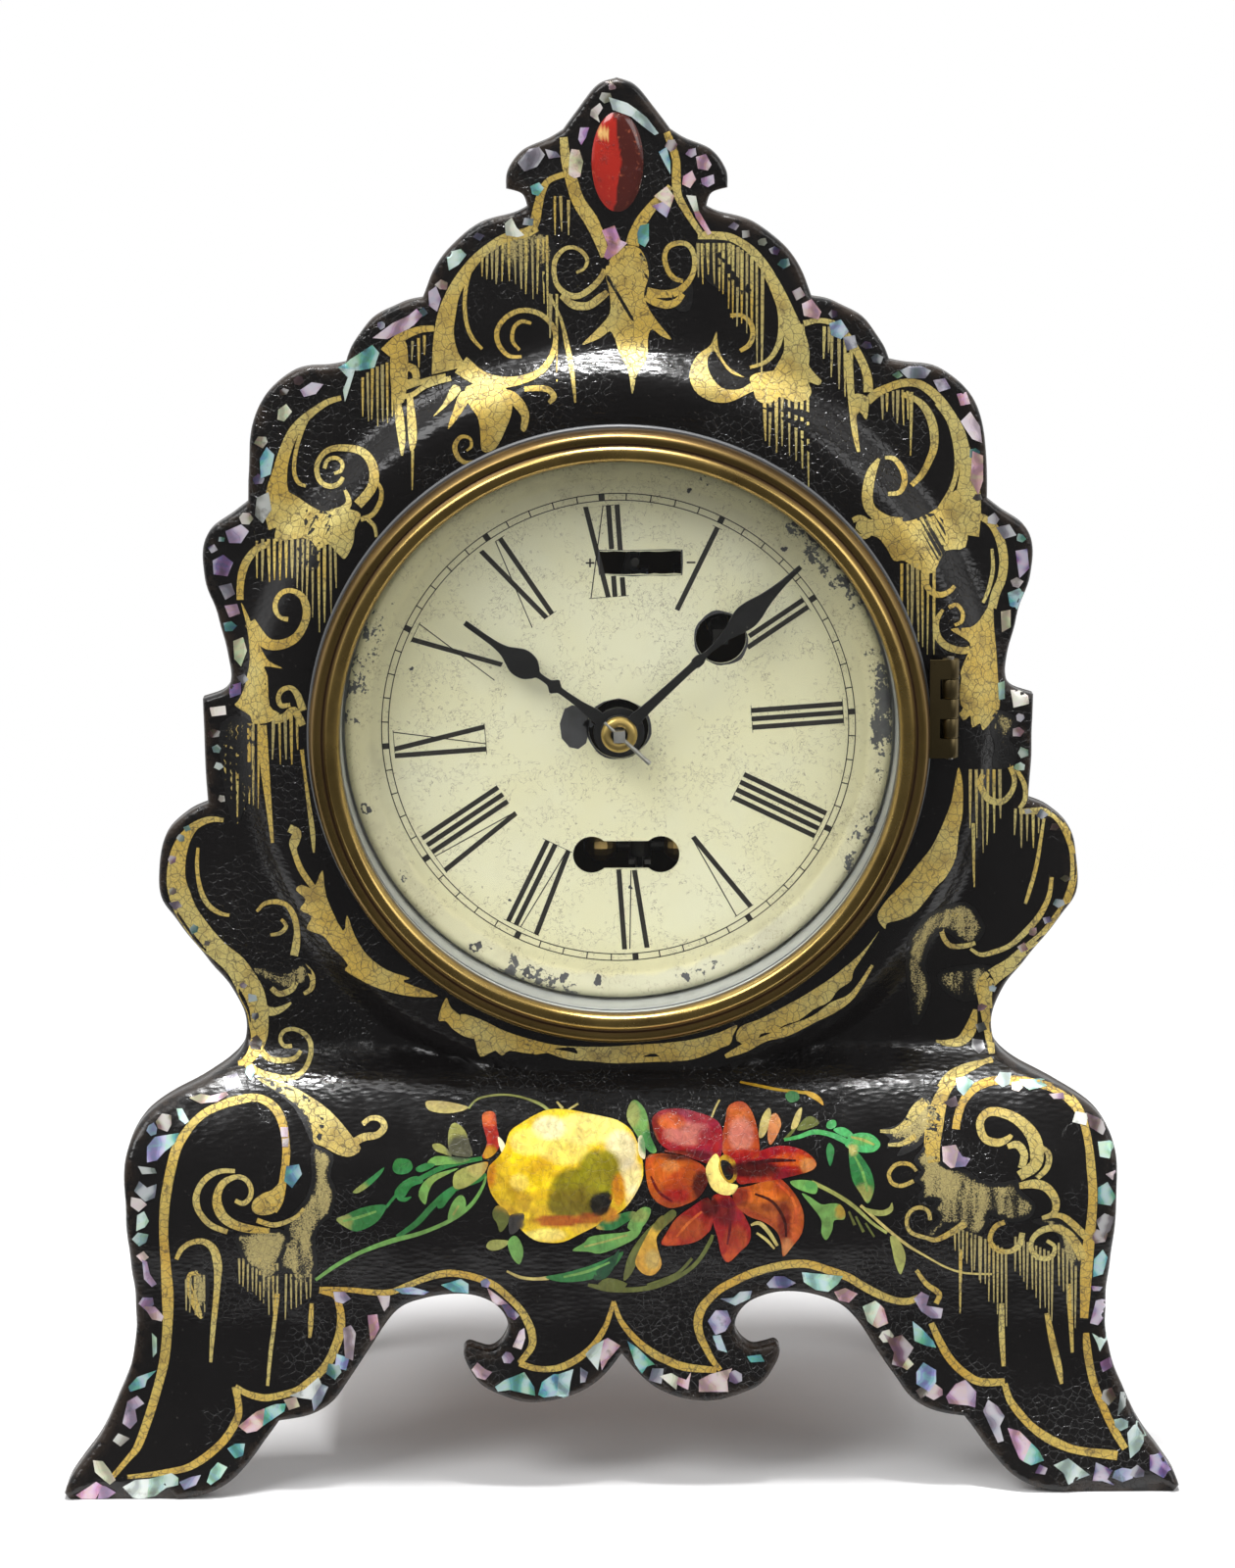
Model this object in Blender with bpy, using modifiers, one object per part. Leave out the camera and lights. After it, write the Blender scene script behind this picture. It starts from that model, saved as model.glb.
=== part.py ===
"""A shelf clock with a moulded front and a torsion balance, built piece by piece.

Metres, +Z up. The clock faces -Y and stands on the floor plane, with the
origin on the floor below its middle. A place along Y is given either as a
world value or as a distance ahead of the front's flat plane.
"""

import math

import bmesh
import bpy

# Clearances
SEAT_GAP = 0.0003
RUNNING_GAP = 0.0004
KNUCKLE_GAP = 0.0003
DRUM_GAP = 0.0005

# Moulded front
FRONT_Y = -0.028
FRONT_WALL = 0.005
BOSS_RISE = 0.007
BOSS_MARGIN = 0.0063
BOSS_SHOULDER = 0.0120
OUTLINE_STEPS = 2
LONG_RUN = 12
RING_STEPS = 48
# Half of the outline, from the top down: each run is smooth and ends in a corner
FRONT_RUNS = (
    ((0.0, 0.2913), (0.0034, 0.2901), (0.0066, 0.2868), (0.0109, 0.2808)),
    ((0.0109, 0.2808), (0.0137, 0.2792), (0.0191, 0.2768), (0.0222, 0.2727), (0.0226, 0.2690)),
    ((0.0226, 0.2690), (0.0194, 0.2679), (0.0184, 0.2654)),
    ((0.0184, 0.2654), (0.0211, 0.2641), (0.0279, 0.2620), (0.0341, 0.2574), (0.0378, 0.2520), (0.0398, 0.2469)),
    ((0.0398, 0.2469), (0.0443, 0.2458), (0.0502, 0.2426), (0.0539, 0.2379), (0.0557, 0.2339)),
    ((0.0557, 0.2339), (0.0594, 0.2333), (0.0660, 0.2322), (0.0715, 0.2280), (0.0746, 0.2221),
     (0.0758, 0.2150), (0.0760, 0.2052)),
    ((0.0760, 0.2052), (0.0791, 0.2029), (0.0837, 0.1997), (0.0855, 0.1952), (0.0852, 0.1893),
     (0.0829, 0.1820), (0.0808, 0.1738), (0.0801, 0.1690), (0.0816, 0.1661), (0.0860, 0.1643)),
    ((0.0860, 0.1643), (0.0860, 0.1565), (0.0857, 0.1490), (0.0854, 0.1424)),
    ((0.0854, 0.1424), (0.0895, 0.1405), (0.0940, 0.1360), (0.0958, 0.1290), (0.0955, 0.1225),
     (0.0926, 0.1176), (0.0888, 0.1127), (0.0850, 0.1080), (0.0811, 0.1030), (0.0788, 0.0985),
     (0.0782, 0.0942), (0.0789, 0.0906), (0.0812, 0.0884), (0.0862, 0.0858), (0.0908, 0.0838),
     (0.0953, 0.0816), (0.0986, 0.0792), (0.1009, 0.0760), (0.1022, 0.0722), (0.1027, 0.0680),
     (0.1026, 0.0610), (0.1022, 0.0540), (0.1015, 0.0465), (0.1010, 0.0395), (0.1013, 0.0325),
     (0.1026, 0.0262), (0.1052, 0.0195), (0.1087, 0.0126), (0.1121, 0.0080), (0.1148, 0.0042),
     (0.1160, 0.0012)),
    ((0.1160, 0.0012), (0.1148, 0.0)),
    ((0.1148, 0.0), (0.0925, 0.0)),
    ((0.0925, 0.0), (0.0862, 0.0010), (0.0808, 0.0038), (0.0762, 0.0088), (0.0714, 0.0152)),
    ((0.0714, 0.0152), (0.0662, 0.0159), (0.0624, 0.0175), (0.0592, 0.0200), (0.0562, 0.0242),
     (0.0523, 0.0302), (0.0488, 0.0353), (0.0455, 0.0386), (0.0412, 0.0405), (0.0366, 0.0414),
     (0.0315, 0.0412), (0.0270, 0.0396), (0.0245, 0.0368), (0.0238, 0.0338), (0.0249, 0.0312),
     (0.0272, 0.0296), (0.0298, 0.0300), (0.0320, 0.0304), (0.0330, 0.0288), (0.0320, 0.0256),
     (0.0290, 0.0219), (0.0244, 0.0196), (0.0189, 0.0185), (0.0132, 0.0189), (0.0077, 0.0210),
     (0.0034, 0.0242), (0.0, 0.0282)),
)
# Side profile of the front: how far each height stands ahead of the flat plane
FRONT_TOP_Z = 0.300
BASE_PROFILE = (
    (0.0920, 0.0000), (0.0895, 0.0022), (0.0867, 0.0076), (0.0838, 0.0110), (0.0780, 0.0155),
    (0.0710, 0.0190), (0.0620, 0.0208), (0.0530, 0.0202), (0.0440, 0.0180), (0.0350, 0.0170),
    (0.0260, 0.0180), (0.0170, 0.0199), (0.0080, 0.0225), (0.0000, 0.0250),
)
BELOW_FLOOR = 0.010

# Wooden case behind the front
CASE_HALF_WIDTH = 0.066
CASE_BOTTOM_Z = 0.046
CASE_TOP_Z = 0.215
CASE_BACK_Y = 0.053
BOARD = 0.006
BULKHEAD = 0.004
FOOT_THICKNESS = 0.010
# Distance outward from the case's side, and height
FOOT_RUN = (
    (0.0, CASE_BOTTOM_Z - SEAT_GAP), (0.0015, 0.0380), (0.0045, 0.0262), (0.0095, 0.0140), (0.0175, 0.0042),
    (0.0200, 0.0), (0.0040, 0.0), (-0.0005, 0.0085), (-0.0060, 0.0205), (-0.0130, 0.0320), (-0.0200, 0.0380),
    (-0.0200, CASE_BOTTOM_Z - SEAT_GAP),
)
BACK_SCREW_HEAD_RADIUS = 0.0024
BACK_SCREW_HEAD = 0.0015
BACK_SCREW_RADIUS = 0.0011
BACK_SCREW_LENGTH = 0.016
BACK_SCREW_INSET = 0.004
BACK_SCREW_RISE = 0.014
SCREW_SLOT = 0.0007

# Dial, drum and bezel, all turned about the dial's centre
DIAL_Z = 0.1576
DIAL_AHEAD = -0.0010
DIAL_THICKNESS = 0.0008
DIAL_FLAT_RADIUS = 0.0515
DIAL_RIM_WIDTH = 0.0052
DIAL_RADIUS = DIAL_FLAT_RADIUS + DIAL_RIM_WIDTH
DIAL_RIM_RISE = 0.0024
DIAL_HOLE_RADIUS = 0.0062
WINDING_HOLE_RADIUS = 0.0052
DIAL_CLEARANCE = 0.0006
DRUM_RADIUS = DIAL_RADIUS + DIAL_CLEARANCE
DRUM_WALL = 0.0009
DRUM_LIP = 0.0048
FLANGE_WIDTH = 0.0060
FLANGE_RADIUS = DRUM_RADIUS + DRUM_WALL + FLANGE_WIDTH
FLANGE = 0.0015
BOSS_FLAT_RADIUS = FLANGE_RADIUS + BOSS_MARGIN
BOSS_FOOT_RADIUS = BOSS_FLAT_RADIUS + BOSS_SHOULDER
BEZEL_OVERLAP = 0.0001
BEZEL_INNER_RADIUS = DRUM_RADIUS - BEZEL_OVERLAP
BEZEL_WIDTH = 0.0064
BEZEL_RADIUS = BEZEL_INNER_RADIUS + BEZEL_WIDTH
GLASS_HOLD = 0.0025
GLASS_RADIUS = BEZEL_INNER_RADIUS + GLASS_HOLD
GLASS = 0.0014
RETAINER = 0.0012
BEZEL_LIP = 0.0013
BEZEL_CREST = 0.0032
GROOVE_DEPTH = 0.0010
# Holes in the dial: the regulator's slot and the balance's window
SLOT_X = 0.0046
SLOT_Z = 0.1923
SLOT_WIDTH = 0.0168
SLOT_HEIGHT = 0.0048
WINDOW_X = 0.0015
WINDOW_Z = 0.1310
WINDOW_SPREAD = 0.0072
WINDOW_RADIUS = 0.0039
WINDOW_WAIST = 0.0058

# Bezel hinge
HINGE_OFF_BEZEL = 0.0043
HINGE_X = BEZEL_RADIUS + HINGE_OFF_BEZEL
HINGE_AHEAD = 0.0095
HINGE_Z = 0.1633
HINGE_HEIGHT = 0.0205
KNUCKLES = 5
BARREL_RADIUS = 0.00175
HINGE_PIN_RADIUS = 0.0007
LEAF = 0.0008
LEAF_NOTCH_X = HINGE_X - 0.0022

# Hands
HAND = 0.0007
HAND_SPACING = 0.0014
HOUR_HAND_AHEAD = 0.0028
HOUR_ANGLE = math.radians(306.0)
MINUTE_ANGLE = math.radians(47.2)
HOUR_HUB_RADIUS = 0.00525
MINUTE_HUB_RADIUS = 0.0039
# Distance from the centre and half width, from the tip in
HOUR_HAND_RUN = (
    (0.0391, 0.0003), (0.0387, 0.00055), (0.0340, 0.0006), (0.0312, 0.00075), (0.0290, 0.0012),
    (0.0272, 0.0021), (0.0258, 0.00275), (0.0243, 0.0029), (0.0226, 0.0025), (0.0212, 0.0014),
    (0.0204, 0.00065), (0.0182, 0.0006), (0.0174, 0.0009), (0.0164, 0.00165), (0.0154, 0.00095),
    (0.0146, 0.00065), (0.0100, 0.0008), (0.0065, 0.0013),
)
MINUTE_HAND_RUN = (
    (0.0508, 0.0003), (0.0504, 0.0005), (0.0460, 0.0007), (0.0412, 0.0014), (0.0378, 0.0023),
    (0.0354, 0.00255), (0.0330, 0.0020), (0.0297, 0.0010), (0.0260, 0.00055), (0.0240, 0.0006),
    (0.0228, 0.0011), (0.0214, 0.0011), (0.0200, 0.0008), (0.0090, 0.0010), (0.0050, 0.0013),
)
COLLET_RADIUS = 0.00375
COLLET = 0.0011
TAPER_PIN_LENGTH = 0.0127
TAPER_PIN_RADIUS = 0.0005
TAPER_PIN_TILT = math.radians(-43)
ARBOR_SQUARE = 0.0024

# Movement plates
PLATE = 0.0015
PLATE_FRONT_Y = -0.0050
PLATE_SPACE = 0.0260
PLATE_CORNER = 0.004
LUG = 0.011
PLATE_SIDE_GAP = 0.004
PLATE_LEFT_X = -0.031
PLATE_RIGHT_X = CASE_HALF_WIDTH - BOARD - PLATE_SIDE_GAP - LUG
PLATE_BOTTOM_Z = 0.091
PLATE_TOP_Z = 0.207
# Windows of the plates, from the plate's nearest edges
WINDOW_EDGE = 0.007
WINDOW_EDGE_RIGHT = 0.009
UPPER_WINDOW = (0.016, 0.023)
UPPER_WINDOW_DROP = 0.011
RIGHT_WINDOW = (0.019, 0.044)
RIGHT_WINDOW_RISE = 0.011
LOWER_WINDOW = (0.014, 0.015)
LOWER_WINDOW_RISE = 0.012
WINDOW_CORNER = 0.003
PILLAR_INSET = 0.005
PILLAR_RADIUS = 0.0026
TENON_RADIUS = 0.0015
TENON_PROUD = 0.0008
RAIL_HEIGHT = 0.0127
RAIL_OVERHANG = 0.004
PIVOT_RADIUS = 0.0005
ARBOR_RADIUS = 0.0011

# Wheels: teeth and tooth size
MAIN_TEETH = 60
CENTRE_PINION_TEETH = 10
MAIN_MODULE = 0.00081
CENTRE_TEETH = 48
THIRD_PINION_TEETH = 6
CENTRE_MODULE = 0.00085
THIRD_TEETH = 45
ESCAPE_PINION_TEETH = 6
THIRD_MODULE = 0.00080
CANNON_TEETH = 12
MINUTE_WHEEL_TEETH = 36
CANNON_MODULE = 0.00070
MINUTE_PINION_TEETH = 10
HOUR_TEETH = 40
ESCAPE_TEETH = 30
ESCAPE_RADIUS = 0.0130
ESCAPE_TOOTH = 0.0022
RATCHET_TEETH = 24
RATCHET_RADIUS = 0.0090
RATCHET_TOOTH = 0.0014
# Tooth shape: widths as shares of the pitch, heights as shares of the module
WHEEL_TOOTH = (0.40, 0.00, 0.90, 1.20)
PINION_TOOTH = (0.32, 0.16, 0.85, 1.20)
TOOTH_FLARE = 0.62
WHEEL = 0.0014

# Places along Y of what turns between the plates
HOUR_WHEEL_Y = -0.0029
HOUR_WHEEL = 0.0012
CANNON_Y = -0.0012
CENTRE_WHEEL_Y = 0.0015
CENTRE_PINION_LENGTH = 0.0058
MAIN_WHEEL_Y = 0.0046
MAIN_WHEEL = 0.0016
RATCHET_Y = 0.0068
RATCHET = 0.0012
THIRD_WHEEL_Y = 0.0100
ESCAPE_WHEEL_Y = 0.0160
ESCAPE_WHEEL = 0.0009
SPRING_Y = 0.0086
SPRING_WIDTH = 0.0110

# Winding arbor and mainspring
WINDING_ANGLE = math.radians(41.7)
WINDING_RADIUS = 0.0022
WINDING_SQUARE = 0.0032
WINDING_AHEAD = -0.0030
SPRING_HUB_RADIUS = 0.0040
SPRING_INNER_RADIUS = 0.0046
SPRING_OUTER_RADIUS = 0.0173
SPRING_TURNS = 4
SPRING_THICKNESS = 0.0005
SPRING_END_ANGLE = math.radians(-20)
SPRING_POST_RADIUS = 0.0012
# Click, given about the winding arbor
CLICK_PIVOT = (-0.0094, 0.0099)
CLICK_BOSS_RADIUS = 0.0020
CLICK_STUD_RADIUS = 0.0009
CLICK_TIP = (
    (-0.00035, 0.00925), (-0.00030, 0.0104), (-0.0030, 0.0117), (-0.0070, 0.0122),
)
CLICK_UNDER = ((-0.0070, 0.0086), (-0.0025, 0.01015), (-0.00065, 0.00922))
CLICK_SPRING_RUN = (
    (0.0062, 0.0134), (0.0078, 0.0120), (0.0100, 0.0128), (0.0098, 0.0152), (0.0070, 0.0158),
    (0.0020, 0.0156), (-0.0030, 0.0142), (-0.0062, 0.0127), (-0.0058, 0.0123), (-0.0028, 0.0136),
    (0.0020, 0.0148),
)

# Escapement and torsion balance
ESCAPE_Z = 0.1160
VERGE_DROP = 0.0152
PALLET_ANGLE = math.radians(33)
PALLET_CLEARANCE = 0.00025
PALLET_WIDTH = 0.0005
PALLET_LENGTH = 0.0022
ANCHOR = 0.0015
BALANCE_X = 0.0046
BALANCE_Y = -0.0145
BALANCE_Z = 0.1305
BALL_RADIUS = 0.0035
BALL_SPREAD = 0.0083
BALANCE_BAR_RADIUS = 0.0010
BALANCE_HUB_RADIUS = 0.0024
BALANCE_HUB_TOP_Z = 0.1345
BALANCE_HUB_BOTTOM_Z = 0.1285
BALANCE_PIN_ARM = 0.0060
BALANCE_PIN_RADIUS = 0.00055
STRIP = 0.00025
STRIP_WIDTH = 0.0016
STRIP_SLIT = 0.0010
STRIP_BOTTOM_Z = 0.1322
COCK_Z = 0.1835
COCK_HEIGHT = 0.0040
COCK_FOOT_X = 0.0120
COCK_FOOT_WIDTH = 0.0060
STRIP_HEAD = 0.0015
STRIP_HEAD_WIDTH = 0.0036
CRUTCH_Y = -0.0069
CRUTCH = 0.0012
CRUTCH_WIDTH = 0.0016
FORK_BOTTOM_Z = 0.1259
FORK_HEIGHT = 0.0010
FORK_SLOT = 0.0021
FORK_CHEEK = 0.00125
FORK_LENGTH = 0.0046

# Regulator lever
REGULATOR_X = -0.0004
REGULATOR_Z = 0.1760
REGULATOR_Y = -0.0096
REGULATOR = 0.0010
REGULATOR_HUB_RADIUS = 0.0030
FINGER_X = 0.0035
FINGER_RADIUS = 0.0009
REGULATOR_STUD_RADIUS = 0.0012
REGULATOR_FORK_WIDTH = 0.0062
REGULATOR_FORK_HEIGHT = 0.0012

# Name: colour, roughness and metallic value of each material
FINISHES = {
    "black_lacquer": ((0.010, 0.009, 0.009), 0.30, 0.0),
    "case_wood": ((0.235, 0.125, 0.060), 0.60, 0.0),
    "dial_paint": ((0.780, 0.730, 0.560), 0.45, 0.0),
    "zinc": ((0.300, 0.310, 0.320), 0.50, 1.0),
    "bezel_brass": ((0.430, 0.260, 0.090), 0.28, 1.0),
    "movement_brass": ((0.600, 0.420, 0.170), 0.35, 1.0),
    "steel": ((0.400, 0.390, 0.380), 0.35, 1.0),
    "spring_steel": ((0.160, 0.170, 0.210), 0.30, 1.0),
    "hand_black": ((0.012, 0.012, 0.014), 0.35, 0.0),
    "glass": ((0.900, 0.950, 0.940), 0.02, 0.0),
    "iron_screw": ((0.150, 0.140, 0.130), 0.50, 1.0),
}


def clear_scene():
    """Remove every object of the scene that the script starts in."""
    for old in list(bpy.data.objects):
        bpy.data.objects.remove(old, do_unlink=True)


def make_collection(name):
    """Add a collection to the scene and return it."""
    collection = bpy.data.collections.new(name)
    bpy.context.scene.collection.children.link(collection)
    return collection


def make_material(piece, finish_name):
    """Return a piece's own material, with the colour, roughness and metallic value of its finish."""
    colour, roughness, metallic = FINISHES[finish_name]
    material = bpy.data.materials.new(f"{piece}_{finish_name}")
    material.use_nodes = True
    shader = material.node_tree.nodes["Principled BSDF"]
    shader.inputs["Base Color"].default_value = (*colour, 1.0)
    shader.inputs["Roughness"].default_value = roughness
    shader.inputs["Metallic"].default_value = metallic
    material.diffuse_color = (*colour, 1.0)
    return material


def add_mesh(name, mesh, location=(0, 0, 0), rotation=(0, 0, 0)):
    """Put a mesh into the clock as an object."""
    item = bpy.data.objects.new(name, mesh)
    item.location = location
    item.rotation_euler = rotation
    CLOCK.objects.link(item)
    return item


def finish(item, finish_name, carrier=None):
    """Give a piece its material and, where it moves, the empty that carries it."""
    item.data.materials.clear()
    item.data.materials.append(make_material(item.name, finish_name))
    item.data.shade_smooth()
    item.data.set_sharp_from_angle(angle=math.radians(30))
    if carrier is not None:
        item.parent = carrier
        item.location = item.location - carrier.location
    return item


def make_pivot(name, location):
    """Return an empty on a joint's axis."""
    pivot = bpy.data.objects.new(name, None)
    pivot.location = location
    pivot.empty_display_size = 0.01
    CLOCK.objects.link(pivot)
    return pivot


def as_tool(item):
    """Move an object to the cutters, out of the clock itself."""
    CLOCK.objects.unlink(item)
    TOOLS.objects.link(item)
    item.hide_render = True
    item.display_type = "WIRE"
    return item


def combine(item, other, operation):
    """Add a Boolean of another object, which becomes a tool."""
    modifier = item.modifiers.new(operation.lower(), "BOOLEAN")
    modifier.operation = operation
    modifier.solver = "EXACT"
    modifier.object = as_tool(other)
    return item


def cut(item, *others):
    """Cut other objects out of a piece."""
    for other in others:
        combine(item, other, "DIFFERENCE")
    return item


def join(item, *others):
    """Join other objects to a piece."""
    for other in others:
        combine(item, other, "UNION")
    return item


def block(name, low, high):
    """A box between two corners."""
    sizes = [b - a for a, b in zip(low, high)]
    middle = [(a + b) / 2 for a, b in zip(low, high)]
    work = bmesh.new()
    bmesh.ops.create_cube(work, size=1.0)
    bmesh.ops.scale(work, vec=sizes, verts=work.verts)
    mesh = bpy.data.meshes.new(name)
    work.to_mesh(mesh)
    work.free()
    return add_mesh(name, mesh, middle)


def rod(name, radius, start, end, sides=16, end_radius=None):
    """A round rod, or a cone with an end radius, along the line between two points."""
    along = [b - a for a, b in zip(start, end)]
    length = math.sqrt(sum(v * v for v in along))
    middle = [(a + b) / 2 for a, b in zip(start, end)]
    work = bmesh.new()
    bmesh.ops.create_cone(
        work, cap_ends=True, segments=sides, radius1=radius,
        radius2=radius if end_radius is None else end_radius, depth=length,
    )
    mesh = bpy.data.meshes.new(name)
    work.to_mesh(mesh)
    work.free()
    lean = math.acos(along[2] / length)
    swing = math.atan2(along[1], along[0])
    return add_mesh(name, mesh, middle, (0.0, lean, swing))


def front_rod(name, radius, x, z, y_front, y_back, sides=16):
    """A round rod along Y."""
    return rod(name, radius, (x, y_front, z), (x, y_back, z), sides)


def sheet(name, outlines, x, z, y_front, thickness):
    """A flat piece that faces the front, cut to outlines given about a point."""
    curve = bpy.data.curves.new(name, "CURVE")
    curve.dimensions = "2D"
    curve.fill_mode = "BOTH"
    curve.extrude = thickness / 2
    for outline in outlines:
        spline = curve.splines.new("POLY")
        spline.points.add(len(outline) - 1)
        for point, (u, v) in zip(spline.points, outline):
            point.co = (u, v, 0.0, 1.0)
        spline.use_cyclic_u = True
    drawn = bpy.data.objects.new(name, curve)
    CLOCK.objects.link(drawn)
    bpy.context.view_layer.update()
    seen = drawn.evaluated_get(bpy.context.evaluated_depsgraph_get())
    mesh = bpy.data.meshes.new_from_object(seen)
    bpy.data.objects.remove(drawn)
    bpy.data.curves.remove(curve)
    work = bmesh.new()
    work.from_mesh(mesh)
    bmesh.ops.remove_doubles(work, verts=work.verts, dist=1e-6)
    bmesh.ops.recalc_face_normals(work, faces=work.faces)
    work.to_mesh(mesh)
    work.free()
    return add_mesh(name, mesh, (x, y_front + thickness / 2, z), (math.pi / 2, 0.0, 0.0))


def turned(name, profile, x, z, closed=False, steps=16):
    """A piece turned about a line along Y; the profile runs front to back on its outer side."""
    mesh = bpy.data.meshes.new(name)
    vertices = [(radius, 0.0, -y) for radius, y in profile]
    count = len(vertices)
    edges = [(i, (i + 1) % count) for i in range(count if closed else count - 1)]
    mesh.from_pydata(vertices, edges, [])
    item = add_mesh(name, mesh, (x, 0.0, z), (math.pi / 2, 0.0, 0.0))
    screw = item.modifiers.new("turn", "SCREW")
    screw.axis = "Z"
    screw.steps = steps
    screw.render_steps = steps
    screw.use_merge_vertices = True
    screw.merge_threshold = 0.00001
    return item


def settle(item):
    """Fix an object's modifiers into its mesh, so that its faces can be shaded and shared."""
    bpy.context.view_layer.update()
    seen = item.evaluated_get(bpy.context.evaluated_depsgraph_get())
    mesh = bpy.data.meshes.new_from_object(seen)
    item.modifiers.clear()
    item.data = mesh
    return item


def circle(radius, sides=16, x=0.0, z=0.0):
    """Points of a circle."""
    return [
        (x + radius * math.cos(i * math.tau / sides), z + radius * math.sin(i * math.tau / sides))
        for i in range(sides)
    ]


def smooth_run(points, steps):
    """Points of a smooth curve through the given ones, without the last."""
    found = []
    last = len(points) - 1
    for i in range(last):
        before = points[max(i - 1, 0)]
        here = points[i]
        there = points[i + 1]
        after = points[min(i + 2, last)]
        for step in range(steps):
            t = step / steps
            found.append(tuple(
                0.5 * (2 * b + (c - a) * t + (2 * a - 5 * b + 4 * c - d) * t * t
                       + (3 * b - a - 3 * c + d) * t * t * t)
                for a, b, c, d in zip(before, here, there, after)
            ))
    return found


def front_outline():
    """The whole outline of the front, both halves."""
    half = []
    for run in FRONT_RUNS:
        half += smooth_run(run, OUTLINE_STEPS if 2 < len(run) < LONG_RUN else 1)
    half.append(FRONT_RUNS[-1][-1])
    mirrored = [(-x, z) for x, z in half[1:-1]]
    return half + mirrored[::-1]


def offset_back(profile, wall):
    """The profile of the front's rear face: each corner moved back along its normal."""
    moved = []
    last = len(profile) - 1
    for i, (y, z) in enumerate(profile):
        y_before, z_before = profile[max(i - 1, 0)]
        y_after, z_after = profile[min(i + 1, last)]
        along_y = y_after - y_before
        along_z = z_after - z_before
        length = math.hypot(along_y, along_z)
        moved.append((y - along_z / length * wall, z + along_y / length * wall))
    return moved


def ahead(distance):
    """The Y of a point ahead of the front's flat plane."""
    return FRONT_Y - distance


def rounded_rectangle(left, bottom, right, top, corner, steps=3):
    """Points of a rectangle with round corners."""
    found = []
    centres = (
        (right - corner, top - corner, 0), (left + corner, top - corner, 1),
        (left + corner, bottom + corner, 2), (right - corner, bottom + corner, 3),
    )
    for x, z, quarter in centres:
        for i in range(steps + 1):
            angle = (quarter + i / steps) * math.pi / 2
            found.append((x + corner * math.cos(angle), z + corner * math.sin(angle)))
    return found


def tooth_outline(teeth, module, phase, shape):
    """Outline of a toothed wheel; a tooth is pointed where its tip has no width."""
    width, tip_width, addendum, dedendum = shape
    step = math.tau / teeth
    root = module * teeth / 2 - dedendum * module
    tip = module * teeth / 2 + addendum * module
    half_root = step * width * TOOTH_FLARE
    half_tip = step * tip_width / 2
    top = ((tip, -half_tip), (tip, half_tip)) if tip_width else ((tip, 0.0),)
    corners = ((root, -half_root), *top, (root, half_root))
    return [
        (radius * math.cos(phase + i * step + off), radius * math.sin(phase + i * step + off))
        for i in range(teeth)
        for radius, off in corners
    ]


def mesh_phase(phase, teeth, other_teeth, angle):
    """Phase of a wheel that meshes with another one, which lies in a given direction from it."""
    share = ((angle - phase) * teeth / math.tau) % 1
    return angle + math.pi - (0.5 - share) * math.tau / other_teeth


def crossings(inner, outer, count=4, half_arm=0.0015):
    """Outlines of the windows between a wheel's arms."""
    found = []
    for i in range(count):
        start = i * math.tau / count
        end = start + math.tau / count
        outline = []
        for radius, first, final in ((outer, start, end), (inner, end, start)):
            margin = math.asin(half_arm / radius) * (1 if final > first else -1)
            for k in range(4):
                angle = first + margin + (final - first - 2 * margin) * k / 3
                outline.append((radius * math.cos(angle), radius * math.sin(angle)))
        found.append(outline)
    return found


def about(point, direction, distance):
    """The point at a distance in a direction from another."""
    return (point[0] + distance * math.cos(direction), point[1] + distance * math.sin(direction))


def two_circles(first, first_radius, second, second_radius, side):
    """A point at given distances from two others, on one side of the line between them."""
    gap_x = second[0] - first[0]
    gap_z = second[1] - first[1]
    gap = math.hypot(gap_x, gap_z)
    along = (first_radius**2 - second_radius**2 + gap**2) / (2 * gap)
    across = side * math.sqrt(max(first_radius**2 - along**2, 0.0))
    return (
        first[0] + (along * gap_x - across * gap_z) / gap,
        first[1] + (along * gap_z + across * gap_x) / gap,
    )


def direction(start, end):
    """The angle of the line between two points."""
    return math.atan2(end[1] - start[1], end[0] - start[0])


# Places that follow from the sizes above
CENTRE = (0.0, DIAL_Z)
MAIN_REACH = MAIN_MODULE * (MAIN_TEETH + CENTRE_PINION_TEETH) / 2
WINDING = about(CENTRE, WINDING_ANGLE, MAIN_REACH)
ESCAPE = (BALANCE_X, ESCAPE_Z)
VERGE = (BALANCE_X, ESCAPE_Z - VERGE_DROP)
THIRD = two_circles(
    CENTRE, CENTRE_MODULE * (CENTRE_TEETH + THIRD_PINION_TEETH) / 2,
    ESCAPE, THIRD_MODULE * (THIRD_TEETH + ESCAPE_PINION_TEETH) / 2, -1,
)
MOTION_REACH = CANNON_MODULE * (CANNON_TEETH + MINUTE_WHEEL_TEETH) / 2
HOUR_MODULE = 2 * MOTION_REACH / (MINUTE_PINION_TEETH + HOUR_TEETH)
MINUTE_STUD = about(CENTRE, math.pi, MOTION_REACH)
PLATE_BACK_Y = PLATE_FRONT_Y + PLATE + PLATE_SPACE
CASE_FRONT_Y = FRONT_Y + FRONT_WALL + SEAT_GAP
BOARD_FRONT_Y = CASE_FRONT_Y + BULKHEAD + SEAT_GAP
BACK_BOARD_Y = CASE_BACK_Y - BOARD
HINGE_Y = ahead(HINGE_AHEAD)
DRUM_OUTER_RADIUS = DRUM_RADIUS + DRUM_WALL
FLANGE_FRONT = BOSS_RISE + SEAT_GAP + FLANGE
BEZEL_BACK = FLANGE_FRONT + SEAT_GAP
RETAINER_BACK = BEZEL_BACK + SEAT_GAP
GLASS_BACK = RETAINER_BACK + RETAINER + SEAT_GAP
BEZEL_SEAT = GLASS_BACK + GLASS + SEAT_GAP
SEAT_RADIUS = GLASS_RADIUS + SEAT_GAP
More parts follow.
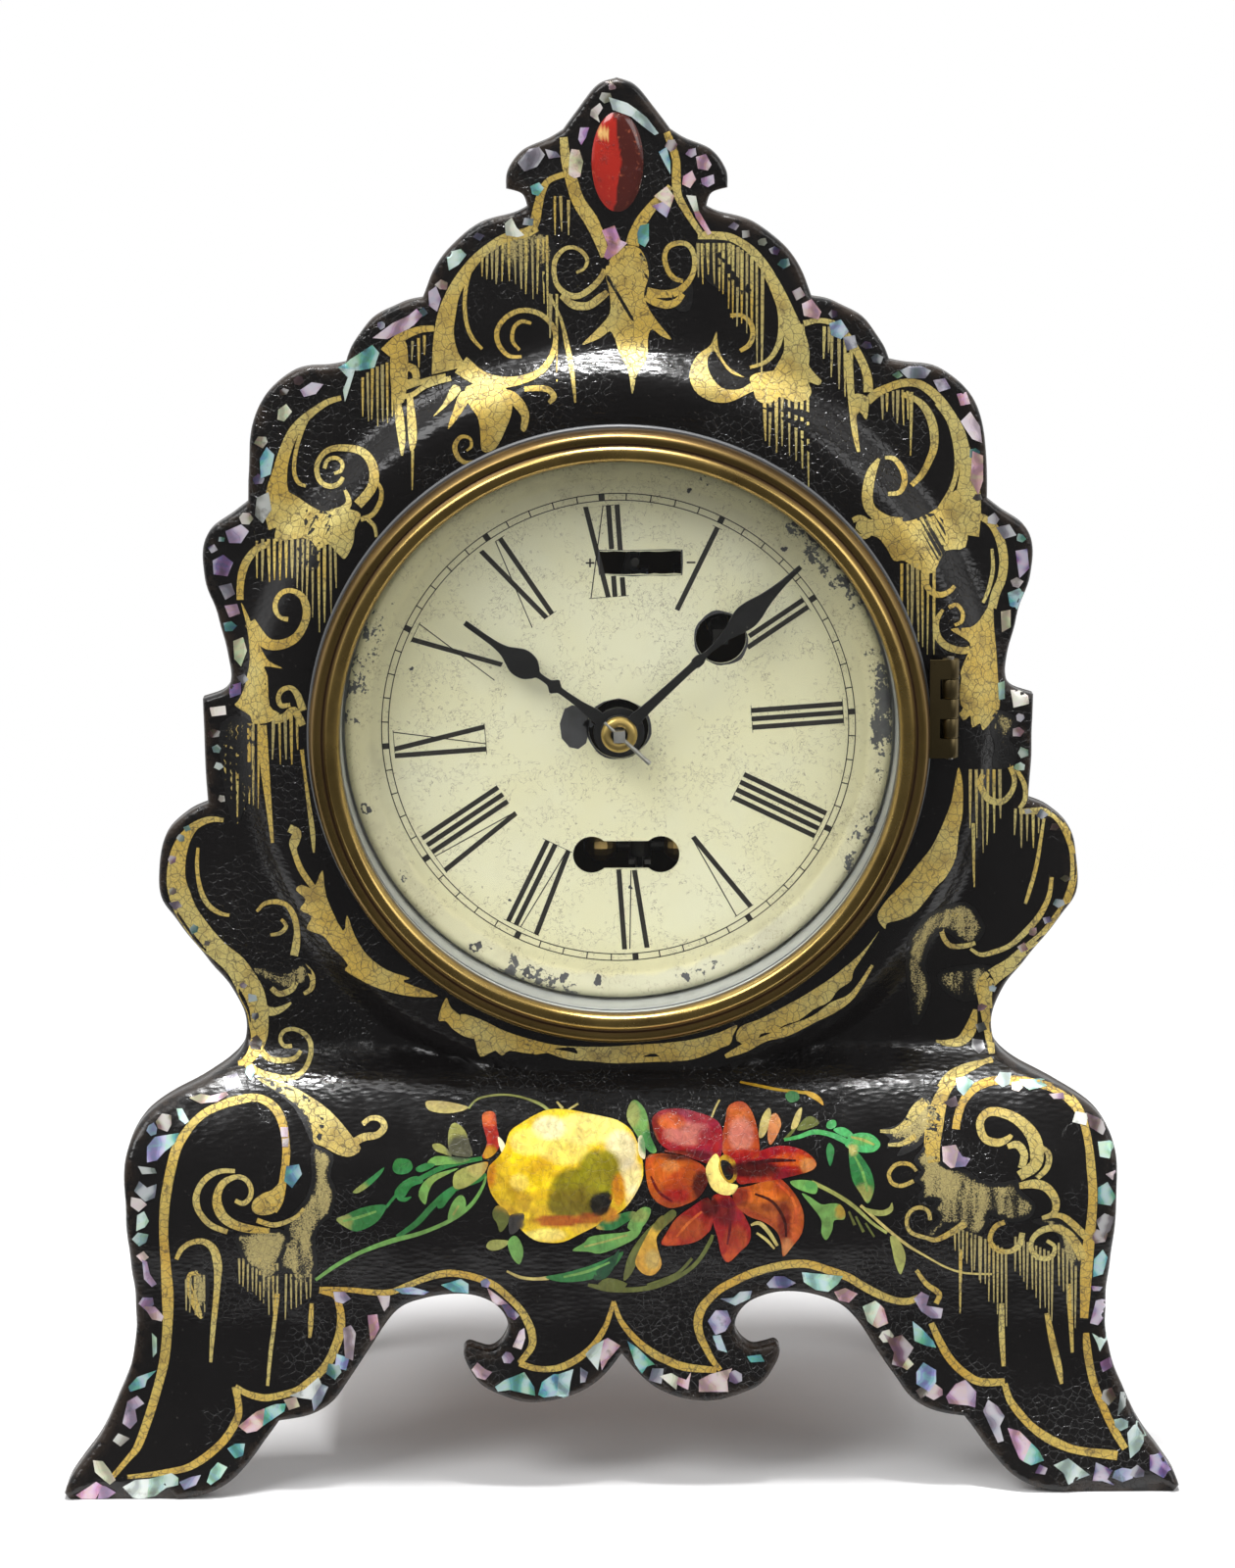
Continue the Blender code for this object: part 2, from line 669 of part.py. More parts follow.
MINUTE_HAND_AHEAD = HOUR_HAND_AHEAD + HAND + HAND_SPACING
COLLET_AHEAD = MINUTE_HAND_AHEAD + HAND + SEAT_GAP
PIN_AHEAD = COLLET_AHEAD + COLLET + SEAT_GAP + TAPER_PIN_RADIUS
ARBOR_AHEAD = PIN_AHEAD + 0.0016
ARBOR_TURNED_RADIUS = 0.00125
PIPE_BORE = ARBOR_TURNED_RADIUS + RUNNING_GAP
PIPE_RADIUS = PIPE_BORE + 0.0009


def build_front():
    """The moulded front: a profile drawn out sideways, a raised round boss and a sawn outline."""
    face = [(0.0, FRONT_TOP_Z)] + [(-forward, z) for z, forward in BASE_PROFILE]
    # The profile runs on below the floor, where the outline saws it off level
    face.append((face[-1][0] - 0.002, -BELOW_FLOOR))
    profile = face + offset_back(face, FRONT_WALL)[::-1]
    half_width = 0.130
    shell = sheet("front_shell", [profile], 0.0, 0.0, -half_width, 2 * half_width)
    # The drawn profile lies in the plane of Y and Z, and its length along X
    shell.rotation_euler = (math.pi / 2, 0.0, math.pi / 2)
    shell.location = (0.0, FRONT_Y, 0.0)
    rise = BOSS_FOOT_RADIUS - BOSS_FLAT_RADIUS
    depth = FRONT_Y + FRONT_WALL / 2
    boss = turned("boss", (
        (0.0, ahead(BOSS_RISE)), (BOSS_FLAT_RADIUS, ahead(BOSS_RISE)),
        (BOSS_FLAT_RADIUS + rise * 0.25, ahead(BOSS_RISE * 0.90)),
        (BOSS_FLAT_RADIUS + rise * 0.5, ahead(BOSS_RISE * 0.52)),
        (BOSS_FLAT_RADIUS + rise * 0.75, ahead(BOSS_RISE * 0.12)),
        (BOSS_FOOT_RADIUS, ahead(-FRONT_WALL * 0.02)), (BOSS_FOOT_RADIUS, depth), (0.0, depth),
    ), 0.0, DIAL_Z, steps=RING_STEPS)
    join(shell, boss)
    saw_front = FRONT_Y - 0.040
    outline = sheet("front_saw", [front_outline()], 0.0, 0.0, saw_front, 0.060)
    combine(shell, outline, "INTERSECT")
    hole_radius = DRUM_OUTER_RADIUS + DRUM_GAP
    hole = turned("dial_hole", (
        (0.0, saw_front), (hole_radius, saw_front), (hole_radius, FRONT_Y + 0.020), (0.0, FRONT_Y + 0.020),
    ), 0.0, DIAL_Z, steps=RING_STEPS)
    hole.rotation_euler.y = math.pi / RING_STEPS
    slot = block(
        "leaf_slot",
        (HINGE_X + BARREL_RADIUS - LEAF - SEAT_GAP, saw_front, knuckle_z(1) - SEAT_GAP),
        (HINGE_X + BARREL_RADIUS + SEAT_GAP, FRONT_Y + 0.020, knuckle_z(KNUCKLES - 1) + SEAT_GAP),
    )
    cut(shell, hole, slot)
    return finish(settle(shell), "black_lacquer")


def knuckle_z(index):
    """Height of the lower edge of a knuckle, counted from the bottom."""
    return HINGE_Z - HINGE_HEIGHT / 2 + index * HINGE_HEIGHT / KNUCKLES


def build_case():
    """The wooden case: a bored front board, four sides, a screwed back and two rear feet."""
    w = CASE_HALF_WIDTH
    front_board = block(
        "case_front_board", (-w, CASE_FRONT_Y, CASE_BOTTOM_Z), (w, CASE_FRONT_Y + BULKHEAD, CASE_TOP_Z)
    )
    bore = front_rod(
        "board_bore", DRUM_OUTER_RADIUS + 0.0010, 0.0, DIAL_Z, CASE_FRONT_Y - 0.01,
        CASE_FRONT_Y + BULKHEAD + 0.01, RING_STEPS,
    )
    leaf_notch = block(
        "leaf_notch",
        (HINGE_X + BARREL_RADIUS - LEAF - SEAT_GAP, CASE_FRONT_Y - 0.01, knuckle_z(1) - SEAT_GAP),
        (HINGE_X + BARREL_RADIUS + SEAT_GAP, CASE_FRONT_Y + BULKHEAD + 0.01, knuckle_z(KNUCKLES - 1) + SEAT_GAP),
    )
    finish(settle(cut(front_board, bore, leaf_notch)), "case_wood")
    y0 = BOARD_FRONT_Y
    y1 = BACK_BOARD_Y - SEAT_GAP
    finish(block("case_top_board", (-w, y0, CASE_TOP_Z - BOARD), (w, y1, CASE_TOP_Z)), "case_wood")
    finish(block("case_bottom_board", (-w, y0, CASE_BOTTOM_Z), (w, y1, CASE_BOTTOM_Z + BOARD)), "case_wood")
    low = CASE_BOTTOM_Z + BOARD + SEAT_GAP
    high = CASE_TOP_Z - BOARD - SEAT_GAP
    screws = back_screw_places()
    for side, word in ((-1, "left"), (1, "right")):
        inner, outer = sorted((side * (w - BOARD), side * w))
        board = block(f"case_side_{word}", (inner, y0, low), (outer, y1, high))
        for x, z in screws:
            if x * side > 0:
                cut(board, front_rod(
                    f"{word}_pilot", BACK_SCREW_RADIUS + SEAT_GAP, x, z, CASE_BACK_Y - BACK_SCREW_LENGTH - 0.002,
                    CASE_BACK_Y + 0.01, 10,
                ))
        finish(settle(board), "case_wood")
    back = block("back_board", (-w, BACK_BOARD_Y, CASE_BOTTOM_Z), (w, CASE_BACK_Y, CASE_TOP_Z))
    for x, z in screws:
        cut(
            back,
            front_rod("shank_hole", BACK_SCREW_RADIUS + SEAT_GAP, x, z, BACK_BOARD_Y - 0.01, CASE_BACK_Y, 10),
            front_rod(
                "head_hole", BACK_SCREW_HEAD_RADIUS + SEAT_GAP, x, z,
                CASE_BACK_Y - BACK_SCREW_HEAD - 2 * SEAT_GAP, CASE_BACK_Y + 0.01, 10,
            ),
        )
    finish(settle(back), "case_wood")
    for number, (x, z) in enumerate(screws, 1):
        build_back_screw(number, x, z)
    for side, word in ((-1, "left"), (1, "right")):
        run = [(side * (w + out), z) for out, z in FOOT_RUN]
        foot = sheet(f"rear_foot_{word}", [run], 0.0, 0.0, CASE_BACK_Y - FOOT_THICKNESS, FOOT_THICKNESS)
        finish(foot, "case_wood")


def back_screw_places():
    """Where the back board's screws go, in X and Z."""
    x = CASE_HALF_WIDTH - BACK_SCREW_INSET
    low = CASE_BOTTOM_Z + BACK_SCREW_RISE
    high = CASE_TOP_Z - BACK_SCREW_RISE
    return [(-x, low), (x, low), (-x, high), (x, high)]


def build_back_screw(number, x, z):
    """One slotted wood screw with its head sunk in the back board."""
    head_front = CASE_BACK_Y - SEAT_GAP - BACK_SCREW_HEAD
    tip = CASE_BACK_Y - BACK_SCREW_LENGTH
    screw = turned(f"back_screw_{number}", (
        (0.0, tip), (BACK_SCREW_RADIUS, tip + 0.0025), (BACK_SCREW_RADIUS, head_front),
        (BACK_SCREW_HEAD_RADIUS, head_front), (BACK_SCREW_HEAD_RADIUS, head_front + BACK_SCREW_HEAD),
        (0.0, head_front + BACK_SCREW_HEAD),
    ), x, z, steps=10)
    reach = BACK_SCREW_HEAD_RADIUS + 0.001
    floor = head_front + BACK_SCREW_HEAD * 0.5
    cut(screw, block("screw_slot", (x - reach, floor, z - SCREW_SLOT / 2),
                     (x + reach, CASE_BACK_Y + 0.001, z + SCREW_SLOT / 2)))
    finish(settle(screw), "iron_screw")


def build_dial():
    """The drum with its flange and lip, and the painted dial plate with its holes."""
    lip_front = DIAL_AHEAD - DIAL_THICKNESS - SEAT_GAP
    lip_back = lip_front - DRUM_WALL
    drum = turned("dial_drum", [(r, ahead(h)) for r, h in (
        (DRUM_RADIUS, FLANGE_FRONT), (FLANGE_RADIUS, FLANGE_FRONT), (FLANGE_RADIUS, FLANGE_FRONT - FLANGE),
        (DRUM_OUTER_RADIUS, FLANGE_FRONT - FLANGE), (DRUM_OUTER_RADIUS, lip_back),
        (DRUM_RADIUS - DRUM_LIP, lip_back), (DRUM_RADIUS - DRUM_LIP, lip_front), (DRUM_RADIUS, lip_front),
    )], 0.0, DIAL_Z, closed=True, steps=RING_STEPS)
    finish(settle(drum), "zinc")
    rim = DIAL_RADIUS - DIAL_FLAT_RADIUS
    front = DIAL_AHEAD
    back = DIAL_AHEAD - DIAL_THICKNESS
    dial = turned("dial_plate", [(r, ahead(h)) for r, h in (
        (0.0, front), (DIAL_FLAT_RADIUS, front), (DIAL_FLAT_RADIUS + rim * 0.40, front + DIAL_RIM_RISE * 0.60),
        (DIAL_FLAT_RADIUS + rim * 0.72, front + DIAL_RIM_RISE), (DIAL_RADIUS, front + DIAL_RIM_RISE * 0.5),
        (DIAL_RADIUS, back), (0.0, back),
    )], 0.0, DIAL_Z, steps=RING_STEPS)
    y0 = ahead(front) - 0.005
    y1 = ahead(back) + 0.005
    centre_hole = front_rod("centre_hole", DIAL_HOLE_RADIUS, 0.0, DIAL_Z, y0, y1, 24)
    winding_hole = front_rod("winding_hole", WINDING_HOLE_RADIUS, *WINDING, y0, y1, 24)
    slot = sheet("dial_slot", [rounded_rectangle(
        SLOT_X - SLOT_WIDTH / 2, SLOT_Z - SLOT_HEIGHT / 2, SLOT_X + SLOT_WIDTH / 2, SLOT_Z + SLOT_HEIGHT / 2,
        SLOT_HEIGHT * 0.15, 2,
    )], 0.0, 0.0, y0, y1 - y0)
    window = front_rod("window_left", WINDOW_RADIUS, WINDOW_X - WINDOW_SPREAD, WINDOW_Z, y0, y1, 20)
    right = front_rod("window_right", WINDOW_RADIUS, WINDOW_X + WINDOW_SPREAD, WINDOW_Z, y0, y1, 20)
    waist = block(
        "window_waist", (WINDOW_X - WINDOW_SPREAD, y0, WINDOW_Z - WINDOW_WAIST / 2),
        (WINDOW_X + WINDOW_SPREAD, y1, WINDOW_Z + WINDOW_WAIST / 2),
    )
    cut(dial, centre_hole, winding_hole, slot, window, right, waist)
    finish(settle(dial), "dial_paint")


def build_bezel():
    """The hinged bezel: brass ring with two beads, its glass and the ring that holds the glass in."""
    pivot = make_pivot("bezel_pivot", (HINGE_X, HINGE_Y, HINGE_Z))
    face = BEZEL_SEAT + BEZEL_LIP
    width = BEZEL_RADIUS - BEZEL_INNER_RADIUS
    inner = BEZEL_INNER_RADIUS
    crest = BEZEL_SEAT + BEZEL_CREST
    ring = turned("bezel_ring", [(r, ahead(h)) for r, h in (
        (inner, face), (inner + width * 0.06, face + (crest - face) * 0.5), (inner + width * 0.22, crest),
        (inner + width * 0.42, crest), (inner + width * 0.58, crest - GROOVE_DEPTH),
        (inner + width * 0.74, crest - GROOVE_DEPTH * 0.5), (inner + width * 0.91, crest - GROOVE_DEPTH * 1.3),
        (BEZEL_RADIUS, BEZEL_SEAT), (BEZEL_RADIUS, BEZEL_BACK), (SEAT_RADIUS, BEZEL_BACK),
        (SEAT_RADIUS, BEZEL_SEAT), (inner, BEZEL_SEAT),
    )], 0.0, DIAL_Z, closed=True, steps=RING_STEPS)
    finish(settle(ring), "bezel_brass", pivot)
    glass = front_rod(
        "bezel_glass", GLASS_RADIUS, 0.0, DIAL_Z, ahead(GLASS_BACK + GLASS), ahead(GLASS_BACK), RING_STEPS
    )
    finish(glass, "glass", pivot)
    retainer = turned("glass_retainer", [(r, ahead(h)) for r, h in (
        (inner + SEAT_GAP, RETAINER_BACK + RETAINER), (GLASS_RADIUS, RETAINER_BACK + RETAINER),
        (GLASS_RADIUS, RETAINER_BACK), (inner + SEAT_GAP, RETAINER_BACK),
    )], 0.0, DIAL_Z, closed=True, steps=RING_STEPS)
    finish(settle(retainer), "zinc", pivot)
    build_hinge(pivot)


def barrel(name):
    """The full barrel of the hinge, before its knuckles are cut free."""
    return rod(name, BARREL_RADIUS, (HINGE_X, HINGE_Y, knuckle_z(0)), (HINGE_X, HINGE_Y, knuckle_z(KNUCKLES)), 16)


def knuckle_notches(first):
    """Boxes that free every other knuckle, from the given one."""
    reach = BARREL_RADIUS + KNUCKLE_GAP
    left = min(LEAF_NOTCH_X, HINGE_X - reach)
    return [
        block(
            f"notch_{index}",
            (left, HINGE_Y - reach, knuckle_z(index) - KNUCKLE_GAP / 2 - (0.01 if index == 0 else 0)),
            (HINGE_X + reach, HINGE_Y + reach,
             knuckle_z(index + 1) + KNUCKLE_GAP / 2 + (0.01 if index == KNUCKLES - 1 else 0)),
        )
        for index in range(first, KNUCKLES, 2)
    ]


def build_hinge(pivot):
    """Two leaves with five knuckles and their pin."""
    bore_radius = HINGE_PIN_RADIUS + SEAT_GAP
    reach = HINGE_HEIGHT
    leaf = barrel("hinge_bezel_leaf")
    plate = block(
        "bezel_leaf_plate", (HINGE_X - 0.012, HINGE_Y - BARREL_RADIUS, knuckle_z(0)),
        (HINGE_X, HINGE_Y - BARREL_RADIUS + LEAF, knuckle_z(KNUCKLES)),
    )
    join(leaf, plate)
    rim = front_rod("bezel_rim", BEZEL_RADIUS + SEAT_GAP, 0.0, DIAL_Z, HINGE_Y - 0.02, HINGE_Y + 0.02, RING_STEPS * 2)
    bore = rod("bezel_leaf_bore", bore_radius, (HINGE_X, HINGE_Y, HINGE_Z - reach), (HINGE_X, HINGE_Y, HINGE_Z + reach), 12)
    cut(leaf, rim, bore, *knuckle_notches(1))
    finish(settle(leaf), "bezel_brass", pivot)
    fixed = barrel("hinge_case_leaf")
    tail = block(
        "case_leaf_plate", (HINGE_X + BARREL_RADIUS - LEAF, HINGE_Y, knuckle_z(1)),
        (HINGE_X + BARREL_RADIUS, FRONT_Y + FRONT_WALL + 0.0015, knuckle_z(KNUCKLES - 1)),
    )
    join(fixed, tail)
    bore = rod("case_leaf_bore", bore_radius, (HINGE_X, HINGE_Y, HINGE_Z - reach), (HINGE_X, HINGE_Y, HINGE_Z + reach), 12)
    cut(fixed, bore, *knuckle_notches(0))
    finish(settle(fixed), "bezel_brass")
    proud = 0.0004
    pin = rod(
        "hinge_pin", HINGE_PIN_RADIUS, (HINGE_X, HINGE_Y, knuckle_z(0) - proud),
        (HINGE_X, HINGE_Y, knuckle_z(KNUCKLES) + proud), 12,
    )
    finish(pin, "steel")


def hand_outline(run, hub_radius, angle):
    """Outline of a hand that points at an angle, clockwise from twelve."""
    right = [(half, distance) for distance, half in run]
    open_angle = math.asin(run[-1][1] / hub_radius)
    arc = []
    arc_steps = 14
    for i in range(arc_steps + 1):
        turn = open_angle + (math.tau - 2 * open_angle) * i / arc_steps
        arc.append((hub_radius * math.sin(turn), hub_radius * math.cos(turn)))
    left = [(-x, z) for x, z in right[::-1]]
    points = right + arc + left
    cos, sin = math.cos(angle), math.sin(angle)
    return [(x * cos + z * sin, z * cos - x * sin) for x, z in points]


def build_hands(minute_pivot, hour_pivot):
    """Hour and minute hand, brass collet and taper pin."""
    hour = sheet(
        "hour_hand",
        [hand_outline(HOUR_HAND_RUN, HOUR_HUB_RADIUS, HOUR_ANGLE), circle(PIPE_RADIUS + SEAT_GAP)],
        0.0, DIAL_Z, ahead(HOUR_HAND_AHEAD + HAND), HAND,
    )
    finish(hour, "hand_black", hour_pivot)
    square = ARBOR_SQUARE / math.sqrt(2) + SEAT_GAP
    minute = sheet(
        "minute_hand",
        [hand_outline(MINUTE_HAND_RUN, MINUTE_HUB_RADIUS, MINUTE_ANGLE), circle(square)],
        0.0, DIAL_Z, ahead(MINUTE_HAND_AHEAD + HAND), HAND,
    )
    finish(minute, "hand_black", minute_pivot)
    collet = turned("hand_collet", [(r, ahead(h)) for r, h in (
        (square, COLLET_AHEAD + COLLET), (COLLET_RADIUS * 0.8, COLLET_AHEAD + COLLET),
        (COLLET_RADIUS, COLLET_AHEAD + COLLET * 0.55), (COLLET_RADIUS, COLLET_AHEAD), (square, COLLET_AHEAD),
    )], 0.0, DIAL_Z, closed=True, steps=16)
    finish(settle(collet), "movement_brass", minute_pivot)
    half_x = TAPER_PIN_LENGTH / 2 * math.cos(TAPER_PIN_TILT)
    half_z = TAPER_PIN_LENGTH / 2 * math.sin(TAPER_PIN_TILT)
    pin_y = ahead(PIN_AHEAD)
    # The thin end is driven through, so more of the pin stands below the arbor
    drop = 0.0022
    off_x = drop * math.cos(TAPER_PIN_TILT)
    off_z = drop * math.sin(TAPER_PIN_TILT)
    pin = rod(
        "hand_taper_pin", TAPER_PIN_RADIUS * 0.6, (off_x - half_x, pin_y, DIAL_Z + off_z - half_z),
        (off_x + half_x, pin_y, DIAL_Z + off_z + half_z), 10, TAPER_PIN_RADIUS,
    )
    finish(pin, "steel", minute_pivot)


def build_plates():
    """Front and back plates of the movement, with their holes, stud and spring post."""
    front_holes = [
        circle(PIPE_RADIUS + RUNNING_GAP, 12, *CENTRE),
        circle(WINDING_RADIUS + RUNNING_GAP, 12, *WINDING),
        circle(PIVOT_RADIUS + RUNNING_GAP, 8, *THIRD),
        circle(PIVOT_RADIUS + RUNNING_GAP, 8, *ESCAPE),
        circle(ARBOR_RADIUS + RUNNING_GAP, 12, *VERGE),
        circle(REGULATOR_STUD_RADIUS + SEAT_GAP, 12, REGULATOR_X, REGULATOR_Z),
    ]
    back_holes = [
        circle(PIVOT_RADIUS + RUNNING_GAP, 8, *point) for point in (CENTRE, THIRD, ESCAPE, VERGE)
    ]
    back_holes.append(circle(WINDING_RADIUS * 0.7 + RUNNING_GAP, 12, *WINDING))
    pillars = [circle(TENON_RADIUS + SEAT_GAP, 12, *point) for point in pillar_places()]
    left = PLATE_LEFT_X + WINDOW_EDGE
    right = PLATE_RIGHT_X - WINDOW_EDGE_RIGHT
    top = PLATE_TOP_Z - UPPER_WINDOW_DROP
    right_low = PLATE_BOTTOM_Z + RIGHT_WINDOW_RISE
    left_low = PLATE_BOTTOM_Z + LOWER_WINDOW_RISE
    windows = [
        rounded_rectangle(left, top - UPPER_WINDOW[1], left + UPPER_WINDOW[0], top, WINDOW_CORNER, 1),
        rounded_rectangle(right - RIGHT_WINDOW[0], right_low, right, right_low + RIGHT_WINDOW[1], WINDOW_CORNER, 1),
        rounded_rectangle(left, left_low, left + LOWER_WINDOW[0], left_low + LOWER_WINDOW[1], WINDOW_CORNER, 1),
    ]
    outline = rounded_rectangle(PLATE_LEFT_X, PLATE_BOTTOM_Z, PLATE_RIGHT_X, PLATE_TOP_Z, PLATE_CORNER)
    front = sheet(
        "front_movement_plate", [outline] + front_holes + pillars + windows, 0.0, 0.0, PLATE_FRONT_Y, PLATE
    )
    stud_end = CENTRE_WHEEL_Y - 0.0005
    join(front, front_rod("minute_stud", 0.0009, *MINUTE_STUD, PLATE_FRONT_Y + PLATE * 0.4, stud_end, 12))
    finish(settle(front), "movement_brass")
    wide = rounded_rectangle(
        PLATE_LEFT_X - LUG, PLATE_BOTTOM_Z, PLATE_RIGHT_X + LUG, PLATE_TOP_Z, PLATE_CORNER
    )
    screws = [circle(BACK_SCREW_RADIUS + SEAT_GAP, 12, x, z) for x, z in movement_screw_places()]
    back = sheet(
        "back_movement_plate", [wide] + back_holes + pillars + windows + screws, 0.0, 0.0, PLATE_BACK_Y, PLATE
    )
    post = about(WINDING, SPRING_END_ANGLE, SPRING_OUTER_RADIUS + SPRING_THICKNESS / 2 + SEAT_GAP + SPRING_POST_RADIUS)
    join(back, front_rod("spring_post", SPRING_POST_RADIUS, *post, SPRING_Y - 0.0003, PLATE_BACK_Y + PLATE * 0.6, 12))
    finish(settle(back), "movement_brass")


def pillar_places():
    """Where the four pillars stand, in X and Z."""
    return [
        (x, z)
        for z in (PLATE_BOTTOM_Z + PILLAR_INSET, PLATE_TOP_Z - PILLAR_INSET)
        for x in (PLATE_LEFT_X + PILLAR_INSET, PLATE_RIGHT_X - PILLAR_INSET)
    ]


def movement_screw_places():
    """Where the movement is screwed to its rails, in X and Z: one screw to a rail."""
    return [
        (PLATE_LEFT_X - LUG / 2, PLATE_BOTTOM_Z + PILLAR_INSET),
        (PLATE_RIGHT_X + LUG / 2, PLATE_TOP_Z - PILLAR_INSET),
    ]


def build_pillars():
    """Four turned pillars that hold the plates apart."""
    y0 = PLATE_FRONT_Y + PLATE + SEAT_GAP
    y1 = PLATE_BACK_Y - SEAT_GAP
    length = y1 - y0
    for number, (x, z) in enumerate(pillar_places(), 1):
        pillar = turned(f"pillar_{number}", (
            (0.0, PLATE_FRONT_Y - TENON_PROUD), (TENON_RADIUS, PLATE_FRONT_Y - TENON_PROUD), (TENON_RADIUS, y0),
            (PILLAR_RADIUS, y0), (PILLAR_RADIUS * 0.8, y0 + length / 2), (PILLAR_RADIUS, y1),
            (TENON_RADIUS, y1), (TENON_RADIUS, PLATE_BACK_Y + PLATE - SEAT_GAP),
            (0.0, PLATE_BACK_Y + PLATE - SEAT_GAP),
        ), x, z, steps=10)
        finish(settle(pillar), "movement_brass")


def build_rails():
    """Two wooden rails between the back plate and the back board, and the movement's screws."""
    y0 = PLATE_BACK_Y + PLATE + SEAT_GAP
    y1 = BACK_BOARD_Y - SEAT_GAP
    left = PLATE_LEFT_X - LUG - RAIL_OVERHANG
    right = PLATE_RIGHT_X + LUG + 0.002
    middle = PILLAR_INSET
    head = 0.0010
    for word, centre_z, (x, z) in zip(
        ("lower", "upper"), (PLATE_BOTTOM_Z + middle, PLATE_TOP_Z - middle), movement_screw_places()
    ):
        rail = block(
            f"movement_rail_{word}", (left, y0, centre_z - RAIL_HEIGHT / 2), (right, y1, centre_z + RAIL_HEIGHT / 2)
        )
        tip = y0 + 0.010
        cut(rail, front_rod(f"{word}_rail_pilot", BACK_SCREW_RADIUS + SEAT_GAP, x, z, y0 - 0.01, tip + 0.001, 12))
        finish(settle(rail), "case_wood")
        head_back = PLATE_BACK_Y - SEAT_GAP
        screw = turned(f"movement_screw_{word}", (
            (0.0, head_back - head), (BACK_SCREW_HEAD_RADIUS, head_back - head), (BACK_SCREW_HEAD_RADIUS, head_back),
            (BACK_SCREW_RADIUS, head_back), (BACK_SCREW_RADIUS, tip - 0.002), (0.0, tip),
        ), x, z, steps=12)
        finish(settle(screw), "iron_screw")


def arbor(name, point, radius, pivot_radius, y_front, y_back):
    """A turned arbor with a thinner pivot at each end."""
    shoulder_front = PLATE_FRONT_Y + PLATE + SEAT_GAP
    shoulder_back = PLATE_BACK_Y - SEAT_GAP
    return turned(name, (
        (0.0, y_front), (pivot_radius, y_front), (pivot_radius, shoulder_front), (radius, shoulder_front),
        (radius, shoulder_back), (pivot_radius, shoulder_back), (pivot_radius, y_back), (0.0, y_back),
    ), *point, steps=12)


def toothed(name, teeth, module, phase, shape, point, y_front, thickness, bore=0.0, windows=()):
    """A toothed wheel about a point, with a bore unless it is 0."""
    outlines = [tooth_outline(teeth, module, phase, shape)]
    if bore:
        outlines.append(circle(bore, 16))
    return sheet(name, outlines + list(windows), *point, y_front, thickness)


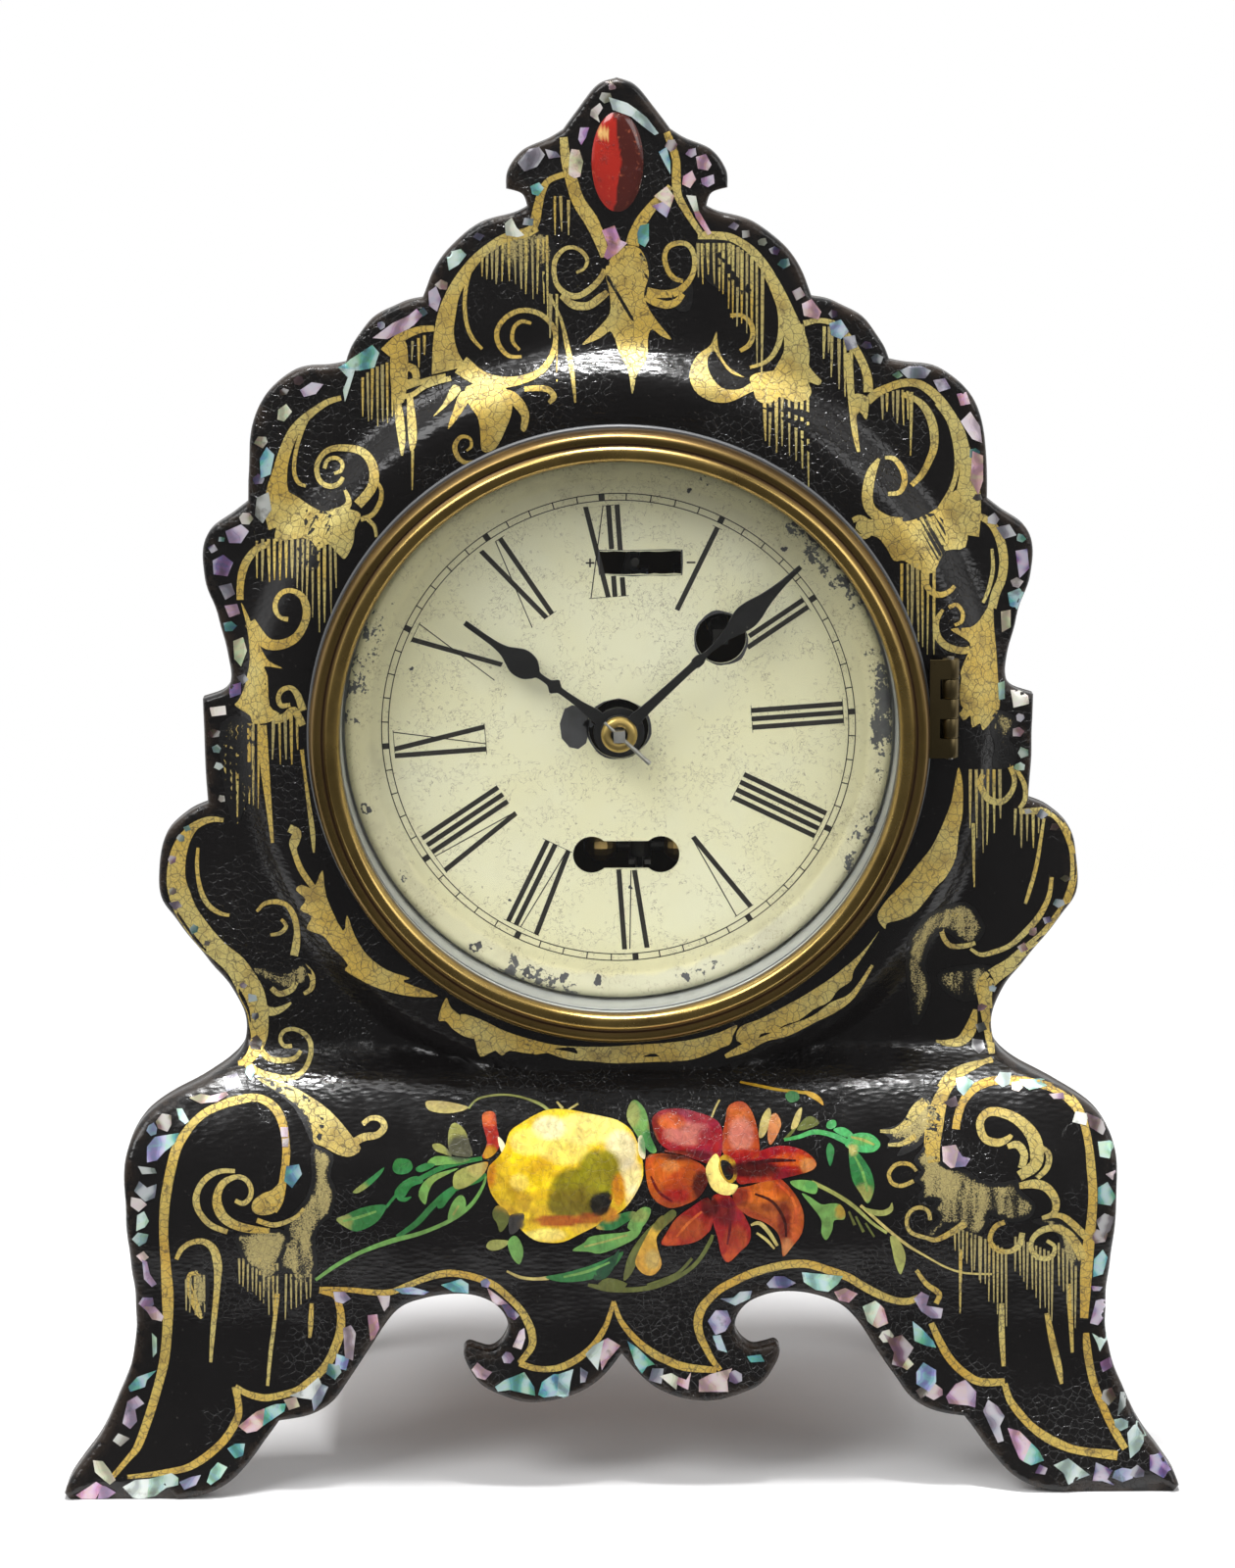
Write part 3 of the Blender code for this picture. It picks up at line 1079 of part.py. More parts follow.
def build_motion_work(minute_pivot, hour_pivot, stud_pivot):
    """Minute arbor, cannon pinion, minute wheel with its pinion, and hour wheel with its pipe."""
    square_back = ahead(HOUR_HAND_AHEAD + HAND + SEAT_GAP)
    turned_front = square_back - 0.0004
    minute_arbor = turned("minute_arbor", (
        (0.0, turned_front), (ARBOR_TURNED_RADIUS, turned_front),
        (ARBOR_TURNED_RADIUS, PLATE_BACK_Y - SEAT_GAP), (PIVOT_RADIUS, PLATE_BACK_Y - SEAT_GAP),
        (PIVOT_RADIUS, PLATE_BACK_Y + PLATE), (0.0, PLATE_BACK_Y + PLATE),
    ), *CENTRE, steps=16)
    half = ARBOR_SQUARE / 2
    end = block(
        "arbor_square", (-half, ahead(ARBOR_AHEAD), DIAL_Z - half), (half, square_back, DIAL_Z + half)
    )
    # The square end is turned by an eighth of a turn, to lie across the pin
    end.rotation_euler = (0.0, math.radians(45 + 43), 0.0)
    join(minute_arbor, end)
    reach = 0.01
    cut(minute_arbor, rod(
        "pin_hole", TAPER_PIN_RADIUS + SEAT_GAP,
        (-reach * math.cos(TAPER_PIN_TILT), ahead(PIN_AHEAD), DIAL_Z - reach * math.sin(TAPER_PIN_TILT)),
        (reach * math.cos(TAPER_PIN_TILT), ahead(PIN_AHEAD), DIAL_Z + reach * math.sin(TAPER_PIN_TILT)), 12,
    ))
    finish(settle(minute_arbor), "steel", minute_pivot)
    bore = ARBOR_TURNED_RADIUS + SEAT_GAP
    toward_stud = direction(CENTRE, MINUTE_STUD)
    cannon = toothed(
        "cannon_pinion", CANNON_TEETH, CANNON_MODULE, 0.0, PINION_TOOTH, CENTRE, CANNON_Y, WHEEL, bore
    )
    finish(cannon, "movement_brass", minute_pivot)
    wheel_phase = mesh_phase(0.0, CANNON_TEETH, MINUTE_WHEEL_TEETH, toward_stud)
    minute_wheel = toothed(
        "minute_wheel", MINUTE_WHEEL_TEETH, CANNON_MODULE, wheel_phase, WHEEL_TOOTH, MINUTE_STUD, CANNON_Y, WHEEL
    )
    minute_pinion = toothed(
        "minute_pinion", MINUTE_PINION_TEETH, HOUR_MODULE, 0.0, PINION_TOOTH, MINUTE_STUD,
        HOUR_WHEEL_Y - 0.0001, CANNON_Y - HOUR_WHEEL_Y + WHEEL * 0.5,
    )
    join(minute_wheel, minute_pinion)
    cut(minute_wheel, front_rod("minute_bore", 0.0013, *MINUTE_STUD, HOUR_WHEEL_Y - 0.01, CANNON_Y + 0.01, 12))
    finish(settle(minute_wheel), "movement_brass", stud_pivot)
    hour_phase = mesh_phase(0.0, MINUTE_PINION_TEETH, HOUR_TEETH, direction(MINUTE_STUD, CENTRE))
    hour_wheel = toothed(
        "hour_wheel", HOUR_TEETH, HOUR_MODULE, hour_phase, WHEEL_TOOTH, CENTRE, HOUR_WHEEL_Y, HOUR_WHEEL
    )
    pipe_front = ahead(HOUR_HAND_AHEAD + HAND)
    join(hour_wheel, front_rod("hour_pipe", PIPE_RADIUS, *CENTRE, pipe_front, HOUR_WHEEL_Y + HOUR_WHEEL * 0.6, 16))
    cut(hour_wheel, front_rod("pipe_bore", PIPE_BORE, *CENTRE, pipe_front - 0.01, HOUR_WHEEL_Y + 0.01, 16))
    finish(settle(hour_wheel), "movement_brass", hour_pivot)


def build_train(minute_pivot, main_pivot, third_pivot, escape_pivot):
    """Main wheel, centre wheel, third wheel and escape wheel, with their pinions and arbors."""
    toward_main = direction(CENTRE, WINDING)
    toward_third = direction(CENTRE, THIRD)
    toward_escape = direction(THIRD, ESCAPE)
    centre = toothed(
        "centre_wheel", CENTRE_TEETH, CENTRE_MODULE, 0.0, WHEEL_TOOTH, CENTRE, CENTRE_WHEEL_Y, WHEEL,
        windows=crossings(0.0068, 0.0168),
    )
    join(centre, toothed(
        "centre_pinion", CENTRE_PINION_TEETH, MAIN_MODULE, 0.0, PINION_TOOTH, CENTRE,
        CENTRE_WHEEL_Y + WHEEL * 0.5, CENTRE_PINION_LENGTH,
    ))
    cut(centre, front_rod("centre_bore", ARBOR_TURNED_RADIUS + SEAT_GAP, *CENTRE, -0.01, 0.02, 16))
    finish(settle(centre), "movement_brass", minute_pivot)
    main = toothed(
        "main_wheel", MAIN_TEETH, MAIN_MODULE, mesh_phase(0.0, CENTRE_PINION_TEETH, MAIN_TEETH, toward_main),
        WHEEL_TOOTH, WINDING, MAIN_WHEEL_Y, MAIN_WHEEL, WINDING_RADIUS + RUNNING_GAP,
    )
    stud = (WINDING[0] + CLICK_PIVOT[0], WINDING[1] + CLICK_PIVOT[1])
    join(main, front_rod("click_stud", CLICK_STUD_RADIUS, *stud, MAIN_WHEEL_Y + MAIN_WHEEL * 0.4, RATCHET_Y + RATCHET, 12))
    finish(settle(main), "movement_brass", main_pivot)
    third_phase = mesh_phase(0.0, CENTRE_TEETH, THIRD_PINION_TEETH, toward_third)
    pivot_front = PLATE_FRONT_Y - 0.0002
    pivot_back = PLATE_BACK_Y + PLATE + 0.0001
    third_arbor = arbor("third_arbor", THIRD, ARBOR_RADIUS, PIVOT_RADIUS, pivot_front, pivot_back)
    join(third_arbor, toothed(
        "third_pinion", THIRD_PINION_TEETH, CENTRE_MODULE, third_phase, PINION_TOOTH, THIRD,
        CENTRE_WHEEL_Y - 0.0005, WHEEL + 0.0010,
    ))
    finish(settle(third_arbor), "steel", third_pivot)
    third = toothed(
        "third_wheel", THIRD_TEETH, THIRD_MODULE, 0.0, WHEEL_TOOTH, THIRD, THIRD_WHEEL_Y, WHEEL,
        ARBOR_RADIUS + SEAT_GAP, crossings(0.0050, 0.0146),
    )
    finish(third, "movement_brass", third_pivot)
    escape_phase = mesh_phase(0.0, THIRD_TEETH, ESCAPE_PINION_TEETH, toward_escape)
    escape_arbor = arbor("escape_arbor", ESCAPE, ARBOR_RADIUS, PIVOT_RADIUS, pivot_front, pivot_back)
    join(escape_arbor, toothed(
        "escape_pinion", ESCAPE_PINION_TEETH, THIRD_MODULE, escape_phase, PINION_TOOTH, ESCAPE,
        THIRD_WHEEL_Y - 0.0006, WHEEL + 0.0012,
    ))
    finish(settle(escape_arbor), "steel", escape_pivot)
    escape = sheet(
        "escape_wheel", [escape_outline(), circle(ARBOR_RADIUS + SEAT_GAP, 12)] + crossings(0.0040, 0.0082),
        *ESCAPE, ESCAPE_WHEEL_Y, ESCAPE_WHEEL,
    )
    finish(escape, "movement_brass", escape_pivot)


def escape_outline():
    """Outline of the escape wheel: slender teeth that lean the way it turns."""
    step = math.tau / ESCAPE_TEETH
    root = ESCAPE_RADIUS - ESCAPE_TOOTH
    # A tooth stands a quarter of a pitch beside each pallet when the anchor is level
    phase = -math.pi / 2 + PALLET_ANGLE + step * 0.25
    found = []
    for i in range(ESCAPE_TEETH):
        tip = phase + i * step
        found += [
            (root * math.cos(tip - step * 0.30), root * math.sin(tip - step * 0.30)),
            (ESCAPE_RADIUS * math.cos(tip - step * 0.05), ESCAPE_RADIUS * math.sin(tip - step * 0.05)),
            (ESCAPE_RADIUS * math.cos(tip + step * 0.05), ESCAPE_RADIUS * math.sin(tip + step * 0.05)),
            (root * math.cos(tip + step * 0.14), root * math.sin(tip + step * 0.14)),
        ]
    return found


def build_winding(winding_pivot, main_pivot, click_pivot):
    """Winding arbor with its square, ratchet wheel, click with its spring, and the mainspring."""
    square_back = PLATE_FRONT_Y - 0.004
    hub_front = SPRING_Y - SEAT_GAP
    hub_back = SPRING_Y + SPRING_WIDTH
    thin = WINDING_RADIUS * 0.7
    winder = turned("winding_arbor", (
        (0.0, square_back - 0.002), (WINDING_RADIUS, square_back - 0.002), (WINDING_RADIUS, hub_front),
        (SPRING_HUB_RADIUS, hub_front), (SPRING_HUB_RADIUS, hub_back), (WINDING_RADIUS, hub_back),
        (WINDING_RADIUS, PLATE_BACK_Y - SEAT_GAP), (thin, PLATE_BACK_Y - SEAT_GAP),
        (thin, PLATE_BACK_Y + PLATE), (0.0, PLATE_BACK_Y + PLATE),
    ), *WINDING, steps=16)
    half = WINDING_SQUARE / 2
    join(winder, block(
        "winding_square", (WINDING[0] - half, ahead(WINDING_AHEAD), WINDING[1] - half),
        (WINDING[0] + half, square_back, WINDING[1] + half),
    ))
    finish(settle(winder), "steel", winding_pivot)
    ratchet = sheet(
        "ratchet_wheel", [ratchet_outline(), circle(WINDING_RADIUS + SEAT_GAP, 16)], *WINDING, RATCHET_Y, RATCHET
    )
    finish(ratchet, "steel", winding_pivot)
    px, pz = CLICK_PIVOT
    boss = []
    for i in range(9):
        angle = math.radians(70 + i * 22.5)
        boss.append((px + CLICK_BOSS_RADIUS * math.cos(angle), pz + CLICK_BOSS_RADIUS * math.sin(angle)))
    click = sheet(
        "click", [list(CLICK_TIP) + boss + list(CLICK_UNDER), circle(CLICK_STUD_RADIUS + RUNNING_GAP, 12, px, pz)],
        *WINDING, RATCHET_Y, RATCHET,
    )
    finish(click, "steel", click_pivot)
    spring = sheet("click_spring", [list(CLICK_SPRING_RUN)], *WINDING, MAIN_WHEEL_Y + MAIN_WHEEL + SEAT_GAP, RATCHET)
    finish(spring, "spring_steel", main_pivot)
    coil = sheet("mainspring", [spiral_outline()], *WINDING, SPRING_Y, SPRING_WIDTH)
    finish(coil, "spring_steel")


def ratchet_outline():
    """Outline of the ratchet wheel: each tooth rises slowly and drops steeply."""
    step = math.tau / RATCHET_TEETH
    # The steep face of one tooth stands just before the click's tip
    start = math.radians(91)
    found = []
    for i in range(RATCHET_TEETH):
        angle = start + i * step
        for radius, turn in ((RATCHET_RADIUS - RATCHET_TOOTH, 0.03), (RATCHET_RADIUS, 0.97)):
            found.append((radius * math.cos(angle + turn * step), radius * math.sin(angle + turn * step)))
    return found


def spiral_outline():
    """Outline of the mainspring's strip, out along one face and back along the other."""
    per_turn = 18
    count = SPRING_TURNS * per_turn
    outer, inner = [], []
    for i in range(count + 1):
        radius = SPRING_INNER_RADIUS + (SPRING_OUTER_RADIUS - SPRING_INNER_RADIUS) * i / count
        angle = SPRING_END_ANGLE + (i - count) * math.tau / per_turn
        for run, off in ((outer, SPRING_THICKNESS / 2), (inner, -SPRING_THICKNESS / 2)):
            run.append(((radius + off) * math.cos(angle), (radius + off) * math.sin(angle)))
    least = (SPRING_OUTER_RADIUS - SPRING_INNER_RADIUS) / SPRING_TURNS - SPRING_THICKNESS
    print(f"mainspring: least gap between its turns {least * 1000:.2f} mm")
    return outer + inner[::-1]


def build_escapement(verge_pivot):
    """Verge arbor with its anchor, and the crutch whose fork takes the balance's pin."""
    back = PLATE_BACK_Y + PLATE + 0.0001
    shoulder = PLATE_BACK_Y - SEAT_GAP
    front = CRUTCH_Y - 0.0003
    verge = turned("verge_arbor", (
        (0.0, front), (ARBOR_RADIUS, front), (ARBOR_RADIUS, shoulder), (PIVOT_RADIUS, shoulder),
        (PIVOT_RADIUS, back), (0.0, back),
    ), *VERGE, steps=12)
    anchor_y = ESCAPE_WHEEL_Y + ESCAPE_WHEEL / 2 - ANCHOR / 2
    join(verge, sheet("anchor", [anchor_outline()], *VERGE, anchor_y, ANCHOR))
    finish(settle(verge), "steel", verge_pivot)
    top = FORK_BOTTOM_Z + FORK_HEIGHT - VERGE[1]
    half = CRUTCH_WIDTH / 2
    hub = []
    hub_radius = 0.0022
    for i in range(13):
        angle = math.radians(115 + i * (310 / 12))
        hub.append((hub_radius * math.cos(angle), hub_radius * math.sin(angle)))
    crutch = sheet(
        "crutch", [hub + [(half, 0.004), (half, top), (-half, top), (-half, 0.004)], circle(ARBOR_RADIUS + SEAT_GAP, 12)],
        *VERGE, CRUTCH_Y, CRUTCH,
    )
    wide = FORK_SLOT / 2 + FORK_CHEEK
    join(crutch, block(
        "fork", (BALANCE_X - wide, CRUTCH_Y - FORK_LENGTH, FORK_BOTTOM_Z),
        (BALANCE_X + wide, CRUTCH_Y + CRUTCH * 0.999, FORK_BOTTOM_Z + FORK_HEIGHT),
    ))
    cut(crutch, block(
        "fork_slot", (BALANCE_X - FORK_SLOT / 2, CRUTCH_Y - FORK_LENGTH - 0.01, FORK_BOTTOM_Z - 0.01),
        (BALANCE_X + FORK_SLOT / 2, CRUTCH_Y - 0.0004, FORK_BOTTOM_Z + 0.01),
    ))
    finish(settle(crutch), "steel", verge_pivot)


def anchor_outline():
    """Outline of the anchor about its arbor: two arms with narrow pallets."""
    reach = ESCAPE_RADIUS + PALLET_CLEARANCE
    sin, cos = math.sin(PALLET_ANGLE), math.cos(PALLET_ANGLE)
    tip = (reach * sin, VERGE_DROP - reach * cos)
    foot = (tip[0] + PALLET_LENGTH * sin, tip[1] - PALLET_LENGTH * cos)
    half = PALLET_WIDTH / 2
    inner_tip = (tip[0] - half * cos, tip[1] - half * sin)
    outer_tip = (tip[0] + half * cos, tip[1] + half * sin)
    outer_foot = (foot[0] + 3 * half * cos, foot[1] + 3 * half * sin)
    inner_foot = (foot[0] - 3 * half * cos, foot[1] - 3 * half * sin)
    low = 0.0017
    right = [
        (low, 0.0002), (inner_foot[0], inner_foot[1]), inner_tip, outer_tip, outer_foot,
        (outer_foot[0] - 0.0006, outer_foot[1] - 0.0012), (low * 0.9, -low * 0.8),
    ]
    top = [(low * 0.5, low * 0.8)]
    bottom = [(0.0, -low)]
    mirrored = [(-x, z) for x, z in (top + right)[::-1]]
    return top + right + bottom + mirrored


def build_balance(balance_pivot):
    """Torsion strip with its cock, and the balance: a bar with two balls and a pin."""
    half_slit = STRIP_SLIT / 2
    cock_top = COCK_Z + COCK_HEIGHT
    cock_front = BALANCE_Y - 0.0021
    cock_back = BALANCE_Y + 0.0021
    cock = block(
        "suspension_cock", (BALANCE_X - 0.0022, cock_front, COCK_Z),
        (COCK_FOOT_X + COCK_FOOT_WIDTH, cock_back, cock_top),
    )
    join(cock, block(
        "cock_foot", (COCK_FOOT_X, cock_back - 0.001, COCK_Z - 0.0005),
        (COCK_FOOT_X + COCK_FOOT_WIDTH - 0.0003, PLATE_FRONT_Y - SEAT_GAP, cock_top + 0.0015),
    ))
    cut(cock, block(
        "cock_slit", (BALANCE_X - half_slit, cock_front - 0.01, COCK_Z - 0.01),
        (BALANCE_X + half_slit, BALANCE_Y + STRIP_WIDTH / 2 + SEAT_GAP, cock_top + 0.01),
    ))
    finish(settle(cock), "movement_brass")
    head_bottom = cock_top + SEAT_GAP
    strip = block(
        "torsion_strip", (BALANCE_X - STRIP / 2, BALANCE_Y - STRIP_WIDTH / 2, STRIP_BOTTOM_Z),
        (BALANCE_X + STRIP / 2, BALANCE_Y + STRIP_WIDTH / 2, head_bottom + STRIP_HEAD * 0.5),
    )
    join(strip, block(
        "strip_head", (BALANCE_X - STRIP_HEAD_WIDTH / 2, BALANCE_Y - 0.0013, head_bottom),
        (BALANCE_X + STRIP_HEAD_WIDTH / 2, BALANCE_Y + 0.0013, head_bottom + STRIP_HEAD),
    ))
    finish(settle(strip), "spring_steel")
    hub = rod(
        "balance_bar", BALANCE_HUB_RADIUS, (BALANCE_X, BALANCE_Y, BALANCE_HUB_BOTTOM_Z),
        (BALANCE_X, BALANCE_Y, BALANCE_HUB_TOP_Z), 20,
    )
    reach = BALL_SPREAD + BALL_RADIUS
    join(hub, rod(
        "bar", BALANCE_BAR_RADIUS, (BALANCE_X - reach, BALANCE_Y, BALANCE_Z), (BALANCE_X + reach, BALANCE_Y, BALANCE_Z), 12
    ))
    pin_y = BALANCE_Y + BALANCE_PIN_ARM
    arm_half = 0.0007
    join(hub, block(
        "pin_arm", (BALANCE_X - arm_half, BALANCE_Y, BALANCE_Z - 0.0009),
        (BALANCE_X + arm_half, pin_y + arm_half, BALANCE_Z + 0.0006),
    ))
    pin_end = FORK_BOTTOM_Z - 0.0010
    join(hub, rod("fork_pin", BALANCE_PIN_RADIUS, (BALANCE_X, pin_y, pin_end), (BALANCE_X, pin_y, BALANCE_Z), 10))
    cut(hub, block(
        "hub_slit", (BALANCE_X - half_slit, BALANCE_Y - 0.01, STRIP_BOTTOM_Z - SEAT_GAP),
        (BALANCE_X + half_slit, BALANCE_Y + 0.01, BALANCE_HUB_TOP_Z + 0.01),
    ))
    finish(settle(hub), "movement_brass", balance_pivot)
    for side, word in ((-1, "left"), (1, "right")):
        x = BALANCE_X + side * BALL_SPREAD
        work = bmesh.new()
        bmesh.ops.create_uvsphere(work, u_segments=14, v_segments=8, radius=BALL_RADIUS)
        mesh = bpy.data.meshes.new(f"balance_ball_{word}")
        work.to_mesh(mesh)
        work.free()
        ball = add_mesh(f"balance_ball_{word}", mesh, (x, BALANCE_Y, BALANCE_Z), (0.0, math.pi / 2, 0.0))
        cut(ball, rod(
            f"{word}_ball_bore", BALANCE_BAR_RADIUS + SEAT_GAP, (x - 0.01, BALANCE_Y, BALANCE_Z),
            (x + 0.01, BALANCE_Y, BALANCE_Z), 12,
        ))
        finish(settle(ball), "movement_brass", balance_pivot)


def build_regulator(regulator_pivot):
    """Regulator lever with its finger behind the dial's slot and its fork on the strip, and its stud."""
    finger = (FINGER_X - REGULATOR_X, SLOT_Z - REGULATOR_Z)
    lean = math.atan2(finger[1], finger[0])
    half = 0.0014
    length = math.hypot(*finger)
    outline = []
    for i in range(13):
        angle = lean + math.radians(30 + 300 * i / 12)
        outline.append((REGULATOR_HUB_RADIUS * math.cos(angle), REGULATOR_HUB_RADIUS * math.sin(angle)))
    for i in range(7):
        angle = lean + math.radians(-90 + 180 * i / 6)
        outline.append((
            length * math.cos(lean) + half * math.cos(angle), length * math.sin(lean) + half * math.sin(angle)
        ))
    hole = circle(REGULATOR_STUD_RADIUS + RUNNING_GAP, 12)
    lever = sheet("regulator_lever", [outline, hole], REGULATOR_X, REGULATOR_Z, REGULATOR_Y, REGULATOR)
    fork_front = BALANCE_Y - STRIP_WIDTH / 2 - 0.0006
    half_fork = REGULATOR_FORK_HEIGHT / 2
    fork_left = REGULATOR_X + REGULATOR_STUD_RADIUS + RUNNING_GAP + 0.0006
    join(
        lever,
        block(
            "regulator_fork", (fork_left, fork_front, REGULATOR_Z - half_fork),
            (fork_left + REGULATOR_FORK_WIDTH, REGULATOR_Y + REGULATOR * 0.5, REGULATOR_Z + half_fork),
        ),
        front_rod(
            "regulator_finger", FINGER_RADIUS, FINGER_X, SLOT_Z, ahead(DIAL_AHEAD - DIAL_THICKNESS - 0.0007),
            REGULATOR_Y + REGULATOR * 0.5, 12,
        ),
    )
    cut(lever, block(
        "strip_slot", (BALANCE_X - STRIP_SLIT / 2, fork_front - 0.01, REGULATOR_Z - 0.01),
        (BALANCE_X + STRIP_SLIT / 2, BALANCE_Y + STRIP_WIDTH / 2 + SEAT_GAP, REGULATOR_Z + 0.01),
    ))
    finish(settle(lever), "movement_brass", regulator_pivot)
    head_back = REGULATOR_Y - SEAT_GAP
    stud = turned("regulator_stud", (
        (0.0, head_back - 0.001), (REGULATOR_STUD_RADIUS * 1.3, head_back - 0.001),
        (REGULATOR_STUD_RADIUS * 1.3, head_back), (REGULATOR_STUD_RADIUS, head_back),
        (REGULATOR_STUD_RADIUS, PLATE_FRONT_Y + PLATE - SEAT_GAP), (0.0, PLATE_FRONT_Y + PLATE - SEAT_GAP),
    ), REGULATOR_X, REGULATOR_Z, steps=12)
    finish(settle(stud), "steel")


def build_clock():
    """Build every piece of the clock."""
    minute_pivot = make_pivot("minute_pivot", (CENTRE[0], 0.0, CENTRE[1]))
    hour_pivot = make_pivot("hour_pivot", (CENTRE[0], 0.0, CENTRE[1]))
    stud_pivot = make_pivot("minute_wheel_pivot", (MINUTE_STUD[0], 0.0, MINUTE_STUD[1]))
    main_pivot = make_pivot("main_wheel_pivot", (WINDING[0], 0.0, WINDING[1]))
    winding_pivot = make_pivot("winding_pivot", (WINDING[0], 0.0, WINDING[1]))
    click_pivot = make_pivot("click_pivot", (WINDING[0] + CLICK_PIVOT[0], 0.0, WINDING[1] + CLICK_PIVOT[1]))
    third_pivot = make_pivot("third_pivot", (THIRD[0], 0.0, THIRD[1]))
    escape_pivot = make_pivot("escape_pivot", (ESCAPE[0], 0.0, ESCAPE[1]))
    verge_pivot = make_pivot("verge_pivot", (VERGE[0], 0.0, VERGE[1]))
    balance_pivot = make_pivot("balance_pivot", (BALANCE_X, BALANCE_Y, BALANCE_Z))
    regulator_pivot = make_pivot("regulator_pivot", (REGULATOR_X, REGULATOR_Y, REGULATOR_Z))
    build_front()
    build_case()
    build_dial()
    build_bezel()
    build_hands(minute_pivot, hour_pivot)
    build_plates()
    build_pillars()
    build_rails()
    build_motion_work(minute_pivot, hour_pivot, stud_pivot)
    build_train(minute_pivot, main_pivot, third_pivot, escape_pivot)
    build_winding(winding_pivot, main_pivot, click_pivot)
    build_escapement(verge_pivot)
    build_balance(balance_pivot)
    build_regulator(regulator_pivot)
    for name, point in (
        ("centre", CENTRE), ("winding", WINDING), ("third", THIRD), ("escape", ESCAPE), ("verge", VERGE),
        ("minute stud", MINUTE_STUD),
    ):
        print(f"{name} axis at x {point[0]:.6f}, z {point[1]:.6f}")


clear_scene()
CLOCK = make_collection("torsion_pendulum_clock")
TOOLS = make_collection("cutters")
build_clock()
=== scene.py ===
"""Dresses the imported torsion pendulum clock: lacquered front, brass bezel, painted dial, wood and brass."""

import logging
import math
import random
from collections import Counter
from dataclasses import dataclass, field
from enum import Enum
from typing import Callable, Iterable, Sequence

import bmesh
import bpy
import numpy as np
from mathutils import Matrix, Vector
from mathutils.bvhtree import BVHTree
from mathutils.geometry import delaunay_2d_cdt


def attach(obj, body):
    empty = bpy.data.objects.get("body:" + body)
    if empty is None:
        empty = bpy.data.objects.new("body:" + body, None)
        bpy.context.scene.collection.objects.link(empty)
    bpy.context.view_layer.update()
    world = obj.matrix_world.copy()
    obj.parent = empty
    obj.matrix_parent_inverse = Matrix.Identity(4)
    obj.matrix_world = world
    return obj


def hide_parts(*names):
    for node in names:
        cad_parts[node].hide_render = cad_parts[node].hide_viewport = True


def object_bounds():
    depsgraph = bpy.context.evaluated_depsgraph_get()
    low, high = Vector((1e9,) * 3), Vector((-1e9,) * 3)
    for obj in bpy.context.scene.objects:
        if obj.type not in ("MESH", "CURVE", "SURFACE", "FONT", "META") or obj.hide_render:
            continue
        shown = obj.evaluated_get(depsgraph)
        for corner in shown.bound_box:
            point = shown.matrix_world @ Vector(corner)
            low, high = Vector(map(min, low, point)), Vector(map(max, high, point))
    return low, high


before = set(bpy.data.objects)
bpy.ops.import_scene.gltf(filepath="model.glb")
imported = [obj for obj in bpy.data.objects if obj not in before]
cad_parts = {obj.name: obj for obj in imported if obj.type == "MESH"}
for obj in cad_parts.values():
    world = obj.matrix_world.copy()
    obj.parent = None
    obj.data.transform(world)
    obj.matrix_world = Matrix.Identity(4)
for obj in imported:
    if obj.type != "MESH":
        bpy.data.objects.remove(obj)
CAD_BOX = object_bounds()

LOG = logging.getLogger("clock")
Point = tuple[float, float]
Colour = tuple[float, float, float]
Place = tuple[float, float, float]
Socket = bpy.types.NodeSocket
Surface = Callable[[np.ndarray, np.ndarray], np.ndarray]


class Body(Enum):
    """The moving bodies that the dressed pieces ride on."""

    CASE = "case"
    BEZEL = "bezel"
    MINUTE = "minute_work"
    HOUR = "hour_work"


class Coat(Enum):
    """The record's material slots, one given with each new piece."""

    LACQUER = "black_lacquer"
    DIAL = "dial_paint"
    ZINC = "zinc"
    BEZEL = "bezel_brass"
    MOVEMENT = "movement_brass"
    HANDS = "hand_black"
    GLASS = "glass"


@dataclass(frozen=True)
class ClockSizes:
    """Sizes that the dressed pieces share with the solids, in metres."""

    front_y: float = -0.028
    front_wall: float = 0.005
    dial_z: float = 0.1576
    hole_radius: float = 0.0587
    boss_rise: float = 0.007
    boss_flat: float = 0.0705
    boss_foot: float = 0.0825
    dial_ahead: float = -0.0010
    dial_radius: float = 0.0567
    hinge_x: float = 0.0679
    hinge_y: float = -0.0375
    hinge_z: float = 0.1633
    hinge_height: float = 0.0205
    base: tuple[Point, ...] = (
        (0.0920, 0.0000), (0.0895, 0.0022), (0.0867, 0.0076), (0.0838, 0.0110), (0.0780, 0.0155),
        (0.0710, 0.0190), (0.0620, 0.0208), (0.0530, 0.0202), (0.0440, 0.0180), (0.0350, 0.0170),
        (0.0260, 0.0180), (0.0170, 0.0199), (0.0080, 0.0225), (0.0000, 0.0250),
    )


SIZES = ClockSizes()


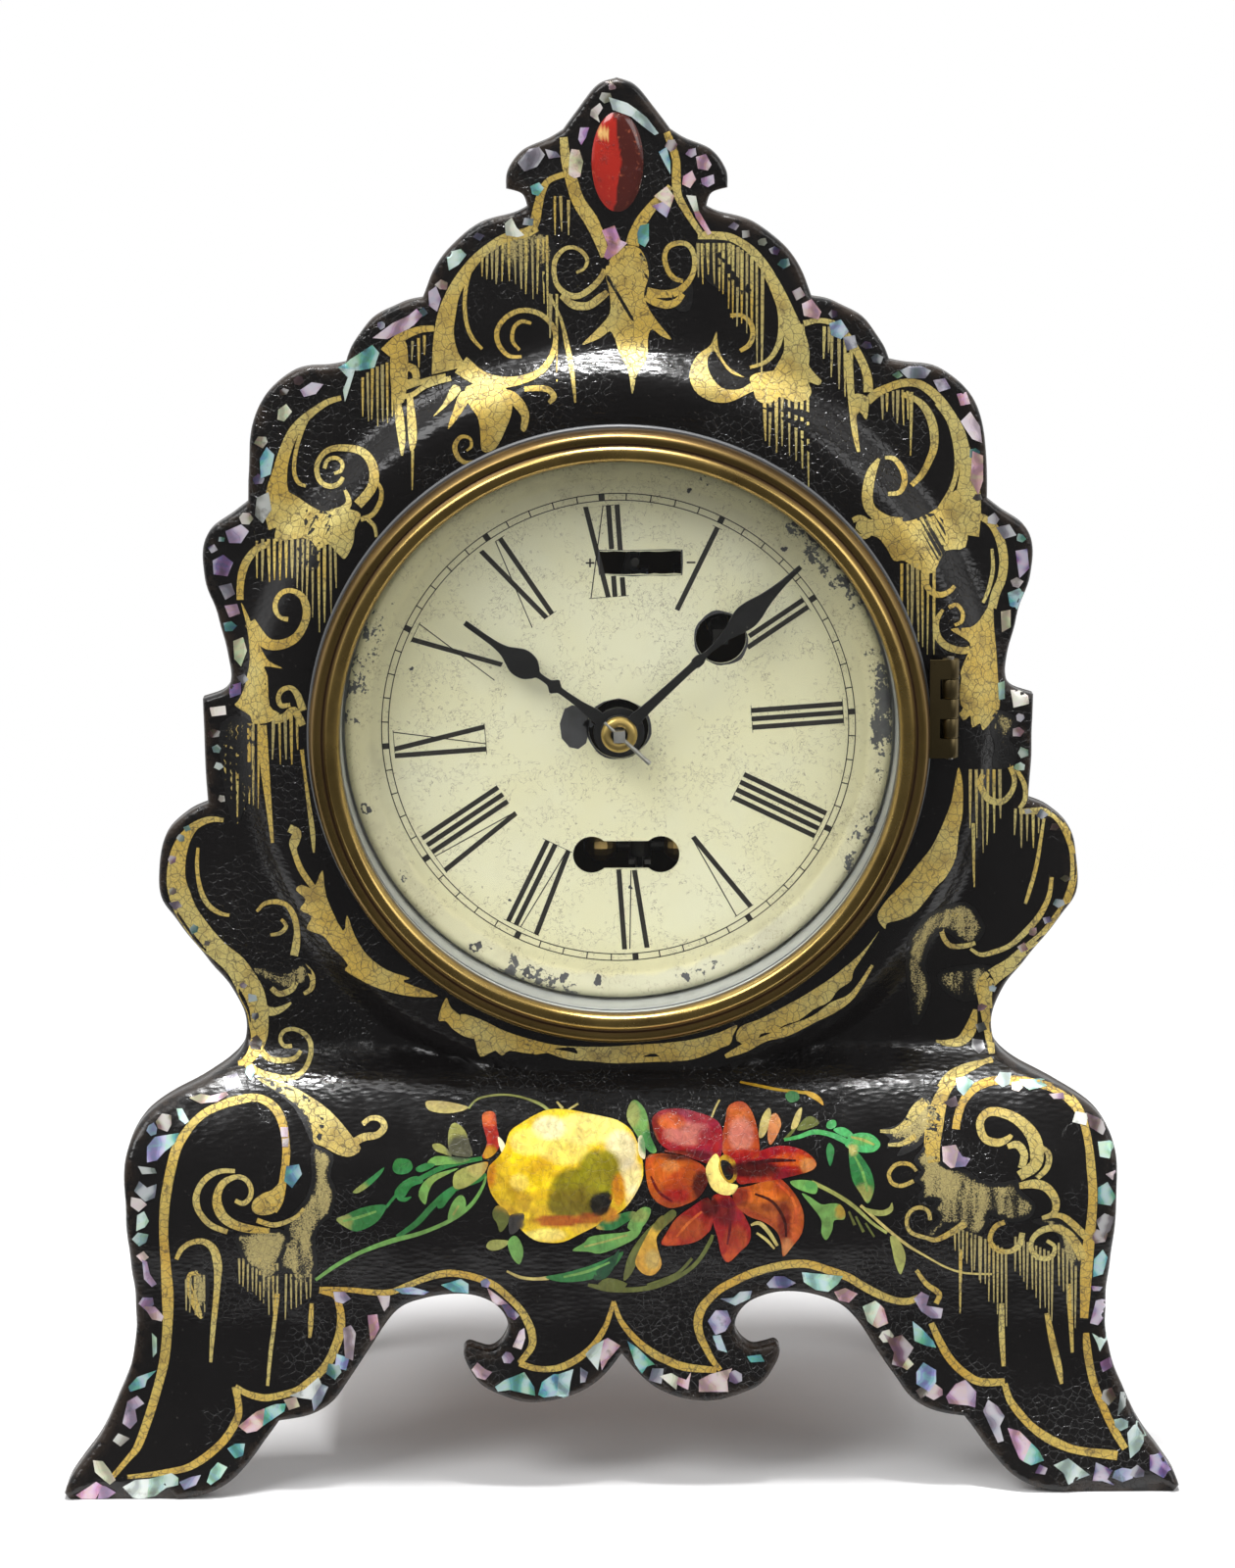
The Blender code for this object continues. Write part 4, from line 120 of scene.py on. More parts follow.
@dataclass(frozen=True)
class Relief:
    """The front's moulded surface, as a distance ahead of its flat plane."""

    sizes: ClockSizes = SIZES
    fillet: float = 0.0012
    unevenness: float = 0.00007

    def base(self, z: np.ndarray) -> np.ndarray:
        """Height of the swelling base.

        Args:
            z: Heights above the floor.

        Returns:
            Distances ahead of the flat plane.
        """
        heights = np.array([p[0] for p in self.sizes.base][::-1])
        forward = np.array([p[1] for p in self.sizes.base][::-1])
        fine = np.linspace(0.0, 0.0960, 385)
        raw = np.interp(fine, heights, forward, right=0.0)
        kernel = np.exp(-0.5 * (np.arange(-12, 13) / 5.0) ** 2)
        padded = np.concatenate([raw[0] + (raw[0] - raw[1:13][::-1]), raw, raw[-1:].repeat(12)])
        smooth = np.convolve(padded, kernel / kernel.sum(), "valid")
        return np.interp(z, fine, smooth)

    def boss(self, x: np.ndarray, z: np.ndarray) -> np.ndarray:
        """Height of the round boss that carries the bezel.

        Args:
            x: Places across.
            z: Heights above the floor.

        Returns:
            Distances ahead of the flat plane.
        """
        s = self.sizes
        radius = np.hypot(x, z - s.dial_z)
        share = np.clip((radius - s.boss_flat) / (s.boss_foot - s.boss_flat), 0.0, 1.0)
        return s.boss_rise * np.interp(
            share, (0.0, 0.12, 0.25, 0.38, 0.5, 0.62, 0.75, 0.88, 1.0),
            (1.0, 0.975, 0.895, 0.74, 0.52, 0.28, 0.11, 0.025, 0.0),
        )

    def ahead(self, x: np.ndarray, z: np.ndarray) -> np.ndarray:
        """Height of the whole front, with a soft fillet where boss and base meet.

        Args:
            x: Places across.
            z: Heights above the floor.

        Returns:
            Distances ahead of the flat plane.
        """
        one, two = self.base(z), self.boss(x, z)
        blend = np.maximum(self.fillet - np.abs(one - two), 0.0) / self.fillet
        both = np.where((one > 0) & (two > 0), 1.0, 0.0)
        return np.maximum(one, two) + both * blend * blend * self.fillet * 0.25

    def wave(self, x: np.ndarray, z: np.ndarray) -> np.ndarray:
        """Slow unevenness of the hand-pressed board.

        Args:
            x: Places across.
            z: Heights above the floor.

        Returns:
            Small distances to add ahead.
        """
        k = 2 * math.pi
        return self.unevenness * (
            np.sin(k * (x / 0.023 + 0.35 * np.sin(k * z / 0.041)))
            + np.sin(k * (z / 0.019 + 0.45 * np.sin(k * x / 0.033) + 0.2))
            + 0.7 * np.sin(k * (x / 0.0095 + z / 0.0121))
        )

    def y(self, x: np.ndarray, z: np.ndarray) -> np.ndarray:
        """World Y of the lacquered surface.

        Args:
            x: Places across.
            z: Heights above the floor.

        Returns:
            World Y values.
        """
        return self.sizes.front_y - self.ahead(x, z) - self.wave(x, z)


RELIEF = Relief()


@dataclass(frozen=True)
class Sight:
    """The photograph's line of sight: where each of its pixels meets the clock."""

    place: tuple[float, float, float] = (-0.0146, -1.028, 0.3282)
    yaw: float = math.radians(0.82)
    pitch: float = math.radians(10.32)
    roll: float = math.radians(-0.17)
    focal: float = 4997.0
    width: int = 1260
    height: int = 1600
    sensor: float = 36.0
    rounds: int = 26

    def axes(self) -> tuple[np.ndarray, np.ndarray, np.ndarray]:
        """Right, up and forward directions of the camera.

        Returns:
            Three unit vectors.
        """
        sy, cy = math.sin(self.yaw), math.cos(self.yaw)
        sp, cp = math.sin(self.pitch), math.cos(self.pitch)
        forward = np.array([sy * cp, cy * cp, -sp])
        right = np.array([cy, -sy, 0.0])
        up = np.cross(right, forward)
        cr, sr = math.cos(self.roll), math.sin(self.roll)
        return cr * right + sr * up, cr * up - sr * right, forward

    def cast(self, pixels: Sequence[Point], surface: Surface) -> np.ndarray:
        """Carry pixels on to a surface.

        Args:
            pixels: Places in the photograph.
            surface: Gives world Y from X and Z.

        Returns:
            One row of world X, Y, Z for each pixel.
        """
        right, up, forward = self.axes()
        spots = np.asarray(pixels, float).reshape(-1, 2)
        across = (spots[:, 0] - self.width / 2) / self.focal
        rise = (self.height / 2 - spots[:, 1]) / self.focal
        rays = forward + across[:, None] * right + rise[:, None] * up
        origin = np.array(self.place)
        y = np.full(len(spots), SIZES.front_y)
        for _ in range(self.rounds):
            reach = (y - origin[1]) / rays[:, 1]
            hit = origin + reach[:, None] * rays
            y = 0.5 * y + 0.5 * surface(hit[:, 0], hit[:, 2])
        return origin + ((y - origin[1]) / rays[:, 1])[:, None] * rays

    def project(self, spots: Sequence[Point], surface: Surface) -> np.ndarray:
        """Pixels at which places on a surface are seen.

        Args:
            spots: World X and Z of the places.
            surface: Gives world Y from X and Z.

        Returns:
            One row of pixel X and pixel Y for each place.
        """
        right, up, forward = self.axes()
        x, z = np.array(spots).T
        world = np.column_stack([x, surface(x, z), z]) - np.array(self.place)
        depth = world @ forward
        return np.column_stack([self.width / 2 + self.focal * (world @ right) / depth,
                                self.height / 2 - self.focal * (world @ up) / depth])

    def make_camera(self) -> bpy.types.Object:
        """Add the camera that looks as the photograph does.

        Returns:
            The camera.
        """
        data = bpy.data.cameras.new("photo_camera")
        data.sensor_width = self.sensor
        data.lens = self.focal * self.sensor / self.height
        data.clip_start = 0.05
        data.clip_end = 20.0
        camera = bpy.data.objects.new("photo_camera", data)
        right, up, forward = self.axes()
        turn = Matrix((tuple(right), tuple(up), tuple(-forward))).transposed()
        camera.matrix_world = Matrix.Translation(self.place) @ turn.to_4x4()
        bpy.context.scene.collection.objects.link(camera)
        bpy.context.scene.camera = camera
        return camera


SIGHT = Sight()


def smooth_run(points: Sequence[Sequence[float]], steps: int) -> list[tuple[float, ...]]:
    """Points of a smooth curve through the given ones.

    Args:
        points: Points of any number of values.
        steps: How many pieces each stretch gets.

    Returns:
        The points of the curve, the last one too.
    """
    found: list[tuple[float, ...]] = []
    last = len(points) - 1
    for i in range(last):
        before, here = points[max(i - 1, 0)], points[i]
        there, after = points[i + 1], points[min(i + 2, last)]
        for step in range(steps):
            t = step / steps
            found.append(tuple(
                0.5 * (2 * b + (c - a) * t + (2 * a - 5 * b + 4 * c - d) * t * t
                       + (3 * b - a - 3 * c + d) * t * t * t)
                for a, b, c, d in zip(before, here, there, after)
            ))
    found.append(tuple(points[-1]))
    return found


def inside(spots: np.ndarray, loop: np.ndarray) -> np.ndarray:
    """Which spots lie inside a closed loop.

    Args:
        spots: Rows of two values.
        loop: Corners of the loop.

    Returns:
        One truth value for each spot.
    """
    result = np.zeros(len(spots), bool)
    x, y = spots[:, 0], spots[:, 1]
    for (x1, y1), (x2, y2) in zip(loop, np.roll(loop, -1, axis=0)):
        crosses = (y1 > y) != (y2 > y)
        if y1 != y2:
            result ^= crosses & (x < (x2 - x1) * (y - y1) / (y2 - y1) + x1)
    return result


def edge_distance(spots: np.ndarray, loop: np.ndarray) -> np.ndarray:
    """Distance of spots from a closed loop.

    Args:
        spots: Rows of two values.
        loop: Corners of the loop.

    Returns:
        One distance for each spot.
    """
    best = np.full(len(spots), 1e9)
    for start, end in zip(loop, np.roll(loop, -1, axis=0)):
        along = end - start
        length = float(along @ along)
        share = np.clip((spots - start) @ along / max(length, 1e-18), 0.0, 1.0)
        best = np.minimum(best, np.linalg.norm(spots - start - share[:, None] * along, axis=1))
    return best


def filled(loop: np.ndarray, extra: np.ndarray,
           holes: Sequence[np.ndarray] = ()) -> tuple[np.ndarray, list[tuple[int, ...]]]:
    """Triangles that fill a loop, with extra points inside it and holes left out.

    Args:
        loop: Corners of the outer loop.
        extra: Points to use inside.
        holes: Loops to leave open.

    Returns:
        The points and the triangles.
    """
    rows, edges = [], []
    for ring in (loop, *holes):
        start = len(rows)
        rows += [tuple(p) for p in ring]
        edges += [(start + i, start + (i + 1) % len(ring)) for i in range(len(ring))]
    rows += [tuple(p) for p in extra]
    made = delaunay_2d_cdt([Vector(p) for p in rows], edges, [], 0, 1e-9)
    spots = np.array([tuple(p) for p in made[0]])
    faces = [tuple(f) for f in made[2]]
    centres = np.array([spots[list(f)].mean(axis=0) for f in faces])
    keep = inside(centres, loop)
    for hole in holes:
        keep &= ~inside(centres, hole)
    return spots, [f for f, wanted in zip(faces, keep) if wanted]


def border(faces: Sequence[Sequence[int]]) -> list[tuple[int, int]]:
    """Edges that only one face has, in that face's direction.

    Args:
        faces: Faces as numbers of their corners.

    Returns:
        Start and end of each edge.
    """
    sides = [(a, b) for f in faces for a, b in zip(f, (*f[1:], f[0]))]
    seen = Counter((min(a, b), max(a, b)) for a, b in sides)
    return [(a, b) for a, b in sides if seen[(min(a, b), max(a, b))] == 1]


def inward_of(loop: np.ndarray) -> np.ndarray:
    """Unit directions into a loop that runs clockwise, one for each corner."""
    along = np.roll(loop, -1, axis=0) - np.roll(loop, 1, axis=0)
    return np.column_stack([along[:, 1], -along[:, 0]]) / np.linalg.norm(along, axis=1)[:, None]


def make_piece(name: str, points: Iterable[Sequence[float]], faces: Sequence[Sequence[int]],
               material: bpy.types.Material | None = None, sharp: float = 40.0) -> bpy.types.Object:
    """Put a new mesh into the scene.

    Args:
        name: Name of the piece.
        points: World places of its corners.
        faces: Its faces.
        material: Its finish.
        sharp: Angle in degrees above which an edge stays sharp.

    Returns:
        The object.
    """
    mesh = bpy.data.meshes.new(name)
    mesh.from_pydata([tuple(map(float, p)) for p in points], [], [tuple(map(int, f)) for f in faces])
    mesh.validate()
    mesh.shade_smooth()
    mesh.set_sharp_from_angle(angle=math.radians(sharp))
    item = bpy.data.objects.new(name, mesh)
    bpy.context.scene.collection.objects.link(item)
    if material is not None:
        mesh.materials.append(material)
    return item


def settle(item: bpy.types.Object, sharp: float, weld: bool = False, drop_loose: bool = False) -> None:
    """Turn a piece's faces outward and mark its sharp edges again.

    Args:
        item: The piece.
        sharp: Angle in degrees above which an edge stays sharp.
        weld: Whether corners at one place are joined.
        drop_loose: Whether corners without a face are dropped.
    """
    work = bmesh.new()
    work.from_mesh(item.data)
    if weld:
        bmesh.ops.remove_doubles(work, verts=work.verts, dist=1e-7)
    if drop_loose:
        bmesh.ops.delete(work, geom=[v for v in work.verts if not v.link_faces], context="VERTS")
    bmesh.ops.recalc_face_normals(work, faces=work.faces)
    work.to_mesh(item.data)
    work.free()
    item.data.set_sharp_from_angle(angle=math.radians(sharp))


def give_values(item: bpy.types.Object, name: str, values: Sequence[float]) -> None:
    """Store a value for each corner of a piece.

    Args:
        item: The piece.
        name: Name of the values.
        values: One number a corner.
    """
    layer = item.data.attributes.new(name, "FLOAT", "POINT")
    layer.data.foreach_set("value", np.asarray(values, np.float32))


def give_colours(item: bpy.types.Object, name: str, colours: Sequence[Sequence[float]]) -> None:
    """Store a colour for each corner of a piece.

    Args:
        item: The piece.
        name: Name of the colours.
        colours: One colour of three values a corner.
    """
    layer = item.data.attributes.new(name, "FLOAT_COLOR", "POINT")
    rows = np.ones((len(colours), 4), np.float32)
    rows[:, :3] = np.asarray(colours, np.float32)
    layer.data.foreach_set("color", rows.ravel())


def seat(item: bpy.types.Object, body: Body, coat: Coat, *nodes: str) -> bpy.types.Object:
    """Let a piece ride on its body and stand for solids.

    Args:
        item: The piece.
        body: The body it moves with.
        coat: The slot of its finish; not used.
        nodes: The solids it stands for.

    Returns:
        The piece.
    """
    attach(item, body.value)
    if nodes:
        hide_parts(*nodes)
    LOG.info("%s: %d faces, rides on %s", item.name, len(item.data.polygons), body.value)
    return item


def turned(name: str, profile: Sequence[tuple[float, float, float]], steps: int, material: bpy.types.Material,
           closed: bool = True, sharp: float = 40.0) -> bpy.types.Object:
    """A piece turned about the dial's centre line.

    Args:
        name: Name of the piece.
        profile: Radius, distance ahead and a value to store, from point to point.
        steps: How many sides the turning has.
        material: Its finish.
        closed: Whether the profile is a ring of points.
        sharp: Angle above which an edge stays sharp.

    Returns:
        The object, with the values stored as turned.
    """
    points, faces, values = [], [], []
    count = len(profile)
    for step in range(steps):
        angle = math.tau * step / steps
        for radius, ahead, value in profile:
            points.append((
                radius * math.sin(angle), SIZES.front_y - ahead, SIZES.dial_z + radius * math.cos(angle),
            ))
            values.append(value)
    for step in range(steps):
        here, there = step * count, (step + 1) % steps * count
        for i in range(count if closed else count - 1):
            j = (i + 1) % count
            faces.append((here + i, here + j, there + j, there + i))
    item = make_piece(name, points, faces, material, sharp)
    give_values(item, "turned", values)
    settle(item, sharp, weld=True)
    return item


def plate(name: str, loops: Sequence[Sequence[Point]], y_front: float, thickness: float, round_over: float,
          material: bpy.types.Material) -> bpy.types.Object:
    """A flat piece that faces the front, with softened edges.

    Args:
        name: Name of the piece.
        loops: Its outlines as world X and Z.
        y_front: World Y of its front face.
        thickness: How thick it is.
        round_over: Radius of its softened edges.
        material: Its finish.

    Returns:
        The object.
    """
    curve = bpy.data.curves.new(name, "CURVE")
    curve.dimensions = "2D"
    curve.fill_mode = "BOTH"
    curve.extrude = thickness / 2 - round_over
    curve.bevel_depth = round_over
    curve.bevel_resolution = 2
    curve.offset = -round_over
    for loop in loops:
        spline = curve.splines.new("POLY")
        spline.points.add(len(loop) - 1)
        for spot, (u, v) in zip(spline.points, loop):
            spot.co = (u, v, 0.0, 1.0)
        spline.use_cyclic_u = True
    drawn = bpy.data.objects.new(name + "_drawn", curve)
    bpy.context.scene.collection.objects.link(drawn)
    bpy.context.view_layer.update()
    mesh = bpy.data.meshes.new_from_object(drawn.evaluated_get(bpy.context.evaluated_depsgraph_get()))
    bpy.data.objects.remove(drawn)
    bpy.data.curves.remove(curve)
    mesh.name = name
    mesh.transform(Matrix.Translation((0.0, y_front + thickness / 2, 0.0)) @ Matrix.Rotation(math.pi / 2, 4, "X"))
    mesh.materials.clear()
    mesh.materials.append(material)
    mesh.shade_smooth()
    mesh.set_sharp_from_angle(angle=math.radians(40))
    item = bpy.data.objects.new(name, mesh)
    bpy.context.scene.collection.objects.link(item)
    return item


class Bench:
    """Lays shader nodes in a tree and joins them."""

    def __init__(self, tree: bpy.types.NodeTree) -> None:
        """Take the tree to work in.

        Args:
            tree: A material's or group's node tree.
        """
        self.tree = tree

    def put(self, kind: str, inputs: dict | None = None, **settings: object) -> bpy.types.Node:
        """Add a node and feed its inputs.

        Args:
            kind: Node type without its common prefix.
            inputs: Values or sockets by input name or number.
            **settings: Properties of the node.

        Returns:
            The node.
        """
        node = self.tree.nodes.new("ShaderNode" + kind)
        for key, value in settings.items():
            setattr(node, key, value)
        for key, value in (inputs or {}).items():
            self.feed(node.inputs[key], value)
        return node

    def feed(self, socket: Socket, value: object) -> None:
        """Give an input its value, or join it to a socket.

        Args:
            socket: The input.
            value: A number, a colour of three values, or a socket.
        """
        if isinstance(value, Socket):
            self.tree.links.new(value, socket)
        elif isinstance(value, tuple) and len(value) == 3 and socket.type == "RGBA":
            socket.default_value = (*value, 1.0)
        else:
            socket.default_value = value

    def where(self, stretch: Colour = (1.0, 1.0, 1.0)) -> Socket:
        """Places in the piece's own metres, stretched along each axis.

        Args:
            stretch: Factor along each axis.

        Returns:
            The places.
        """
        place = self.put("TexCoord").outputs["Object"]
        if stretch == (1.0, 1.0, 1.0):
            return place
        return self.put("Mapping", {"Vector": place, "Scale": stretch}).outputs["Vector"]

    def sum(self, kind: str, a: object, b: object = 0.5, clamp: bool = False) -> Socket:
        """A Math node's result."""
        return self.put("Math", {0: a, 1: b}, operation=kind, use_clamp=clamp).outputs[0]

    def plus(self, a: object, b: object) -> Socket:
        """One value added to another."""
        return self.sum("ADD", a, b)

    def minus(self, a: object, b: object) -> Socket:
        """One value less another."""
        return self.sum("SUBTRACT", a, b)

    def times(self, a: object, b: object) -> Socket:
        """One value times another."""
        return self.sum("MULTIPLY", a, b)

    def most(self, a: object, b: object) -> Socket:
        """The larger of two values."""
        return self.sum("MAXIMUM", a, b)

    def mix(self, share: object, a: object, b: object, kind: str = "MIX") -> Socket:
        """A blend of two colours.

        Args:
            share: How much of the second colour shows.
            a: The first colour.
            b: The second colour.
            kind: How they are blended.

        Returns:
            The colour.
        """
        node = self.put("Mix", data_type="RGBA", blend_type=kind, clamp_factor=True)
        for key, value in (("Factor_Float", share), ("A_Color", a), ("B_Color", b)):
            self.feed(next(s for s in node.inputs if s.identifier == key), value)
        return next(s for s in node.outputs if s.identifier == "Result_Color")

    def span(self, value: object, low: float, high: float, to_low: float = 0.0, to_high: float = 1.0) -> Socket:
        """A value carried smoothly from one span to another.

        Args:
            value: The value.
            low: Where the first span starts.
            high: Where it ends.
            to_low: Where the second span starts.
            to_high: Where it ends.

        Returns:
            The carried value.
        """
        return self.put(
            "MapRange", {"Value": value, "From Min": low, "From Max": high, "To Min": to_low, "To Max": to_high},
            interpolation_type="SMOOTHSTEP",
        ).outputs["Result"]

    def noise(self, scale: float, detail: float = 4.0, place: object = None, rough: float = 0.55,
              twist: float = 0.0) -> Socket:
        """Soft noise from 0 to 1.

        Args:
            scale: How fine it is.
            detail: How many finer layers it has.
            place: Where it lies, the piece's own places if not given.
            rough: How strong the finer layers are.
            twist: How far it is distorted.

        Returns:
            The noise.
        """
        return self.put("TexNoise", {
            "Vector": self.where() if place is None else place, "Scale": scale, "Detail": detail,
            "Roughness": rough, "Distortion": twist,
        }).outputs[0]

    def stored(self, name: str, colour: bool = False) -> Socket:
        """Values that a piece stores at its corners."""
        return self.put("Attribute", attribute_name=name).outputs["Color" if colour else "Fac"]

    def use(self, group: bpy.types.NodeTree, inputs: dict) -> bpy.types.Node:
        """Place a shared group with its own values."""
        return self.put("Group", inputs, node_tree=group)

    def show(self, share: Socket, one: Socket, two: Socket) -> None:
        """Let the surface show one shader or, by a share, another.

        Args:
            share: How much of the second shader shows.
            one: The first shader.
            two: The second shader.
        """
        both = self.put("MixShader", {0: share, 1: one, 2: two})
        out = next(n for n in self.tree.nodes if n.type == "OUTPUT_MATERIAL")
        self.tree.links.new(both.outputs["Shader"], out.inputs["Surface"])


class SharedGroups:
    """The shader effects that several finishes use, each built once."""

    def __init__(self) -> None:
        """Start with no groups."""
        self.made: dict[str, bpy.types.NodeTree] = {}

    def start(self, name: str, inputs: Sequence[tuple[str, str, object]],
              outputs: Sequence[str]) -> tuple[bpy.types.NodeTree, Bench, bpy.types.Node, bpy.types.Node]:
        """Begin a group with named sockets.

        Args:
            name: Name of the group.
            inputs: Name, kind and first value of each input.
            outputs: Names of its outputs, each a number.

        Returns:
            The tree, a bench in it, and its input and output nodes.
        """
        tree = bpy.data.node_groups.new(name, "ShaderNodeTree")
        for label, kind, value in inputs:
            socket = tree.interface.new_socket(name=label, in_out="INPUT", socket_type="NodeSocket" + kind)
            if value is not None:
                socket.default_value = value
        for label in outputs:
            tree.interface.new_socket(name=label, in_out="OUTPUT", socket_type="NodeSocketFloat")
        self.made[name] = tree
        return tree, Bench(tree), tree.nodes.new("NodeGroupInput"), tree.nodes.new("NodeGroupOutput")

    def crackle(self) -> bpy.types.NodeTree:
        """Age cracks: a net of thin lines, and a value for each cell.

        Returns:
            The group.
        """
        if "crackle" in self.made:
            return self.made["crackle"]
        tree, bench, given, told = self.start(
            "crackle",
            (("Vector", "Vector", None), ("Scale", "Float", 900.0), ("Width", "Float", 0.06), ("Warp", "Float", 0.4)),
            ("Line", "Cell"),
        )
        spot, scale = given.outputs["Vector"], given.outputs["Scale"]
        warp = bench.put("TexNoise", {"Vector": spot, "Scale": 700.0, "Detail": 2.0}).outputs["Color"]
        centred = bench.put("VectorMath", {0: warp, 1: (0.5, 0.5, 0.5)}, operation="SUBTRACT").outputs["Vector"]
        size = bench.sum("DIVIDE", given.outputs["Warp"], scale)
        shift = bench.put("VectorMath", {0: centred, "Scale": size}, operation="SCALE").outputs["Vector"]
        place = bench.put("VectorMath", {0: spot, 1: shift}, operation="ADD").outputs["Vector"]
        edges = bench.put("TexVoronoi", {"Vector": place, "Scale": scale}, feature="DISTANCE_TO_EDGE")
        edge = edges.outputs["Distance"]
        line = bench.sum("SUBTRACT", 1.0, bench.sum("DIVIDE", edge, given.outputs["Width"], clamp=True), clamp=True)
        cell = bench.put("TexVoronoi", {"Vector": place, "Scale": scale}, feature="F1").outputs["Color"]
        tree.links.new(line, told.inputs["Line"])
        tree.links.new(bench.put("SeparateColor", {"Color": cell}).outputs[0], told.inputs["Cell"])
        return tree

    def grain(self) -> bpy.types.NodeTree:
        """Leathery wrinkles of old lacquer, as a height.

        Returns:
            The group.
        """
        if "grain" in self.made:
            return self.made["grain"]
        tree, bench, given, told = self.start(
            "grain", (("Vector", "Vector", None), ("Scale", "Float", 700.0), ("Wrinkle", "Float", 0.6)), ("Height",),
        )
        spot, scale = given.outputs["Vector"], given.outputs["Scale"]
        stretched = bench.put("Mapping", {"Vector": spot, "Scale": (0.55, 1.0, 1.35)}).outputs["Vector"]
        cells = bench.put(
            "TexVoronoi", {"Vector": stretched, "Scale": scale, "Smoothness": 0.35}, feature="SMOOTH_F1",
        ).outputs["Distance"]
        soft = bench.put(
            "TexNoise", {"Vector": stretched, "Scale": scale, "Detail": 5.0, "Distortion": 0.6},
        ).outputs[0]
        ridged = bench.sum("ABSOLUTE", bench.minus(soft, 0.5))
        both = bench.plus(cells, bench.times(ridged, bench.times(given.outputs["Wrinkle"], 4.0)))
        tree.links.new(both, told.inputs["Height"])
        return tree

    def patches(self) -> bpy.types.NodeTree:
        """Irregular patches, such as stains, dust and worn places.

        Returns:
            The group.
        """
        if "patches" in self.made:
            return self.made["patches"]
        tree, bench, given, told = self.start(
            "patches",
            (("Vector", "Vector", None), ("Scale", "Float", 60.0), ("Amount", "Float", 0.5),
             ("Softness", "Float", 0.15)),
            ("Mask",),
        )
        soft = bench.put("TexNoise", {
            "Vector": given.outputs["Vector"], "Scale": given.outputs["Scale"], "Detail": 8.0, "Roughness": 0.62,
        }).outputs[0]
        low = bench.minus(1.0, given.outputs["Amount"])
        above = bench.sum("DIVIDE", bench.minus(soft, low), given.outputs["Softness"], clamp=True)
        tree.links.new(above, told.inputs["Mask"])
        return tree

    def brushed(self) -> bpy.types.NodeTree:
        """Fine turning and polishing marks, as a height and a tone.

        Returns:
            The group.
        """
        if "brushed" in self.made:
            return self.made["brushed"]
        tree, bench, given, told = self.start(
            "brushed", (("Vector", "Vector", None), ("Scale", "Float", 400.0), ("Stretch", "Vector", (1.0, 12.0, 1.0))),
            ("Height", "Tone"),
        )
        spot, scale = given.outputs["Vector"], given.outputs["Scale"]
        drawn = bench.put("VectorMath", {0: spot, 1: given.outputs["Stretch"]}, operation="MULTIPLY").outputs["Vector"]
        fine = bench.put("TexNoise", {"Vector": drawn, "Scale": scale, "Detail": 6.0, "Roughness": 0.7}).outputs[0]
        slow = bench.put("TexNoise", {"Vector": spot, "Scale": 45.0, "Detail": 6.0, "Roughness": 0.6}).outputs[0]
        tree.links.new(fine, told.inputs["Height"])
        tree.links.new(slow, told.inputs["Tone"])
        return tree


GROUPS = SharedGroups()


def patch_mask(bench: Bench, place: Socket, scale: float, amount: float, softness: float) -> Socket:
    """Irregular patches laid in a finish.

    Args:
        bench: The bench of its tree.
        place: Where the patches lie.
        scale: How many there are to a metre, roughly.
        amount: How much they cover.
        softness: How soft their edges are.

    Returns:
        The mask.
    """
    values = {"Vector": place, "Scale": scale, "Amount": amount, "Softness": softness}
    return bench.use(GROUPS.patches(), values).outputs["Mask"]


def crack_lines(bench: Bench, place: Socket, scale: float, width: float, warp: float) -> Socket:
    """A net of age cracks laid in a finish.

    Args:
        bench: The bench of its tree.
        place: Where the cracks lie.
        scale: How many cells there are to a metre, roughly.
        width: Width of a crack, as a share of a cell.
        warp: How far the cracks stray from straight.

    Returns:
        The mask of the lines.
    """
    values = {"Vector": place, "Scale": scale, "Width": width, "Warp": warp}
    return bench.use(GROUPS.crackle(), values).outputs["Line"]


def start_finish(name: str) -> tuple[bpy.types.Material, Bench, bpy.types.Node]:
    """Begin a finish: a material with its bench and its Principled shader.

    Args:
        name: Name of the material.

    Returns:
        The material, the bench and the shader.
    """
    material = bpy.data.materials.new(name)
    material.use_nodes = True
    return material, Bench(material.node_tree), material.node_tree.nodes["Principled BSDF"]


def dress(bench: Bench, shader: bpy.types.Node, **inputs: object) -> None:
    """Feed a shader's inputs by name.

    Args:
        bench: The bench of its tree.
        shader: The Principled shader.
        **inputs: Values or sockets; an underscore stands for a space.
    """
    for key, value in inputs.items():
        bench.feed(shader.inputs[key.replace("_", " ")], value)


def bumped(bench: Bench, height: Socket, depth: float) -> Socket:
    """A normal from a height.

    Args:
        bench: The bench of its tree.
        height: Height from 0 to 1.
        depth: Real depth of a height of 1, in metres.

    Returns:
        The normal.
    """
    return bench.put("Bump", {"Height": height, "Distance": depth, "Strength": 1.0}).outputs["Normal"]


